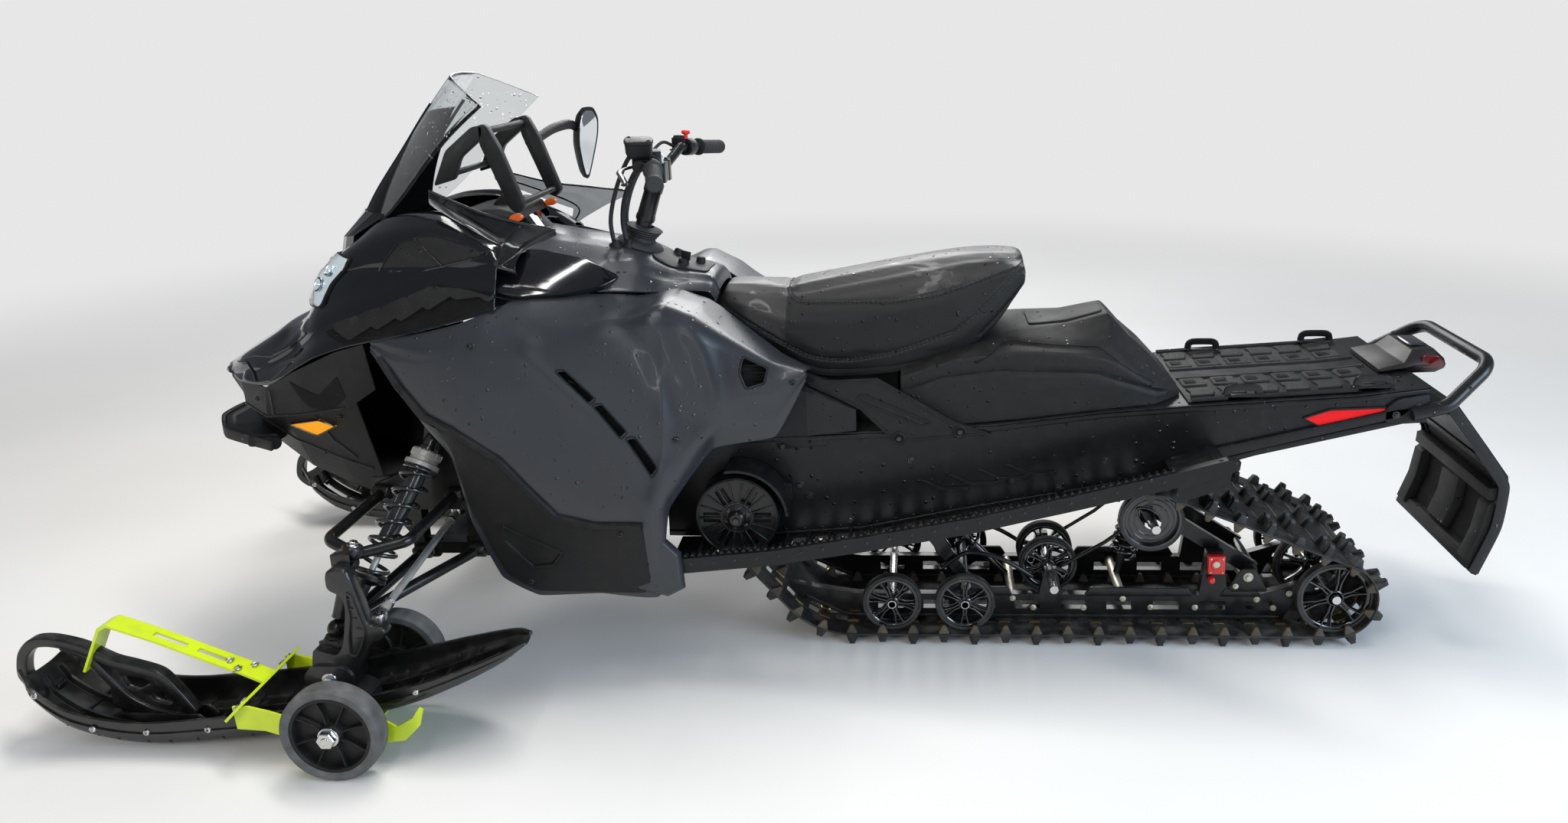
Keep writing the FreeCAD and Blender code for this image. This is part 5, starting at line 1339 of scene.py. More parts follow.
# seat: x, low y, low z, side y, side z, top y, top z, crown z
seat = {
    "rows": [
        (-211, 62, 796, 74, 806, 52, 822, 826),
        (-196, 80, 774, 92, 800, 66, 838, 850),
        (-150, 104, 744, 116, 786, 74, 836, 852),
        (-90, 120, 712, 134, 752, 82, 829, 842),
        (-46, 130, 692, 144, 728, 86, 830, 843),
        (18, 140, 664, 148, 700, 88, 840, 855),
        (100, 142, 662, 150, 698, 90, 855, 870),
        (202, 142, 671, 152, 718, 92, 874, 890),
        (300, 140, 692, 150, 752, 92, 893, 908),
        (352, 134, 712, 148, 786, 90, 902, 916),
        (420, 124, 768, 138, 848, 84, 908, 922),
        (470, 112, 838, 124, 894, 76, 906, 919),
        (488, 104, 862, 114, 894, 68, 902, 912),
    ],
    "voxel": 6.2,
    "pressure": 4.0,
    "frames": 20,
    "passes": 12,  # how often the swelling is evened over neighbours
    "most": 7.0,  # how far a point may swell
    "sideSeam": [(-202, 806), (-155, 783), (-77, 742), (-9, 708), (28, 699), (91, 696), (187, 713),
                 (292, 748), (324, 760),
                 (360, 792), (422, 850), (473, 898)],
    "topSeam": [(-52, 852), (-50, 838), (-38, 824), (-15, 818), (81, 821), (200, 826), (293, 842),
                (346, 858), (424, 886), (480, 905)],
    "kneeSeam": [(388, 752), (438, 806), (480, 850)],
}


def seatStart():
    # a smooth closed form a little smaller than the finished seat
    columns = []
    for row in seat["rows"]:
        x, ly, lz, sy, sz, ty, tz, cz = row
        half = [(0, lz), (ly * 0.6, lz), (ly, lz), ((ly + sy) / 2 + 2, lz + (sz - lz) * 0.35), (sy, sz),
                (sy * 0.9, sz + (tz - sz) * 0.55), (ty, tz), (ty * 0.5, cz - 1), (0, cz)]
        ring = half + [(-y, z) for y, z in half[-2:0:-1]]
        columns.append(ringAt(x, ring))
    lines = [smoothLine([column[k] for column in columns], 6, ease=0.8) for k in range(len(columns[0]))]
    return loftShape([[line[i] for line in lines] for i in range(len(lines[0]))])


def swell(piece):
    # remesh, let the cloth swell, and hold each point within its reach
    remesh = piece.modifiers.new("even", "REMESH")
    remesh.mode = "VOXEL"
    remesh.voxel_size = seat["voxel"] * 0.001
    settle(piece, 60)
    before = [v.co.copy() for v in piece.data.vertices]
    outward = [v.normal.copy() for v in piece.data.vertices]
    cloth = piece.modifiers.new("cloth", "CLOTH")
    cloth.settings.use_pressure = True
    cloth.settings.uniform_pressure_force = seat["pressure"]
    cloth.settings.effector_weights.gravity = 0.0
    cloth.settings.quality = 5
    cloth.settings.tension_stiffness = 30
    cloth.settings.compression_stiffness = 30
    cloth.settings.bending_stiffness = 2.0
    for step in range(1, seat["frames"] + 1):
        bpy.context.scene.frame_set(step)
    settle(piece, 60)
    bpy.context.scene.frame_set(1)
    lift = [(vertex.co - start).dot(normal) * 1000
            for vertex, start, normal in zip(piece.data.vertices, before, outward)]
    around = [[] for _ in lift]
    for edge in piece.data.edges:
        a, b = edge.vertices
        around[a].append(b)
        around[b].append(a)
    for _ in range(seat["passes"]):
        lift = [(value + sum(lift[k] for k in near)) / (1 + len(near)) for value, near in zip(lift, around)]
    for vertex, start, normal, height in zip(piece.data.vertices, before, outward, lift):
        x, z = start.x * 1000 - centreShift, start.z * 1000
        foot = max(0.0, min(1.0, (z - seatFloor(x) - 4.0) / 30.0))
        ends = max(0.0, min(1.0, (x + 206) / 30.0, (490 - x) / 24.0))
        sewn = min(1.0, 0.25 + min(nearLine(x, z, seat["sideSeam"]),
                                   nearLine(x, z, seat["topSeam"])) / 26.0)
        vertex.co = start + normal * (0.001 * max(0.0, min(seat["most"], height)) * foot * ends * sewn)


def seatFloor(x):
    rows = seat["rows"]
    for low, high in zip(rows, rows[1:]):
        if low[0] <= x <= high[0]:
            return low[2] + (high[2] - low[2]) * (x - low[0]) / (high[0] - low[0])
    return rows[0][2] if x < rows[0][0] else rows[-1][2]


seatPad = addPiece("seatPad", seatStart(), "seatVinyl", replaces=["seat"], angle=60)
swell(seatPad)
smoother = seatPad.modifiers.new("smooth", "SUBSURF")
smoother.levels = smoother.render_levels = 1
settle(seatPad, 60)


def sewSeat():
    # grooves pulled in along the seams, and the skin above the top seam in smoother vinyl
    seatPad.data.materials.append(paint["seatSide"])
    seams = [seat["sideSeam"], seat["topSeam"], seat["kneeSeam"]]
    normals = [v.normal.copy() for v in seatPad.data.vertices]
    for vertex, normal in zip(seatPad.data.vertices, normals):
        x, z = vertex.co.x * 1000 - centreShift, vertex.co.z * 1000
        if abs(normal.y) < 0.25:
            continue
        near = min(nearLine(x, z, seam) for seam in seams)
        if near < 14:
            vertex.co -= normal * (0.0030 * math.exp(-(near / 4.5) ** 2) * min(1.0, abs(normal.y) * 2))
    top = ringOnSide(0, seat["topSeam"])
    for face in seatPad.data.polygons:
        x, z = face.center.x * 1000 - centreShift, face.center.z * 1000
        for a, b in zip(top, top[1:]):
            if a.x <= x <= b.x and b.x > a.x:
                if z < a.z + (b.z - a.z) * (x - a.x) / (b.x - a.x):
                    face.material_index = 1
                break


sewSeat()
padTree = treeOf([meshShape(seatPad)])
weltShapes, stitchShapes = [], []
for name, radius in (("sideSeam", 1.5), ("topSeam", 1.9), ("kneeSeam", 1.3)):
    seam = [(p.x, p.y) for p in smoothLine([(x, z, 0) for x, z in seat[name]], 8, ease=0.9)]
    places, lifts = lineOn(seam, padTree, leftPlane, 0.2, 5.0)
    weltShapes.append(tubeShape(places, radius, 8))
    if name == "kneeSeam":
        continue
    for offset in (-4.2, 4.2):
        for k in range(2, len(places) - 2, 2):
            ahead = (places[k + 1] - places[k - 1]).normalized()
            across = ahead.cross(lifts[k]).normalized()
            hit, normal, _, _ = padTree.find_nearest(places[k] + across * offset)
            middle = hit + normal * 0.3
            stitchShapes.append(tubeShape([middle - ahead * 2.6, middle + normal * 0.5,
                                           middle + ahead * 2.6], 0.75, 5))
addPiece("seatWelts", bothSides(weltShapes), "seatVinyl", angle=60)
addPiece("seatStitches", bothSides(stitchShapes), "thread", angle=60)

# the skirt that closes the seat's foot against the tank
skirt = {"line": [(-196, 776), (-150, 746), (-90, 714), (-46, 694), (18, 666), (100, 664), (202, 673),
                  (300, 694), (352, 714)], "half": [80, 104, 120, 130, 140, 142, 142, 140, 134]}


def skirtShape():
    outer = smoothLine([(x, -half - 3, z) for (x, z), half in zip(skirt["line"], skirt["half"])], 6,
                       ease=0.8)
    return sweptShape(outer, [(-4, -4), (-4, 8), (3, 11), (5, 4), (5, -4)], (0, 0, 1))


addPiece("seatSkirt", bothSides(skirtShape()), "matteBlack", angle=45)
print("seat made")

# front suspension: shocks and coil springs
shock = {
    "top": (-835, -236, 556),
    "foot": (-957, -470, 236),
    "coil": 33.0,
    "wire": 4.6,
    "turns": 8.0,
}
shockTop, shockFoot = Vector(shock["top"]), Vector(shock["foot"])
shockAxis = (shockFoot - shockTop).normalized()
shockLength = (shockFoot - shockTop).length
alongShock = facing(shockTop, shockAxis)
springStart, springLength = 0.2 * shockLength, 0.6 * shockLength


def springShape():
    line = []
    steps = 30
    total = round(shock["turns"] * steps)
    for k in range(total + 1):
        share = k / total
        # the last turn at each end lies flat
        turn = share * shock["turns"]
        if turn < 0.9:
            rise = 0.02 * turn / 0.9
        elif turn > shock["turns"] - 0.9:
            rise = 0.98 + 0.02 * (turn - shock["turns"] + 0.9) / 0.9
        else:
            rise = 0.02 + 0.96 * (turn - 0.9) / (shock["turns"] - 1.8)
        height = springStart + shock["wire"] + rise * (springLength - 2 * shock["wire"])
        line.append(onCircle(shock["coil"], k, steps, height))
    return moveShape(tubeShape(line, shock["wire"], 10), alongShock)


addPiece("coilSprings", bothSides(springShape()), "springBlack", replaces=["front_springs"], angle=60)
collar = springStart - 8
bodyProfile = [(0.001, 8), (17, 8), (19, 12), (20, 20), (20, collar - 40), (22, collar - 38),
               (22, collar - 14)]
bodyProfile += [(21, collar - 12), (21, collar), (19.4, collar), (19.4, 0.60 * shockLength),
                (17, 0.62 * shockLength), (0.001, 0.62 * shockLength)]
addPiece("shockBodies", bothSides(moveShape(turned(bodyProfile, 40), alongShock)), "shockBlack",
         replaces=["front_shocks"])
perchLow = springStart + springLength
silver = [moveShape(turned([(19, collar - 30), (30, collar - 30), (33, collar - 26), (33, collar - 14),
                            (31, collar - 12), (31, collar - 4), (38, collar - 2), (38, collar + 7.5),
                            (19, collar + 7.5)], 40), alongShock),
          moveShape(turned([(0.001, 0.6 * shockLength), (7, 0.6 * shockLength), (7, shockLength - 16),
                            (0.001, shockLength - 16)], 24), alongShock)]
for k in range(10):
    notch = moveShape(blockShape((30, -2.2, collar - 28), (34.5, 2.2, collar - 15)),
                      Matrix.Rotation(k * math.pi / 5, 4, "Z"))
    silver.append(moveShape(notch, alongShock))
addPiece("shockCollars", bothSides(silver), "paleAlloy")
perch = [moveShape(turned([(7.2, perchLow - 4), (30, perchLow - 2), (38, perchLow + 0.3),
                           (38, perchLow + 8), (28, perchLow + 12), (14, perchLow + 18),
                           (12, shockLength - 14), (7.2, shockLength - 14)], 36), alongShock)]
for end, reach in ((shockTop, 20), (shockFoot - shockAxis * 10, 22)):
    perch.append(moveShape(turned([(6, -reach * 0.6), (15, -reach * 0.6), (16.5, -reach * 0.4),
                                   (16.5, reach * 0.4), (15, reach * 0.6), (6, reach * 0.6)], 28),
                           facing(end, (0.25, 1, 0))))
    perch.append(boltShape(end + Vector((0.25, 1, 0)).normalized() * (-reach * 0.62), (-0.25, -1, 0), 15))
addPiece("shockEyes", bothSides(perch), "frameBlack")

# arms: bushings at the frame, nuts and boots at the ball joints
joints = {
    "upperBall": (-931, -492, 366),
    "lowerBall": (-966, -512, 228),
    "tieOuter": (-869, -520, 260),
    "tieInner": (-846, -150, 330),
    "bushes": [(-985, -205, 405), (-815, -205, 400), (-905, -205, 258), (-775, -205, 262)],
}
kingpin = (Vector(joints["upperBall"]) - Vector(joints["lowerBall"])).normalized()
bushShapes = []
for x, y, z in joints["bushes"]:
    bush = turned([(6, -20), (16, -20), (17.5, -17), (17.5, 14), (16, 17), (6, 17)], 28)
    bushShapes.append(moveShape(bush, facing((x, y - 14, z), (1, 0, 0))))
    bushShapes.append(boltShape((x - 20, y - 14, z), (-1, 0, 0), 15))
    bushShapes.append(boltShape((x + 17, y - 14, z), (1, 0, 0), 15))
addPiece("armBushes", bothSides(bushShapes), "frameBlack")
brackets = []
for x, z in ((-985, 405), (-815, 400), (-905, 258), (-775, 262)):
    outline = roundCorners([(x - 30, z - 26), (x + 30, z - 26), (x + 38, z + 30), (x - 38, z + 30)], 12)
    brackets.append(plateShape(outline, -200, -196))
addPiece("armBrackets", bothSides(brackets), "frameBlack", bevel=1.0)

# each spindle: a cast fork with deep pockets, drawn in the plane of the kingpin
spindle = {
    "outline": [(-948, 378), (-932, 388), (-905, 384), (-896, 366), (-888, 330), (-878, 286), (-872, 262),
                (-842, 256), (-836, 244), (-846, 230), (-870, 222), (-884, 196), (-900, 166), (-912, 134),
                (-1010, 134), (-1004, 158), (-1000, 186), (-996, 206), (-972, 198), (-946, 190),
                (-930, 214), (-922, 252), (-914, 300), (-918, 330), (-948, 344)],
    "pocket": [(-908, 336), (-898, 330), (-888, 286), (-878, 250), (-890, 214), (-904, 190), (-916, 196),
               (-914, 236), (-906, 280), (-908, 310)],
    "near": -561.0,
    "far": -531.0,
}


def spindleShapes():
    cast, bright = [], []
    axis = kingpin
    upper, lower = Vector(joints["upperBall"]), Vector(joints["lowerBall"])
    outline = roundCorners(spindle["outline"], 12, 5)
    rings = []
    for y, inset in ((spindle["near"], 0.965), (spindle["near"] + 4, 1.0), (spindle["far"] - 4, 1.0),
                     (spindle["far"], 0.965)):
        rings.append(ringOnSide(y, shrunk(outline, (-920, 250), inset)))
    pocket = roundCorners(spindle["pocket"], 8)
    cast.append(loftShape(rings))
    floor, rim = [], []
    for x, z in pocket:
        floor.append(Vector((x, spindle["near"] - 0.4, z)))
        rim.append(Vector((x, spindle["near"] - 3.0, z)))
    rib = sweptShape(rim, [(-2.4, -3.4), (-2.0, 1.2), (2.0, 1.2), (2.4, -3.4)], (0, -1, 0), closed=True)
    cast.append(rib)
    for z0, x0 in ((322, -902), (300, -897), (278, -892), (256, -888), (232, -892)):
        cast.append(blockShape((x0 - 9, spindle["near"] - 2.6, z0 - 1.6),
                               (x0 + 9, spindle["near"] + 1, z0 + 1.6)))
    # the arms of the fork that reach in to the two eyes
    for eye, reach in ((upper + axis * 27, 34), (lower - axis * 32, 36)):
        out = Vector((eye.x, spindle["far"] - 6, eye.z))
        cast.append(loftShape([[out + Vector((sx * 20, 0, sz * 14)) for sx, sz in square],
                               [eye + axis.cross(Vector((0, 1, 0))) * sx * 15 + axis * sz * 9
                                for sx, sz in square]]))
        cast.append(moveShape(turned([(0, -11), (19, -11), (21, -8), (21, 8), (19, 11), (0, 11)], 32),
                              facing(eye, axis)))
    cast.append(moveShape(turned([(0, 26), (15, 26), (14, 30), (14, (upper - lower).length - 30),
                                  (15, (upper - lower).length - 26), (0, (upper - lower).length - 26)], 28),
                          facing(lower, axis)))
    # steering arm and its eye
    tie = Vector(joints["tieOuter"])
    armLine = smoothLine([lower - axis * 34 + Vector((10, -10, 0)), Vector((-905, -520, 212)),
                          Vector((-880, -520, 226)), tie - Vector((0, 0, 26))], 5)
    cast.append(tubeShape(armLine, lambda share: 14 - 3 * share, 14))
    cast.append(moveShape(turned([(0, -9), (13, -9), (15, -6), (15, 6), (12, 9), (0, 9)], 24),
                          Matrix.Translation(tie - Vector((0, 0, 26)))))
    bright.append(boltShape(tie - Vector((0, 0, 37)), (0, 0, -1), 17))
    # the foot over the ski, with its cross bolt
    foot = roundCorners([(-1014, 118), (-916, 118), (-912, 150), (-934, 172), (-1000, 172), (-1018, 150)],
                        12)
    cast.append(plateShape(foot, -568, -508))
    for y, turn in ((-569, -1), (-507, 1)):
        bright.append(boltShape((-964, y, 142), (0, turn, 0), 20))
    bright.append(boltShape(upper + axis * 39, axis, 17))
    bright.append(boltShape(lower - axis * 44, -axis, 17))
    return joinShapes(cast), joinShapes(bright)


castShape, brightShape = spindleShapes()
for side, name, turn in sides:
    body = "knuckle_" + name
    addPiece("spindleCast." + name, turn(castShape), "castBlack", body=body, replaces=["spindle_" + name],
             bevel=2.0)
    addPiece("spindleNuts." + name, turn(brightShape), "steel", body=body)
    boots = []
    for ball, sign in ((Vector(joints["upperBall"]), 1), (Vector(joints["lowerBall"]), -1)):
        profile = [(8, 15), (16, 15.5), (19, 18), (17, 20.5), (18, 23), (14, 25.5), (8, 26)]
        boots.append(moveShape(ringOf(profile, 28), facing(ball, kingpin * sign)))
    addPiece("ballBoots." + name, turn(boots), "gripRubber", body=body, angle=50)

# tie rods: eyes, lock nuts and rubber boots
tieOuter, tieInner = Vector(joints["tieOuter"]), Vector(joints["tieInner"])
tieAxis = (tieInner - tieOuter).normalized()
tieShapes, tieEnds = [], []
rodProfile = [(0.001, 20), (9.5, 20), (9.5, 34), (8, 38), (8, (tieInner - tieOuter).length - 40),
              (9.5, (tieInner - tieOuter).length - 36), (9.5, (tieInner - tieOuter).length - 22),
              (0.001, (tieInner - tieOuter).length - 20)]
tieShapes.append(moveShape(turned(rodProfile, 20), facing(tieOuter, tieAxis)))
for distance in (40, (tieInner - tieOuter).length - 46):
    tieEnds.append(moveShape(turned([(8, 0), (12.5, 0), (12.5, 7), (8, 7)], 6),
                             facing(tieOuter + tieAxis * distance, tieAxis)))
for place in (tieOuter, tieInner):
    tieEnds.append(moveShape(turned([(5, -8), (15, -8), (16, -5), (16, 5), (15, 8), (5, 8)], 28),
                             Matrix.Translation(place)))
    tieEnds.append(moveShape(turned([(0, 8), (9, 8), (11, 5), (0, 12)], 20), Matrix.Translation(place)))
tieEnds.append(moveShape(turned([(0.001, 8), (7.5, 8), (7.5, 24), (0.001, 24)], 20),
                         facing(tieOuter, tieAxis)))
for side, name, turn in sides:
    addPiece("tieRod." + name, turn(tieShapes), "paleAlloy", body="tie_rod_" + name,
             replaces=["tie_rod_" + name])
    addPiece("tieRodEnds." + name, turn(tieEnds), "steel", body="tie_rod_" + name)
print("front suspension made")

# ski: x, height of the keel, share of the half width, side wall height
ski = {
    "half": 84.0,
    "keel": 12.0,
    "rows": [(-1592, 140, 0.72, 26), (-1575, 108, 0.82, 36), (-1560, 80, 0.90, 46), (-1500, 38, 1.00, 52),
             (-1425, 12, 1.00, 56), (-1335, 0, 1.00, 60), (-1230, 6, 1.00, 62), (-1045, 28, 1.00, 62),
             (-820, 84, 1.00, 52), (-700, 128, 0.92, 40), (-600, 172, 0.62, 28), (-555, 200, 0.25, 12)],
    "middle": -538.0,
    "truss": [(-1437, 162), (-1394, 150), (-1343, 134), (-1312, 93), (-1276, 39), (-1289, 26), (-1369, 29),
              (-1456, 58), (-1451, 108)],
    "trussHoles": [[(-1427, 133), (-1375, 126), (-1362, 113), (-1396, 96), (-1417, 104)],
                   [(-1374, 88), (-1342, 97), (-1321, 68), (-1333, 63), (-1362, 72)]],
    "handle": [(-1560, 100), (-1608, 106), (-1634, 132), (-1626, 178), (-1600, 206), (-1560, 210),
               (-1500, 196), (-1437, 164), (-1394, 152), (-1343, 134), (-1312, 96), (-1280, 46)],
    "under": [(-1540, 200), (-1490, 176), (-1456, 130), (-1420, 84), (-1372, 52), (-1300, 34)],
}


def skiShapes():
    shell, trim = [], []
    rows = []
    for x, z, share, height in ski["rows"]:
        w, z0 = ski["half"] * share, z + ski["keel"]
        rows.append(ringAt(x, ((-w, z0 + height), (-w * 0.97, z0 + height * 0.45), (-w * 0.86, z0 + 5),
                               (-w * 0.3, z0), (w * 0.3, z0), (w * 0.86, z0 + 5),
                               (w * 0.97, z0 + height * 0.45), (w, z0 + height))))
    grid = skinGrid(rows, 6, 2, 0.0, 8.0)
    shell.append(gridShape(grid, -4.0))
    for j in (0, len(grid[0]) - 1):
        rim = [row[j] for row in grid]
        shell.append(sweptShape(rim, [(-3.2, -5), (-3.2, 2.4), (3.2, 2.4), (3.2, -5)], (0, 0, 1)))
    middle = len(grid[0]) // 2
    for offset in (-26, 26):
        line = [Vector((row[middle].x, offset * min(1, abs(row[0].y) / 84), row[middle].z + 6))
                for row in grid[4:-6]]
        shell.append(sweptShape(line, [(-3, -6), (-3, 12), (3, 12), (3, -6)], (0, 0, 1)))
    for x in range(-1500, -620, 55):
        near = min(grid, key=lambda row: abs(row[0].x - x))
        span = [p for p in near if abs(p.y) < abs(near[0].y) * 0.9]
        line = [Vector((p.x, p.y, p.z + 5)) for p in span]
        if len(line) > 2:
            shell.append(sweptShape(line, [(-2, -4), (-2, 5), (2, 5), (2, -4)], (0, 0, 1)))
    # a moulded step along the outside of each wall
    for j in (2, len(grid[0]) - 3):
        line = [row[j] for row in grid[2:-4]]
        shell.append(sweptShape(line, [(-2.5, -2), (-3.4, 2), (3.4, 2), (2.5, -2)], (0, 0, 1)))
    keel = [Vector((row[middle].x, 0, row[middle].z - 3)) for row in grid[10:-16]]
    trim.append(sweptShape(keel, [(-6, -7), (-9, 5), (9, 5), (6, -7)], (0, 0, 1)))
    return shell, trim


shellShapes, keelShapes = skiShapes()
plate = moveShape(holedPlate(roundCorners(ski["truss"], 9),
                             [roundCorners(hole, 6) for hole in ski["trussHoles"]], -6, 6), upPlate)
handleLine = smoothLine([(x, 0, z) for x, z in ski["handle"]], 7, ease=0.8)
beam = [(-8, -13), (-11, -10), (-11, 10), (-8, 13), (8, 13), (11, 10), (11, -10), (8, -13)]
handle = joinShapes([sweptShape(handleLine, beam, (0, 1, 0)),
                     sweptShape(smoothLine([(x, 0, z) for x, z in ski["under"]], 7, ease=0.8),
                                [(s * 0.8, h * 0.9) for s, h in beam], (0, 1, 0))])
bracket = [plateShape([(-1470, 30), (-1430, 16), (-1270, 14), (-1240, 30), (-1262, 50), (-1440, 52)], y,
                      y + 5, 8) for y in (-20, 15)]
skiBolts = []
skiTree = treeOf([joinShapes(shellShapes)])
for x, z in ((-1552, 132), (-1330, 52), (-1200, 60), (-1440, 60), (-760, 150)):
    hit, _, _, _ = skiTree.ray_cast(Vector((x, -300, z)), Vector((0, 1, 0)))
    if hit:
        skiBolts += [screwShape((x, hit.y - 0.6, z), (0, -1, 0), 14),
                     screwShape((x, -hit.y + 0.6, z), (0, 1, 0), 14)]
for x, z in ((-1458, 36), (-1262, 34)):
    skiBolts += [boltShape((x, -21, z), (0, -1, 0), 12), boltShape((x, 21, z), (0, 1, 0), 12)]
rubber = [plateShape([(-1052, 58), (-882, 74), (-892, 112), (-920, 122), (-1010, 122), (-1044, 96)], -27,
                     27, 14)]
for x in range(-1040, -890, 24):
    rubber.append(blockShape((x, -30, 78), (x + 9, 30, 104)))


def atSki(shape):
    return moveShape(shape, Matrix.Translation((0, ski["middle"], 0)))


for side, name, turn in sides:
    body = "knuckle_" + name
    addPiece("skiShell." + name, turn(atSki(shellShapes)), "skiBlack", body=body, replaces=["ski_" + name],
             angle=38)
    addPiece("skiLoop." + name, turn(atSki([plate, handle] + bracket)), "skiBlack", body=body, bevel=1.6)
    addPiece("skiRunner." + name, turn(atSki(keelShapes)), "steel", body=body, bevel=0.8)
    addPiece("skiScrews." + name, turn(atSki(skiBolts)), "steel", body=body)
    addPiece("skiRubber." + name, turn(atSki(rubber)), "gripRubber", body=body, bevel=2.0)

# dolly: wheels with ribbed hubs, and the bolts of its frame
dolly = {"x": -902.0, "z": 101.5, "y": (-679.0, -397.0), "radius": 101.5, "width": 42.0}


def dollyWheel():
    w, r = dolly["width"] / 2, dolly["radius"]
    tyre = ringOf([(r * 0.80, -w + 3), (r * 0.84, -w), (r * 0.95, -w), (r - 0.8, -w + 5), (r, -w + 12),
                   (r, w - 12), (r - 0.8, w - 5), (r * 0.95, w), (r * 0.84, w), (r * 0.80, w - 3)], 96)
    hub = [ringOf([(r * 0.74, -w + 5), (r * 0.805, -w + 3), (r * 0.805, w - 3), (r * 0.74, w - 2),
                   (r * 0.725, w - 5), (r * 0.73, 3)], 80),
           ringOf([(10, -w + 2), (21, -w + 2), (23, -w + 5), (23, w - 6), (20, w - 1), (10, w - 1)], 48),
           ringOf([(20, -4), (r * 0.76, -2), (r * 0.76, 3), (48, 1), (20, 3)], 80)]
    for k in range(8):
        turn = spun(k, 8)
        for way in (-1, 1):
            rings = [[Vector((radius, sy * half, z)) for sy, z in ((-1, 0), (1, 0), (0.6, way * tall),
                                                                   (-0.6, way * tall))]
                     for radius, half, tall in ((20, 3.2, w - 6), (40, 2.6, w - 11),
                                                (r * 0.75, 3.0, w - 6))]
            hub.append(moveShape(loftShape(rings), turn))
    return tyre, joinShapes(hub)


tyre, hub = dollyWheel()
for side, name, turn in sides:
    tyres, hubs, nuts = [], [], []
    for y in dolly["y"]:
        outward = -1 if y < ski["middle"] else 1
        place = upright(dolly["x"], y if side < 0 else -y, dolly["z"], outward if side < 0 else -outward)
        tyres.append(moveShape(tyre, place))
        hubs.append(moveShape(hub, place @ Matrix.Rotation(0.3, 4, "Z")))
        face = dolly["width"] / 2
        nuts += [moveShape(shape, place) for shape in (
            turned([(0.001, face - 4), (20, face - 4), (21, face - 1), (21, face + 2), (19, face + 3),
                    (0.001, face + 3)], 40),
            turned([(0, face + 2), (18.5, face + 2), (18.5, face + 13), (17, face + 14.8),
                    (0, face + 14.8)], 6),
            turned([(0.001, face + 14), (8.2, face + 14), (8.2, face + 16), (7, face + 17),
                    (0.001, face + 17)], 24))]
    addPiece("dollyTyres." + name, tyres, "tyreRubber", body="dolly_wheels_" + name,
             replaces=["dolly_wheels_" + name], angle=40)
    addPiece("dollyHubs." + name, hubs, "hubBlack", body="dolly_wheels_" + name, bevel=0.8, angle=40)
    addPiece("dollyNuts." + name, nuts, "steel", body="knuckle_" + name)
    bolts = []
    for x, y, z, up in ((-1166, -14, 155, (-0.4, 0, 0.9)), (-1148, 14, 146, (-0.4, 0, 0.9)),
                        (-1190, 0, 165, (-0.4, 0, 0.9)), (-1122, -70, 116, (-0.7, 0, 0.7)),
                        (-1122, -94, 116, (-0.7, 0, 0.7)), (-1122, 70, 116, (-0.7, 0, 0.7)),
                        (-1122, 94, 116, (-0.7, 0, 0.7))):
        bolts.append(boltShape((x, ski["middle"] + y, z), up, 13))
    addPiece("dollyBolts." + name, turn(bolts), "steel", body="knuckle_" + name)
print("skis and dollies made")

# track: the belt's inner face wraps the rail's nose, the rear idler, the upper idler and the sprocket
track = {
    "wheels": [(85.0, 223.0, 190.0), (1209.0, 122.0, 89.0), (784.0, 306.0, 76.0), (-178.0, 360.0, 84.0)],
    "thick": 5.0,
    "half": 190.5,
    "pitches": 48,
    "lug": 28.0,
    "evenRow": [(-150.0, 34.0), (0.0, 44.0), (150.0, 34.0)],
    "oddRow": [(-82.0, 30.0), (82.0, 30.0)],
}


def beltRuns(extra):
    wheels = [(x, z, r + extra) for x, z, r in track["wheels"]]
    runs = []
    for (ax, az, ar), (bx, bz, br) in zip(wheels, wheels[1:] + wheels[:1]):
        side = math.atan2(bz - az,
                          bx - ax) - math.pi / 2 + math.asin((ar - br) / math.hypot(bx - ax, bz - az))
        runs.append((Vector((ax + ar * math.cos(side), 0, az + ar * math.sin(side))),
                     Vector((bx + br * math.cos(side), 0, bz + br * math.sin(side))), side))
    return wheels, runs


def beltLength(extra):
    wheels, runs = beltRuns(extra)
    total = 0.0
    for i, (start, end, side) in enumerate(runs):
        j = (i + 1) % 4
        total += (end - start).length + ((runs[j][2] - side) % (2 * math.pi)) * wheels[j][2]
    return total


def beltPlace(distance, extra):
    # the place and the outward direction on the loop held off its wheels by extra
    wheels, runs = beltRuns(extra)
    for i, (start, end, side) in enumerate(runs * 2):
        length = (end - start).length
        if distance < length:
            return start.lerp(end, distance / length), Vector((math.cos(side), 0, math.sin(side)))
        distance -= length
        j = (i + 1) % 4
        x, z, r = wheels[j]
        sweep = (runs[j][2] - side) % (2 * math.pi)
        if distance < sweep * r:
            out = Vector((math.cos(side + distance / r), 0, math.sin(side + distance / r)))
            return Vector((x, 0, z)) + out * r, out
        distance -= sweep * r


outerLength = beltLength(track["thick"])
cleatPlaces = [beltPlace(outerLength * k / track["pitches"], track["thick"])
               for k in range(track["pitches"])]


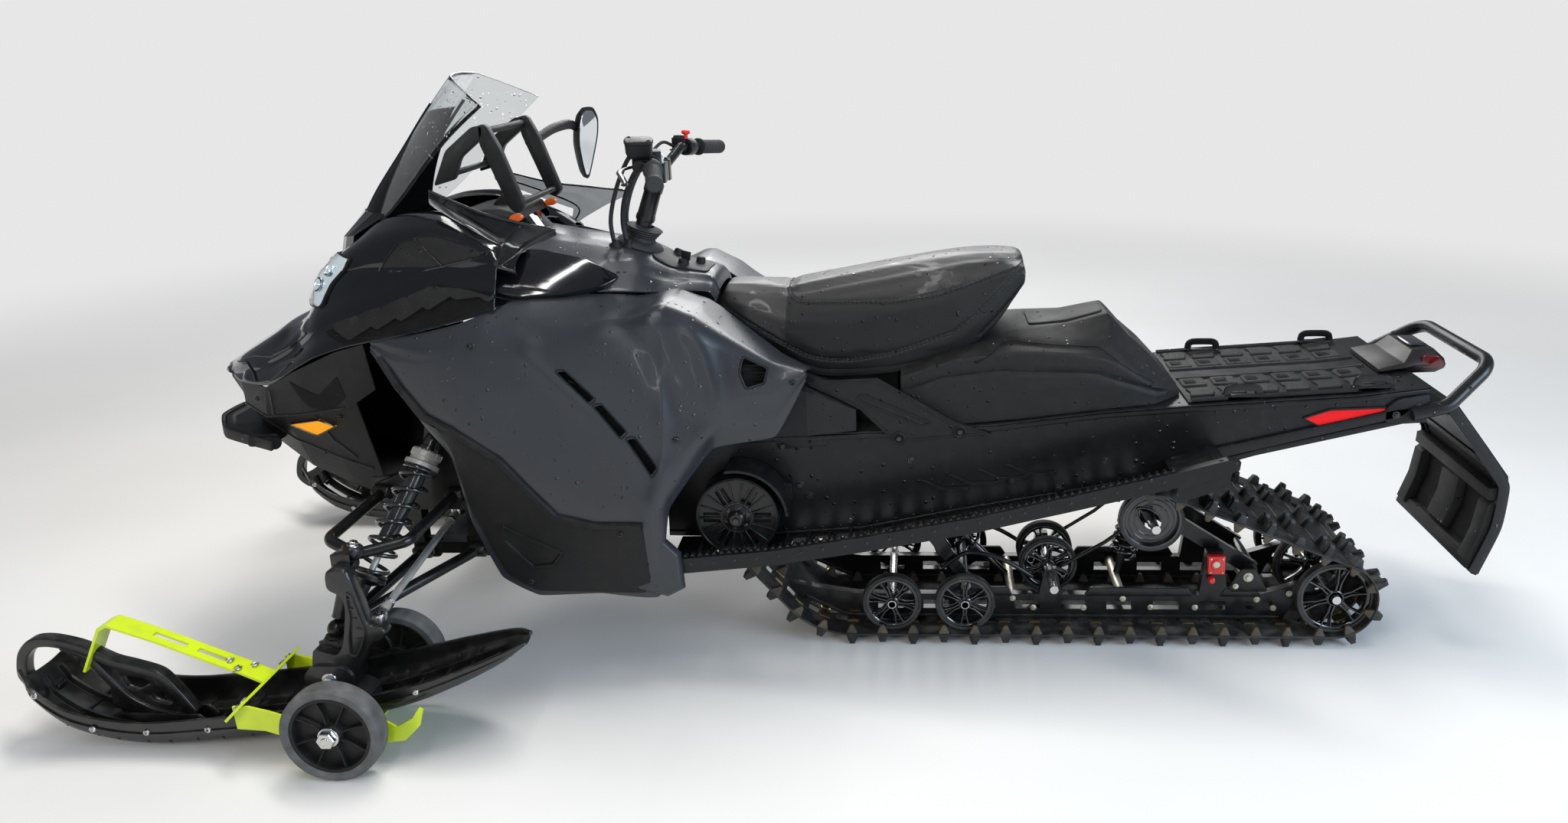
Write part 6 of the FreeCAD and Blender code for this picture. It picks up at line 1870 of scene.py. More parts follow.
def beltShape():
    # a grid of cells round the loop, with a window open on each side of every pitch
    half = track["half"]
    edges = [-half, 2 - half, -128, -100, -24, 24, 100, 128, half - 2, half]
    cells = track["pitches"] * 5
    points, faces = [], []
    for i in range(cells):
        place, out = beltPlace(outerLength * i / cells, track["thick"])
        for j, y in enumerate(edges):
            rim = 1.2 if j in (0, len(edges) - 1) else 0.0
            points.append(place - out * rim + Vector((0, y, 0)))
            points.append(place - out * (track["thick"] - rim) + Vector((0, y, 0)))
    width = len(edges) * 2

    def filled(i, j):
        return not (j in (2, 6) and i % 5 in (2, 3))

    for i in range(cells):
        n = (i + 1) % cells
        for j in range(len(edges) - 1):
            if not filled(i, j):
                continue
            a, b, c, d = i * width + 2 * j, n * width + 2 * j, n * width + 2 * j + 2, i * width + 2 * j + 2
            faces += [(a, b, c, d), (a + 1, d + 1, c + 1, b + 1)]
            if not filled(i - 1, j):
                faces.append((a, d, d + 1, a + 1))
            if not filled(n, j):
                faces.append((b, b + 1, c + 1, c))
            if j == 0 or not filled(i, j - 1):
                faces.append((a, a + 1, b + 1, b))
            if j == len(edges) - 2 or not filled(i, j + 1):
                faces.append((d, c, c + 1, d + 1))
    return points, faces


def lugShape(place, out, centre, reach):
    # a paddle with raised posts, a dip between them and a buttress on each face
    along = Vector((-out.z, 0, out.x))
    rows = [(-1.0, 0.80, 0.80), (-0.86, 1.0, 1.0), (-0.52, 1.0, 1.0), (-0.38, 0.74, 0.72),
            (0.38, 0.74, 0.72), (0.52, 1.0, 1.0), (0.86, 1.0, 1.0), (1.0, 0.80, 0.80)]
    rings = []
    for share, tall, wide in rows:
        middle = place + Vector((0, centre + share * reach, 0))
        ring = []
        for s, h in ((-12, -1.5), (-8.5, 7), (-6.4, 1), (6.4, 1), (8.5, 7), (12, -1.5)):
            height = track["lug"] * tall if h == 1 else h
            ring.append(middle + along * (s * wide) + out * height)
        rings.append(ring)
    shapes = [loftShape(rings)]
    for share in (-0.69, 0.69):
        middle = place + Vector((0, centre + share * reach, 0))
        shapes.append(loftShape([[middle + along * (s * size) + Vector((0, t * 3.6, 0)) + out * height
                                  for s, t in square] for height, size in ((-1.5, 15.0), (8.0, 13.0),
                                                                           (track["lug"] * 0.8, 9.0))]))
    return joinShapes(shapes)


def trackShapes():
    lugs, inner, clips = [], [], []
    for k, (place, out) in enumerate(cleatPlaces):
        along = Vector((-out.z, 0, out.x))
        for centre, reach in (track["oddRow"] if k % 2 else track["evenRow"]):
            lugs.append(lugShape(place, out, centre, reach))
        for y in ((-176, 176) if k % 2 else ()):
            foot = place + Vector((0, y, 0))
            lugs.append(loftShape([[foot + along * (s * size) + Vector((0, t * (11 if h < 9 else 8), 0))
                                    + out * h for s, t in square]
                                   for h, size in ((-1.5, 13.0), (8.0, 10.0), (20.0, 7.0))]))
        rod = [(-9, -1), (-6, 1.8), (6, 1.8), (9, -1)]
        lugs.append(sweptShape([place + Vector((0, y, 0)) for y in (-187, 187)], rod, out))
        foot = place - out * (track["thick"] - 0.5)
        for y, half in ((-182.5, 5.0), (-80, 10.0), (80, 10.0), (182.5, 5.0)):
            inner.append(loftShape([[foot + along * (s * size)
                                     + Vector((0, y + t * half * (1 if h < 2 else 0.7), 0)) - out * h
                                     for s, t in square]
                                    for h, size in ((-1, 13.0), (1, 12.5), (20, 4.0))]))
        for y in (-96, 96, -132, 132):
            # a folded steel clip that wraps the window's edge
            line = [foot + along * s - out * h + Vector((0, y, 0))
                    for s, h in ((-13, -0.5), (-12, 2.2), (12, 2.2), (13, -0.5))]
            clips.append(sweptShape(line, [(-4.2, -0.9), (-4.2, 0.9), (4.2, 0.9), (4.2, -0.9)], out))
    return joinShapes(lugs), joinShapes(inner), joinShapes(clips)


lugShapes, driveShapes, clipShapes = trackShapes()
addPiece("trackBelt", beltShape(), "trackRubber", replaces=["track"], angle=30)
addPiece("trackLugs", lugShapes, "trackRubber", bevel=0.9, angle=28)
addPiece("trackDriveLugs", driveShapes, "mudRubber", bevel=0.8, angle=28)
addPiece("trackClips", clipShapes, "brass", angle=30)
print("track made")

# wheels of the skid: x, z, radius, y of the middle
skid = {
    "road": [(181, 103.5, 70, -162), (353, 103.5, 70, -162), (181, 103.5, 70, 162), (353, 103.5, 70, 162),
             (560, 143.5, 70, -45), (560, 143.5, 70, 45)],
    "rear": [(1209, 122, 88.5, -162), (1209, 122, 88.5, 0), (1209, 122, 88.5, 162)],
    "upper": [(784, 306, 75.5, -144), (784, 306, 75.5, 144)],
    "width": 22.0,
}


def wheelShapes(radius, spokes):
    # rim and hub rings, and spokes that fork in two towards the rim
    w = skid["width"] / 2
    rim, hub = radius - 9.0, radius * 0.24
    cast = [ringOf([(rim - 8, -w + 3), (rim - 5, -w + 1), (rim + 1, -w + 1), (rim + 1, w - 1),
                    (rim - 5, w - 1), (rim - 8, w - 4)], 56),
            ringOf([(10.3, -w), (hub - 2, -w), (hub, -w + 2), (hub, w - 2), (hub - 3, w + 1),
                    (10.3, w + 1)], 36)]
    for k in range(spokes):
        turn = spun(k, spokes)
        for way in (-1, 1):
            rings = []
            for share, off, half, deep in ((0.0, 0.5, 3.6, 9.0), (0.35, 0.42, 3.2, 7.5),
                                           (0.75, 0.9, 2.8, 7.0), (1.0, 1.25, 3.4, 8.5)):
                r = hub - 2 + (rim - 5 - hub + 2) * share
                side = way * radius * 0.105 * off
                rings.append([Vector((r, side + sy * half, 1.0 + sz * deep))
                              for sy, sz in ((-1, -1), (1, -1), (0.6, 1), (-0.6, 1))])
            cast.append(moveShape(loftShape(rings), turn))
        rings = [[Vector((r, sy * half, -2.0 + sz * 1.6)) for sy, sz in square]
                 for r, half in ((hub, radius * 0.05), (hub + (rim - hub) * 0.5, radius * 0.05))]
        cast.append(moveShape(loftShape(rings), turn))
    band = ringOf([(rim + 0.6, -w + 2), (rim + 3, -w), (radius - 1.5, -w), (radius, -w + 1.8),
                   (radius, w - 1.8), (radius - 1.5, w), (rim + 3, w), (rim + 0.6, w - 2)], 72)
    cap = turned([(0.001, w + 7), (8, w + 7), (10, w + 5), (10, w + 1), (hub - 5, w + 1), (hub - 5, w - 3),
                  (0.001, w - 3)], 28)
    return joinShapes(cast), band, cap


castParts, bandParts, capParts = [], [], []
for x, z, radius, y in skid["road"] + skid["rear"]:
    cast, band, cap = wheelShapes(radius, 6)
    place = upright(x, y, z, -1 if y <= 0 else 1) @ Matrix.Rotation(random.uniform(0, 1), 4, "Z")
    castParts.append(moveShape(cast, place))
    bandParts.append(moveShape(band, place))
    capParts.append(moveShape(cap, place))


def idlerShapes():
    # a dished disc with an odd window, and the link that shows through it
    w = skid["width"] / 2
    radius = 75.5
    window = roundCorners([(-37, 31), (-13, 30), (14, 15), (25, -5), (21, -23), (0, -27), (-18, -14),
                           (-31, 9)], 8, 3)
    ring = [tuple(onCircle(radius * 0.80, k, 64, 0)[:2]) for k in range(64)]
    disc = holedPlate(ring, [window], -2.0, 3.0)
    lip = [Vector((px, py, 3.0)) for px, py in window]
    shapes = [disc, sweptShape(lip, [(-2.2, -1), (-2.2, 3), (1.2, 3), (1.2, -1)], (0, 0, 1), closed=True)]
    shapes.append(ringOf([(radius * 0.79, -w + 2), (radius - 7, -w), (radius - 7, w), (radius * 0.83, w),
                          (radius * 0.79, 3)], 64))
    for r in (radius * 0.52, radius * 0.68):
        shapes.append(ringOf([(r - 2, 2.5), (r - 1, 4.2), (r + 1, 4.2), (r + 2, 2.5)], 64))
    band = ringOf([(radius - 8, -w + 1), (radius - 6, -w), (radius - 1, -w), (radius, -w + 1.5),
                   (radius, w - 1.5), (radius - 1, w), (radius - 6, w), (radius - 8, w - 1)], 72)
    return joinShapes(shapes), band


idlerCast, idlerBand = idlerShapes()
for x, z, radius, y in skid["upper"]:
    place = upright(x, y, z, -1 if y < 0 else 1)
    castParts.append(moveShape(idlerCast, place))
    bandParts.append(moveShape(idlerBand, place))
    link = [(-24, 20), (-14, 22), (10, -2), (13, -10), (10, -18), (2, -21), (-6, -18), (-9, -10)]
    linkPoints = [Vector((px, py, -6)) for px, py in roundCorners(link, 5)]
    capParts.append(moveShape([loftShape([linkPoints, [p + Vector((0, 0, 8)) for p in linkPoints]]),
                               moveShape(turned([(0.001, 0), (7, 0), (7, 5), (5, 6.5), (0.001, 6.5)], 6),
                                         Matrix.Translation((3, -10, 1)))], place))
addPiece("skidWheelCasts", castParts, "wheelBlack", replaces=["skid_wheels"], bevel=0.8)
addPiece("skidWheelTyres", bandParts, "trackRubber", angle=40)
addPiece("skidWheelCaps", capParts, "frameBlack", angle=40)

# rails: wear strips, plates and bolts, and the red adjuster blocks
railShapes, boltParts, stripParts, redParts = [], [], [], []
for side in (-1, 1):
    y = side * 110
    for x, z in ((120, 88), (240, 60), (300, 78), (420, 62), (470, 84), (520, 60), (640, 60), (733, 84),
                 (800, 62), (905, 62), (1050, 84), (1125, 100), (1090, 62)):
        boltParts.append(boltShape((x, y, z), (0, side, 0), 9.5))
    line = ringOnSide(side * 100, ((-30, 88), (20, 62), (85, 36.5), (300, 36.5), (700, 36.5), (1105, 36.5)))
    stripParts.append(sweptShape(smoothLine(line, 4, ease=0.6),
                                 [(-14, -1.6), (-14, 7), (14, 7), (14, -1.6)], (0, 0, 1)))
    for x0, x1, z in ((300, 470, 98), (640, 900, 98), (960, 1060, 98)):
        plate = roundCorners([(x0, z - 6), (x1, z - 6), (x1 - 14, z + 16), (x0 + 14, z + 16)], 6)
        railShapes.append(plateShape(plate, side * 104, side * 112))
    for x, z in ((355, 116), (1022, 142)):
        gusset = roundCorners([(x - 44, z - 34), (x + 52, z - 34), (x + 20, z + 24), (x - 14, z + 26)], 10)
        railShapes.append(plateShape(gusset, side * 111, side * 117))
        boltParts.append(boltShape((x + 2, side * 117, z + 4), (0, side, 0), 15))
        boltParts.append(boltShape((x - 26, side * 117, z - 20), (0, side, 0), 9))
    low, high = sorted((side * 110.6, side * 127.6))
    redParts.append(blockShape((926.5, low, 158.5), (965.5, high, 203.5)))
    face = side * 127.6
    redParts.append(moveShape(ringOf([(8.5, -1), (14, -1), (14, 1.6), (12.5, 2.4), (8.5, 2.4)], 32),
                              upright(946, face, 183, side)))
    for dx, dz in ((-14, -17), (14, -17), (-14, 17), (14, 17)):
        boltParts.append(boltShape((946 + dx, face, 181 + dz), (0, side, 0), 4.5, washer=False))
    boltParts.append(moveShape(turned([(0.001, 0.4), (8.4, 0.4), (8.4, -3), (0.001, -3)], 28),
                               upright(946, face, 183, side)))
    redParts.append(moveShape(turned([(0, -12), (7, -12), (8, -8), (8, 3), (6, 6), (0, 6)], 20),
                              upright(938, face - side * 6, 140, side)))
addPiece("railPlates", railShapes, "frameBlack", bevel=1.2)
addPiece("railStrips", stripParts, "skiBlack", bevel=1.0)
addPiece("railBolts", boltParts, "zinc", angle=32)
addPiece("adjusterBlocks", redParts, "red", replaces=["skid_adjusters"], bevel=1.2)

# shocks of the skid with their springs, and the long rods
skidShocks, skidSprings, rods = [], [], []
for start, end in ((Vector((184, 0, 374)), Vector((470, 0, 84))),
                   (Vector((784, 0, 306)), Vector((733, 0, 84)))):
    line = (end - start).normalized()
    length = (end - start).length
    frameOf = facing(start, line)
    skidShocks.append(moveShape(turned([(0.001, 17), (14, 17), (18, 24), (20, 34), (20, length * 0.58),
                                        (17, length * 0.62), (9, length * 0.63), (8, length - 13),
                                        (0.001, length - 13)], 32), frameOf))
    turns, steps = 7, 22
    coil = [onCircle(30, k, steps, 40 + (length * 0.72 - 40) * k / (turns * steps))
            for k in range(turns * steps + 1)]
    skidSprings.append(moveShape(tubeShape(coil, 4.4, 8), frameOf))
for side in (-1, 1):
    rods.append(tubeShape([Vector((784, side * 92, 300)), Vector((690, side * 88, 222)),
                           Vector((590, side * 84, 158))], 4.5, 10))
    rods.append(tubeShape(smoothLine([(300, side * 84, 150), (360, side * 84, 190), (440, side * 84, 176),
                                      (520, side * 84, 128)], 5), 5.5, 10))
addPiece("skidShockBodies", skidShocks, "shockBlack", replaces=["skid_shocks"], angle=40)
addPiece("skidSprings", skidSprings, "springBlack", angle=60)
addPiece("skidRods", rods, "frameBlack", angle=50)
print("skid made")

# tunnel: side edges in X and Z, from the frame's own tables
tunnel = {
    "half": 205.0,
    "top": [(-330, 520), (-77, 538), (154, 546), (413, 562), (653, 592), (914, 611), (1200, 629),
            (1356, 648)],
    "low": [(1356, 566), (1306, 563), (993, 489), (810, 434), (584, 392), (353, 350), (119, 302),
            (-78, 287), (-330, 292)],
    "ribs": [245, 309, 373, 437],
    "bolts": [(-4, 391), (226, 477), (453, 430), (658, 475), (-24, 418), (-60, 512), (90, 332), (560, 410)],
    "beam": [(800, 486), (812, 462), (1000, 508), (1300, 583), (1318, 602), (1290, 600), (1000, 532)],
}


def heightOn(line, x):
    for (x0, z0), (x1, z1) in zip(line, line[1:]):
        if min(x0, x1) <= x <= max(x0, x1):
            return z0 + (z1 - z0) * (x - x0) / (x1 - x0)
    return line[0][1] if abs(x - line[0][0]) < abs(x - line[-1][0]) else line[-1][1]


def tunnelShapes():
    outline = tunnel["top"] + tunnel["low"]
    half = tunnel["half"]
    shapes = [plateShape(outline, -half, -half + 3), plateShape(outline, half - 3, half)]
    rings = []
    for x, z in tunnel["top"]:
        rings.append([Vector((x, y, z + dz)) for y, dz in ((-half, -3), (-half, -6), (-half + 8, -3),
                                                           (half - 8, -3), (half, -6), (half, -3),
                                                           (half - 4, 0), (-half + 4, 0))])
    shapes.append(loftShape(rings))
    front = [(-330, 292), (-327, 292), (-327, 518), (-330, 520)]
    shapes.append(plateShape(front, -half + 3, half - 3))
    side = []
    low = tunnel["low"][::-1]
    for x in tunnel["ribs"]:
        z = heightOn(low, x) + 78
        chevron = [(x, z + 26), (x + 12, z + 26), (x + 56, z + 6), (x + 118, z + 10), (x + 118, z),
                   (x + 54, z - 5)]
        outer = ringOnSide(-half + 0.5, chevron)
        middle = (x + 60, z + 6)
        inner = ringOnSide(-half - 3.2, shrunk(chevron, middle, 0.93))
        side.append(loftShape([outer, inner]))
    side.append(plateShape(tunnel["beam"], -half - 9, -half + 1, 10))
    # folded flange along the foot and the head of the side
    for line, lift in ((low, 9), (tunnel["top"], -10)):
        points = [Vector((x, -half - 1.2, z + lift)) for x, z in line]
        side.append(sweptShape(points, [(-1.6, -6), (-1.6, 6), (1.4, 5), (1.4, -5)], (0, 0, 1)))
    side.append(plateShape([(-70, 505), (40, 512), (46, 530), (-76, 528)], -half - 3, -half + 1, 6))
    # slim arms that carry the upper idler's axle inside its wheels
    hanger = roundCorners([(762, 440), (830, 450), (806, 296), (784, 282), (762, 296)], 14)
    side.append(plateShape(hanger, -124, -116))
    side.append(plateShape([(752, 446), (842, 460), (840, 448), (756, 436)], -half + 3, -116))
    return joinShapes(shapes), bothSides(side)


tunnelCore, tunnelTrim = tunnelShapes()
addPiece("tunnelShell", tunnelCore, "tunnelBlack", replaces=["tunnel"])
addPiece("tunnelTrim", tunnelTrim, "tunnelBlack", bevel=1.2, angle=30)
fixings = [boltShape((x, -205, z), (0, -1, 0), 13) for x, z in tunnel["bolts"]]
for x in range(-60, 1290, 42):
    fixings.append(screwShape((x, -206, heightOn(tunnel["low"][::-1], x) + 20), (0, -1, 0), 6.5))
for x in range(120, 1290, 65):
    fixings.append(screwShape((x, -206, heightOn(tunnel["top"], x) - 20), (0, -1, 0), 6))
addPiece("tunnelBolts", bothSides(fixings), "frameBlack")

# running boards: a toothed edge, rivets and cross treads
board = {"edge": [(-300, 308), (-78, 330), (119, 362), (353, 406), (584, 462), (800, 516)], "half": 362.0}
teeth, treads = [], []
for k in range(66):
    x = -262 + k * 16.0
    z = heightOn(board["edge"], x)
    teeth.append(loftShape([[Vector((x + dx * size, -board["half"] + 12 + dy * 7, z + h))
                             for dx, dy in square] for h, size in ((-2, 6.0), (2, 5.0), (7.0, 1.6))]))
for k in range(22):
    x = -250 + k * 48.0
    z = heightOn(board["edge"], x)
    treads.append(screwShape((x, -board["half"], z - 14), (0, -1, 0), 7))
    inner = heightOn([(-300, 290), (-78, 292), (119, 308), (353, 356), (584, 398), (800, 438)], x)
    line = [Vector((x + 6, -board["half"] + 26, z - 20)),
            Vector((x + 6, -260, (z - 20) * 0.35 + inner * 0.65 + 3)), Vector((x + 6, -212, inner + 3))]
    teeth.append(sweptShape(line, [(-2.4, -2), (-2.4, 5), (-0.8, 7.5), (0.8, 7.5), (2.4, 5), (2.4, -2)],
                            (0, 0, 1)))
addPiece("boardTeeth", bothSides(teeth), "frameBlack", angle=30)
addPiece("boardRivets", bothSides(treads), "darkSteel")

# seat strut: grooves and recessed bolts
strutShapes = []
groove = [(121, 636), (276, 569), (250, 562), (108, 624)]
strutShapes.append(sweptShape(ringOnSide(-213.2, roundCorners(groove, 6)),
                              [(-1.6, -1), (-1.6, 2.2), (1.6, 2.2), (1.6, -1)], (0, -1, 0), closed=True))
rim = [(4, 660), (118, 606), (194, 528), (400, 545), (318, 568), (154, 666)]
strutShapes.append(sweptShape(ringOnSide(-213.2, roundCorners(rim, 8)),
                              [(-1.4, -1), (-1.4, 1.8), (1.4, 1.8), (1.4, -1)], (0, -1, 0), closed=True))
strutBolts = []
for x, z in ((202, 533), (338, 548)):
    strutShapes.append(moveShape(ringOf([(9, -1), (15, -1), (15, 2.6), (12.5, 3.8), (10, 2.4)], 32),
                                 facing((x, -213, z), (0, -1, 0))))
    strutBolts.append(boltShape((x, -213.4, z), (0, -1, 0), 12, washer=False))
addPiece("strutTrim", bothSides(strutShapes), "grainBlack", angle=40)
addPiece("strutBolts", bothSides(strutBolts), "darkSteel")

# rear box: x, side y, side z, top half, top z
rearBox = {
    "rows": [(207, 188, 666, 138, 682), (332, 190, 708, 128, 724), (473, 190, 725, 92, 752),
             (585, 190, 721, 74, 760), (680, 188, 702, 62, 781), (726, 185, 678, 70, 733),
             (774, 178, 643, 78, 690), (836, 128, 616, 90, 622)],
    "seams": [[(374, 700), (434, 733), (462, 736), (647, 726), (772, 646)],
              [(226, 640), (300, 668), (420, 684), (640, 676), (790, 626)]],
}


def rearBoxShape():
    rows = []
    for x, sy, sz, ty, tz in rearBox["rows"]:
        floor = heightOn(tunnel["top"], x) + 1
        rows.append([Vector((x, -sy - 2, floor)), Vector((x, -sy - 1, floor + (sz - floor) * 0.45)),
                     Vector((x, -sy, sz)), Vector((x, -ty, tz)), Vector((x, ty, tz)), Vector((x, sy, sz)),
                     Vector((x, sy + 1, floor + (sz - floor) * 0.45)), Vector((x, sy + 2, floor))])
    grid = skinGrid(rows, 12, 9, 0.4, 6.0, ease=0.3)
    for seam in rearBox["seams"]:
        pressLine(grid, seam, 4.0, 5.0, -1)
    return gridShape(grid, 4.0)


boxShell = rearBoxShape()
addPiece("rearBoxShell", boxShell, "grainBlack", replaces=["rear_box"], angle=34)
boxTree = treeOf([boxShell])
lid = roundCorners([(500, -66), (640, -52), (672, -46), (672, 46), (640, 52), (500, 66)], 14)
addPiece("rearBoxLid", laidOn(lid, boxTree, topView, 4.0, 6.0), "seatSide", bevel=1.5)
boxTrim = [ribOn(rearBox["seams"][0], boxTree, leftPlane, 3.0, 1.6, 2.0),
           ribOn(rearBox["seams"][1], boxTree, leftPlane, 3.0, 1.6, 2.0)]
addPiece("rearBoxSeams", bothSides(boxTrim), "matteBlack", angle=40)

# rear deck: plate, raised pads, dark blocks of painted shade where the slots are, and the long groove
deckPads, deckSlotShade = [], []
deckLine = [(x, heightOn(tunnel["top"], x) + 0.8) for x in (842, 914, 1060, 1200, 1286)]
deckBed = plateShape(deckLine + [(x, z + 4) for x, z in deckLine[::-1]], -194, 194)


def padShape(corners):
    rings = []
    for height, size in ((3.0, 1.0), (7.0, 1.0), (9.4, 0.93)):
        rings.append([Vector((x, y, heightOn(tunnel["top"], x) + height))
                      for x, y in shrunk(corners, centreOf(corners), size)])
    return loftShape(rings)


for k in range(6):
    x = 852 + k * 70.0
    for side in (-1, 1):
        outer = [(x, side * 166), (x + 54, side * 166), (x + 60, side * 140), (x + 54, side * 112),
                 (x, side * 112), (x + 6, side * 140)]
        inner = [(x, side * 98), (x + 56, side * 98), (x + 56, side * 44), (x, side * 44)]
        deckPads += [padShape(roundCorners(outer, 5, 2)), padShape(roundCorners(inner, 7, 2))]
        # each slot is a flat dark block on its pad: painted shade where an opening would be
        top = heightOn(tunnel["top"], x + 28) + 9.5
        deckSlotShade.append(blockShape((x + 8, min(side * 84, side * 60), top - 3),
                                    (x + 34, max(side * 84, side * 60), top + 0.5)))
for side in (-1, 1):
    line = [Vector((x, side * 34, heightOn(tunnel["top"], x) + 4)) for x in (850, 960, 1080, 1200, 1278)]
    deckPads.append(sweptShape(line, [(-5, -1), (-4, 5), (4, 5), (5, -1)], (0, 0, 1)))
    line = [Vector((x, side * 188, heightOn(tunnel["top"], x) + 4)) for x in (850, 960, 1080, 1200, 1280)]
    deckPads.append(sweptShape(line, [(-6, -2), (-6, 5), (0, 8), (6, 5), (6, -2)], (0, 0, 1)))
addPiece("deckPlate", deckBed, "matteBlack", replaces=["rear_deck"], bevel=1.0)
addPiece("deckPads", deckPads, "grainBlack", angle=34)
addPiece("deckSlotShade", deckSlotShade, "meshBlack", bevel=0.8, angle=34)

# cargo anchors: rounded loops on a foot
anchorShapes = []
for x in (963, 1243):
    z = heightOn(tunnel["top"], x) + 5
    for y in (-184, 184):
        foot = roundCorners([(x - 43, y - 10), (x + 43, y - 10), (x + 43, y + 10), (x - 43, y + 10)], 8)
        anchorShapes.append(loftShape([[Vector((u, v, heightOn(tunnel["top"], x) + h))
                                        for u, v in shrunk(foot, (x, y), size)]
                                       for h, size in ((1, 1.0), (7, 1.0), (9.5, 0.94))]))
        loop = smoothLine([(x - 36, y, z + 4), (x - 33, y, z + 17), (x - 22, y, z + 22),
                           (x + 22, y, z + 22), (x + 33, y, z + 17), (x + 36, y, z + 4)], 5, ease=0.7)
        anchorShapes.append(sweptShape(loop, [(-7, -3.6), (-8.5, 0), (-7, 3.6), (7, 3.6), (8.5, 0),
                                              (7, -3.6)], (0, 1, 0)))
addPiece("anchorLoops", anchorShapes, "frameBlack", replaces=["cargo_anchors"],
         bevel=0.9)

# tail lamp: a faceted housing, a dark red lens and a glossy dark cap
lampRows = [(1293, 92, 640.8, 652, 88), (1350, 92, 648.6, 664, 84), (1372, 90, 640, 690, 66),
            (1424, 84, 640, 692, 58), (1450, 70, 646, 668, 60)]
rings = []
for x, half, low, high, top in lampRows:
    mid = low + (high - low) * 0.45
    rings.append(ringAt(x, ((-half * 0.9, low), (-half, mid), (-top, high), (top, high), (half, mid),
                            (half * 0.9, low))))
addPiece("tailHousing", loftShape(rings), "lampSmoke", replaces=["tail_lamp"], bevel=2.4, angle=25)
lens = []
for side in (-1, 1):
    outline = [(1384, 652), (1428, 652), (1440, 664), (1424, 682), (1392, 682)]
    lens.append(plateShape(outline, side * 85 if side < 0 else 80, side * 80 if side < 0 else 85, 6))
back = loftShape([ringAt(1449 + dx, ((-52, 650), (52, 650), (50, 664), (-50, 664))) for dx in (-3, 2.4)])
addPiece("tailLens", lens + [back], "deepRed", bevel=1.2)
capShape = loftShape([[Vector((x, y, z)) for x, y, z in ((1378, -40, 693), (1420, -36, 694),
                                                         (1420, 36, 694), (1378, 40, 693))],
                      [Vector((x, y, z)) for x, y, z in ((1382, -36, 696), (1416, -32, 697),
                                                         (1416, 32, 697), (1382, 36, 696))]])
addPiece("tailCap", capShape, "smokeEdge", bevel=1.0)

# side reflectors in a thin bezel, and the bumper's end brackets
bezel = ringOnSide(-207.4, roundCorners([(1089, 577), (1124, 559), (1307, 603), (1147, 597)], 4))
addPiece("reflectorBezels", bothSides(sweptShape(bezel, [(-1.8, -2), (-1.8, 1.6), (1.8, 1.6), (1.8, -2)],
                                                 (0, -1, 0), closed=True)), "matteBlack", angle=40)
bumperPlate = plateShape([(1262, 566), (1356, 584), (1356, 634), (1290, 622), (1262, 600)], -214, -204, 12)
bumperBolts = [boltShape((x, -214, z), (0, -1, 0), 11) for x, z in ((1286, 586), (1330, 604))]
addPiece("bumperPlates", bothSides(bumperPlate), "matteBlack", bevel=2.0)
addPiece("bumperBolts", bothSides(bumperBolts), "darkSteel")

# snow flap: lips down both edges, a cross ridge, and a moulded foot with two hollows, their floors in a
# darker black as painted shade
flap = {"face": [(1396, 592), (1414, 586), (1486, 492), (1535, 424), (1542, 400), (1535, 312), (1497, 202)],
        "half": 196.0}
flapTrim, flapLips = [], []
faceLine = ringOnSide(0, flap["face"])
for side in (-1, 1):
    line = [p + Vector((4, side * 193, 0)) for p in smoothLine(faceLine, 6, ease=0.6)]
    flapLips.append(sweptShape(line, [(-3.5, -12), (-3.5, 12), (3.5, 12), (3.5, -12)], (1, 0, 0)))
    line = [p + Vector((0, side * 168, 0)) for p in smoothLine(faceLine[:5], 6, ease=0.6)]
    flapTrim.append(sweptShape(line, [(-4, -4), (-2, 5), (2, 5), (4, -4)], (-1, 0, 0.7)))


def onFlap(z):
    # the front face at a height
    return heightOn([(z0, x0) for x0, z0 in flap["face"]], z)


def flapBlock(y0, y1, z0, z1, proud):
    rings = []
    for share, out in ((0.0, 0.2), (0.08, 1.0), (0.5, 1.0), (0.92, 1.0), (1.0, 0.2)):
        z = z0 + (z1 - z0) * share
        x = onFlap(z)
        rings.append([Vector((x + 4, y0, z)), Vector((x - proud * out, y0 + 5, z)),
                      Vector((x - proud * out, y1 - 5, z)), Vector((x + 4, y1, z))])
    return loftShape(rings)


for y0, y1, z0, z1, proud in ((-46, 46, 238, 372, 17), (-190, -140, 214, 372, 20), (140, 190, 214, 372, 20),
                              (-190, 190, 372, 404, 22), (-190, 190, 206, 238, 14),
                              (-150, 150, 452, 470, 4)):
    flapTrim.append(flapBlock(y0, y1, z0, z1, proud))
# the hollows' floors take a darker black than the moulding around them: painted shade
hollows = [flapBlock(y0, y1, 240, 370, 2) for y0, y1 in ((-138, -48), (48, 138))]
addPiece("flapLips", flapLips, "tubeSatin", bevel=1.5)
addPiece("flapMoulding", flapTrim, "grainBlack", bevel=2.0, angle=30)
addPiece("flapHollowShade", hollows, "meshBlack", angle=30)

# driven pulley: ribbed face, cap and bolts
pulley = {"x": -158.0, "z": 371.0}
face = -279.0
ribs = [moveShape(ringOf([(r - 3, -2), (r - 2, 3), (r + 2, 3), (r + 3, -2)], 72),
                  upright(pulley["x"], face, pulley["z"])) for r in (88, 34)]
for k in range(18):
    turn = upright(pulley["x"], face, pulley["z"]) @ spun(k, 18)
    ribs.append(moveShape(loftShape([[Vector((r, s * half, z))
                                      for s, z in ((-1, -2), (1, -2), (0.6, tall), (-0.6, tall))]
                                     for r, half, tall in ((36, 2.6, 5.0), (60, 2.2, 4.0),
                                                           (86, 3.0, 2.2))]), turn))
ribs.append(moveShape(turned([(0.001, 16), (14, 16), (18, 12), (20, 4), (30, 2), (30, -2), (0.001, -2)],
                             40), upright(pulley["x"], face, pulley["z"])))
addPiece("pulleyRibs", ribs, "frameBlack", bevel=0.7)
pulleyBolts = []
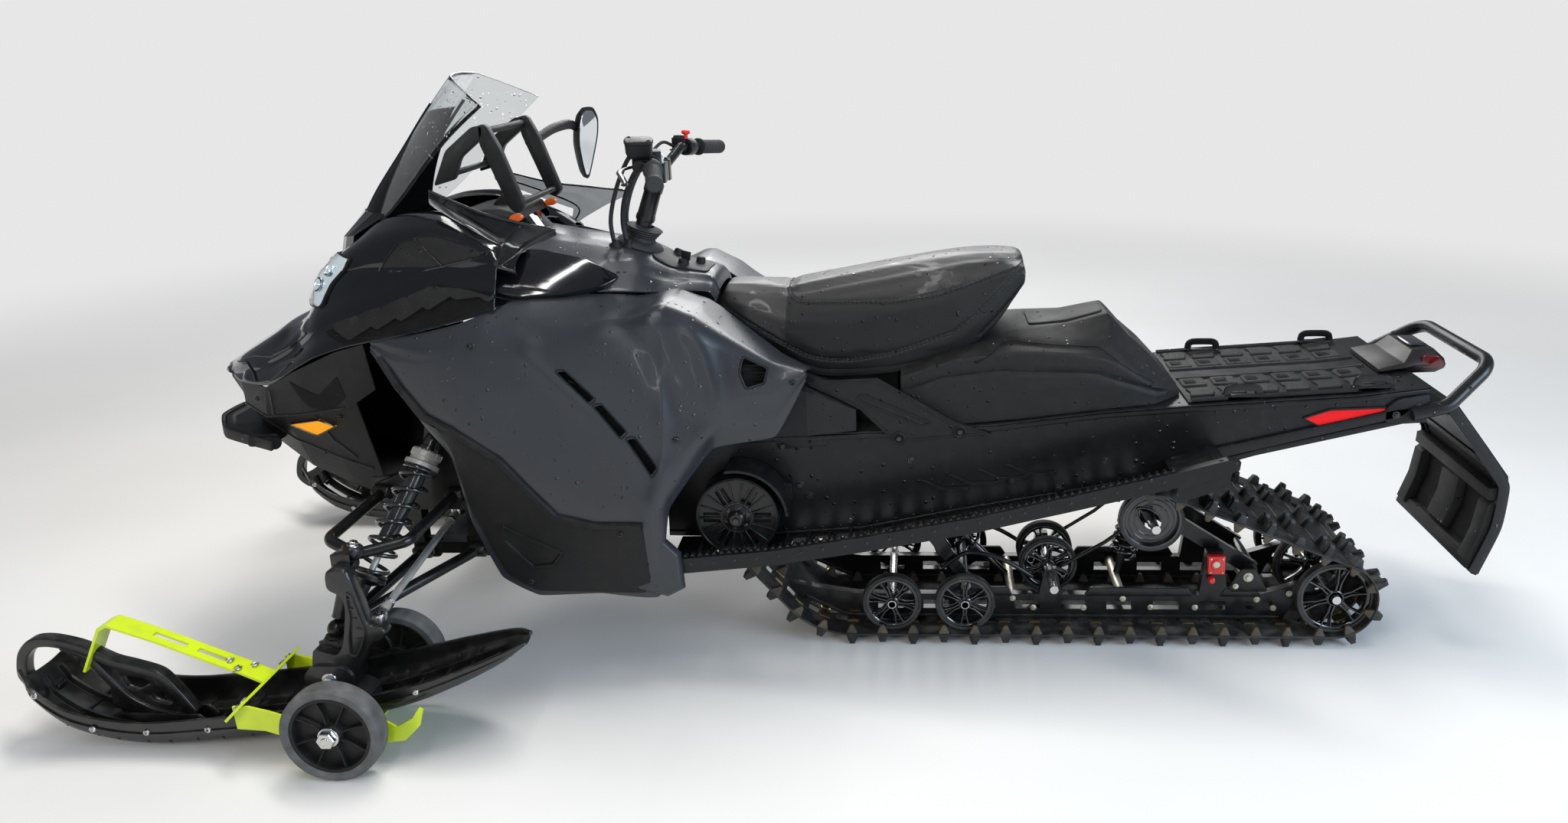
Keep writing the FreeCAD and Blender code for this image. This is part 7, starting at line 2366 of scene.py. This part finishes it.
for k in range(6):
    angle = 2 * math.pi * k / 6 + 0.3
    pulleyBolts.append(boltShape((pulley["x"] + 25 * math.cos(angle), face - 2,
                                  pulley["z"] + 25 * math.sin(angle)), (0, -1, 0), 8))
pulleyBolts.append(boltShape((pulley["x"], face - 16, pulley["z"]), (0, -1, 0), 17))
addPiece("pulleyBolts", pulleyBolts, "darkSteel")
print("tunnel and rear made")
# floor, light and camera
stage = {"reach": 30.0, "floorTone": 0.66, "wallTone": 0.80, "fadeFrom": 2.2, "fadeTo": 6.5}


def buildStage():
    floor = bpy.data.objects.new("floor", bpy.data.meshes.new("floor"))
    floor.data.from_pydata([(x * stage["reach"], y * stage["reach"], 0) for x, y in square], [],
                           [(0, 1, 2, 3)])
    bpy.context.scene.collection.objects.link(floor)
    tone = stage["floorTone"]
    paintOfFloor = finish("floorPaint", (tone, tone, tone * 0.99), 0.6, mottle=(0.6, 0.04))
    floor.data.materials.append(paintOfFloor)
    # further out the floor turns into the backdrop
    tree = paintOfFloor.node_tree
    wall = (stage["wallTone"], stage["wallTone"], stage["wallTone"], 1)
    reach = addNode(tree, "VectorMath", {0: addNode(tree, "TexCoord", {}, "Object")}, "Value",
                    operation="LENGTH")
    fade = rampNode(tree, reach, (stage["fadeFrom"], 0.0), (stage["fadeTo"], 1.0),
                    interpolation_type="SMOOTHSTEP")
    glow = addNode(tree, "Emission", {"Color": wall})
    plain = tree.nodes["Principled BSDF"].outputs["BSDF"]
    mixed = addNode(tree, "MixShader", {"Fac": fade, 1: plain, 2: glow})
    tree.links.new(mixed, tree.nodes["Material Output"].inputs["Surface"])
    world = bpy.data.worlds.new("studio")
    bpy.context.scene.world = world
    world.use_nodes = True
    tree = world.node_tree
    tree.nodes.clear()
    seen = addNode(tree, "Background", {"Color": wall})
    lit = addNode(tree, "Background", {"Color": (0.84, 0.90, 1.0, 1), "Strength": 0.20})
    camera = addNode(tree, "LightPath", {}, "Is Camera Ray")
    either = mathNode(tree, "MAXIMUM", camera, camera.node.outputs["Is Transmission Ray"])
    out = tree.nodes.new("ShaderNodeOutputWorld")
    tree.links.new(addNode(tree, "MixShader", {"Fac": either, 1: lit, 2: seen}), out.inputs["Surface"])


def addLamp(name, place, aim, size, power, colour, mirrored=True):
    light = bpy.data.lights.new(name, "AREA")
    light.shape = "RECTANGLE"
    light.size, light.size_y = size
    light.energy = power
    light.color = colour
    lamp = bpy.data.objects.new(name, light)
    bpy.context.scene.collection.objects.link(lamp)
    lamp.visible_glossy = mirrored
    lamp.location = place
    lamp.rotation_euler = (Vector(aim) - Vector(place)).to_track_quat("-Z", "Y").to_euler()


buildStage()
addLamp("overhead", (0.2, 0.3, 4.6), (0, 0, 0.4), (4.5, 0.7), 180, (1.0, 0.96, 0.90), mirrored=False)
addLamp("windowRear", (4.6, -2.6, 2.3), (0, 0, 0.6), (3.0, 2.4), 230, (0.66, 0.82, 1.0))
addLamp("frontFill", (-3.6, -4.4, 2.6), (-0.4, 0, 0.5), (2.4, 1.4), 110, (1.0, 0.95, 0.88), mirrored=False)
addLamp("farSide", (0.0, 4.6, 3.0), (0, 0, 0.6), (4.0, 1.2), 110, (1.0, 1.0, 1.0))
# narrow tubes that draw thin streaks on the glossy black
for number, (across, high) in enumerate([(-3.9, 2.9), (-2.7, 3.3), (-1.4, 3.6), (0.1, 3.8), (1.8, 3.6)]):
    addLamp("tube%d" % number, (-0.3, across, high), (-0.3, 0, 0.6), (0.06, 5.5), 17, (1.0, 0.99, 0.97))

view = {"place": (250.0, -2537.9, 1418.4), "yaw": 2.571, "pitch": 13.847, "roll": -0.949, "lens": 25.386,
        "shift": (-0.0557, -0.0693)}


def buildCamera():
    yaw, pitch, roll = (math.radians(view[k]) for k in ("yaw", "pitch", "roll"))
    ahead = Vector((-math.sin(yaw), math.cos(yaw), 0))
    right = Vector((math.cos(yaw), math.sin(yaw), 0))
    look = ahead * math.cos(pitch) - Vector((0, 0, 1)) * math.sin(pitch)
    up = ahead * math.sin(pitch) + Vector((0, 0, 1)) * math.cos(pitch)
    side = right * math.cos(roll) + up * math.sin(roll)
    top = up * math.cos(roll) - right * math.sin(roll)
    data = bpy.data.cameras.new("photoView")
    data.lens = view["lens"]
    data.sensor_width = 36.0
    data.shift_x, data.shift_y = view["shift"]
    camera = bpy.data.objects.new("photoView", data)
    bpy.context.scene.collection.objects.link(camera)
    matrix = Matrix((side, top, -look)).transposed().to_4x4()
    matrix.translation = inFrame(view["place"])
    camera.matrix_world = matrix
    bpy.context.scene.camera = camera


buildCamera()
bpy.context.scene.view_settings.view_transform = "Standard"
print("stage made")
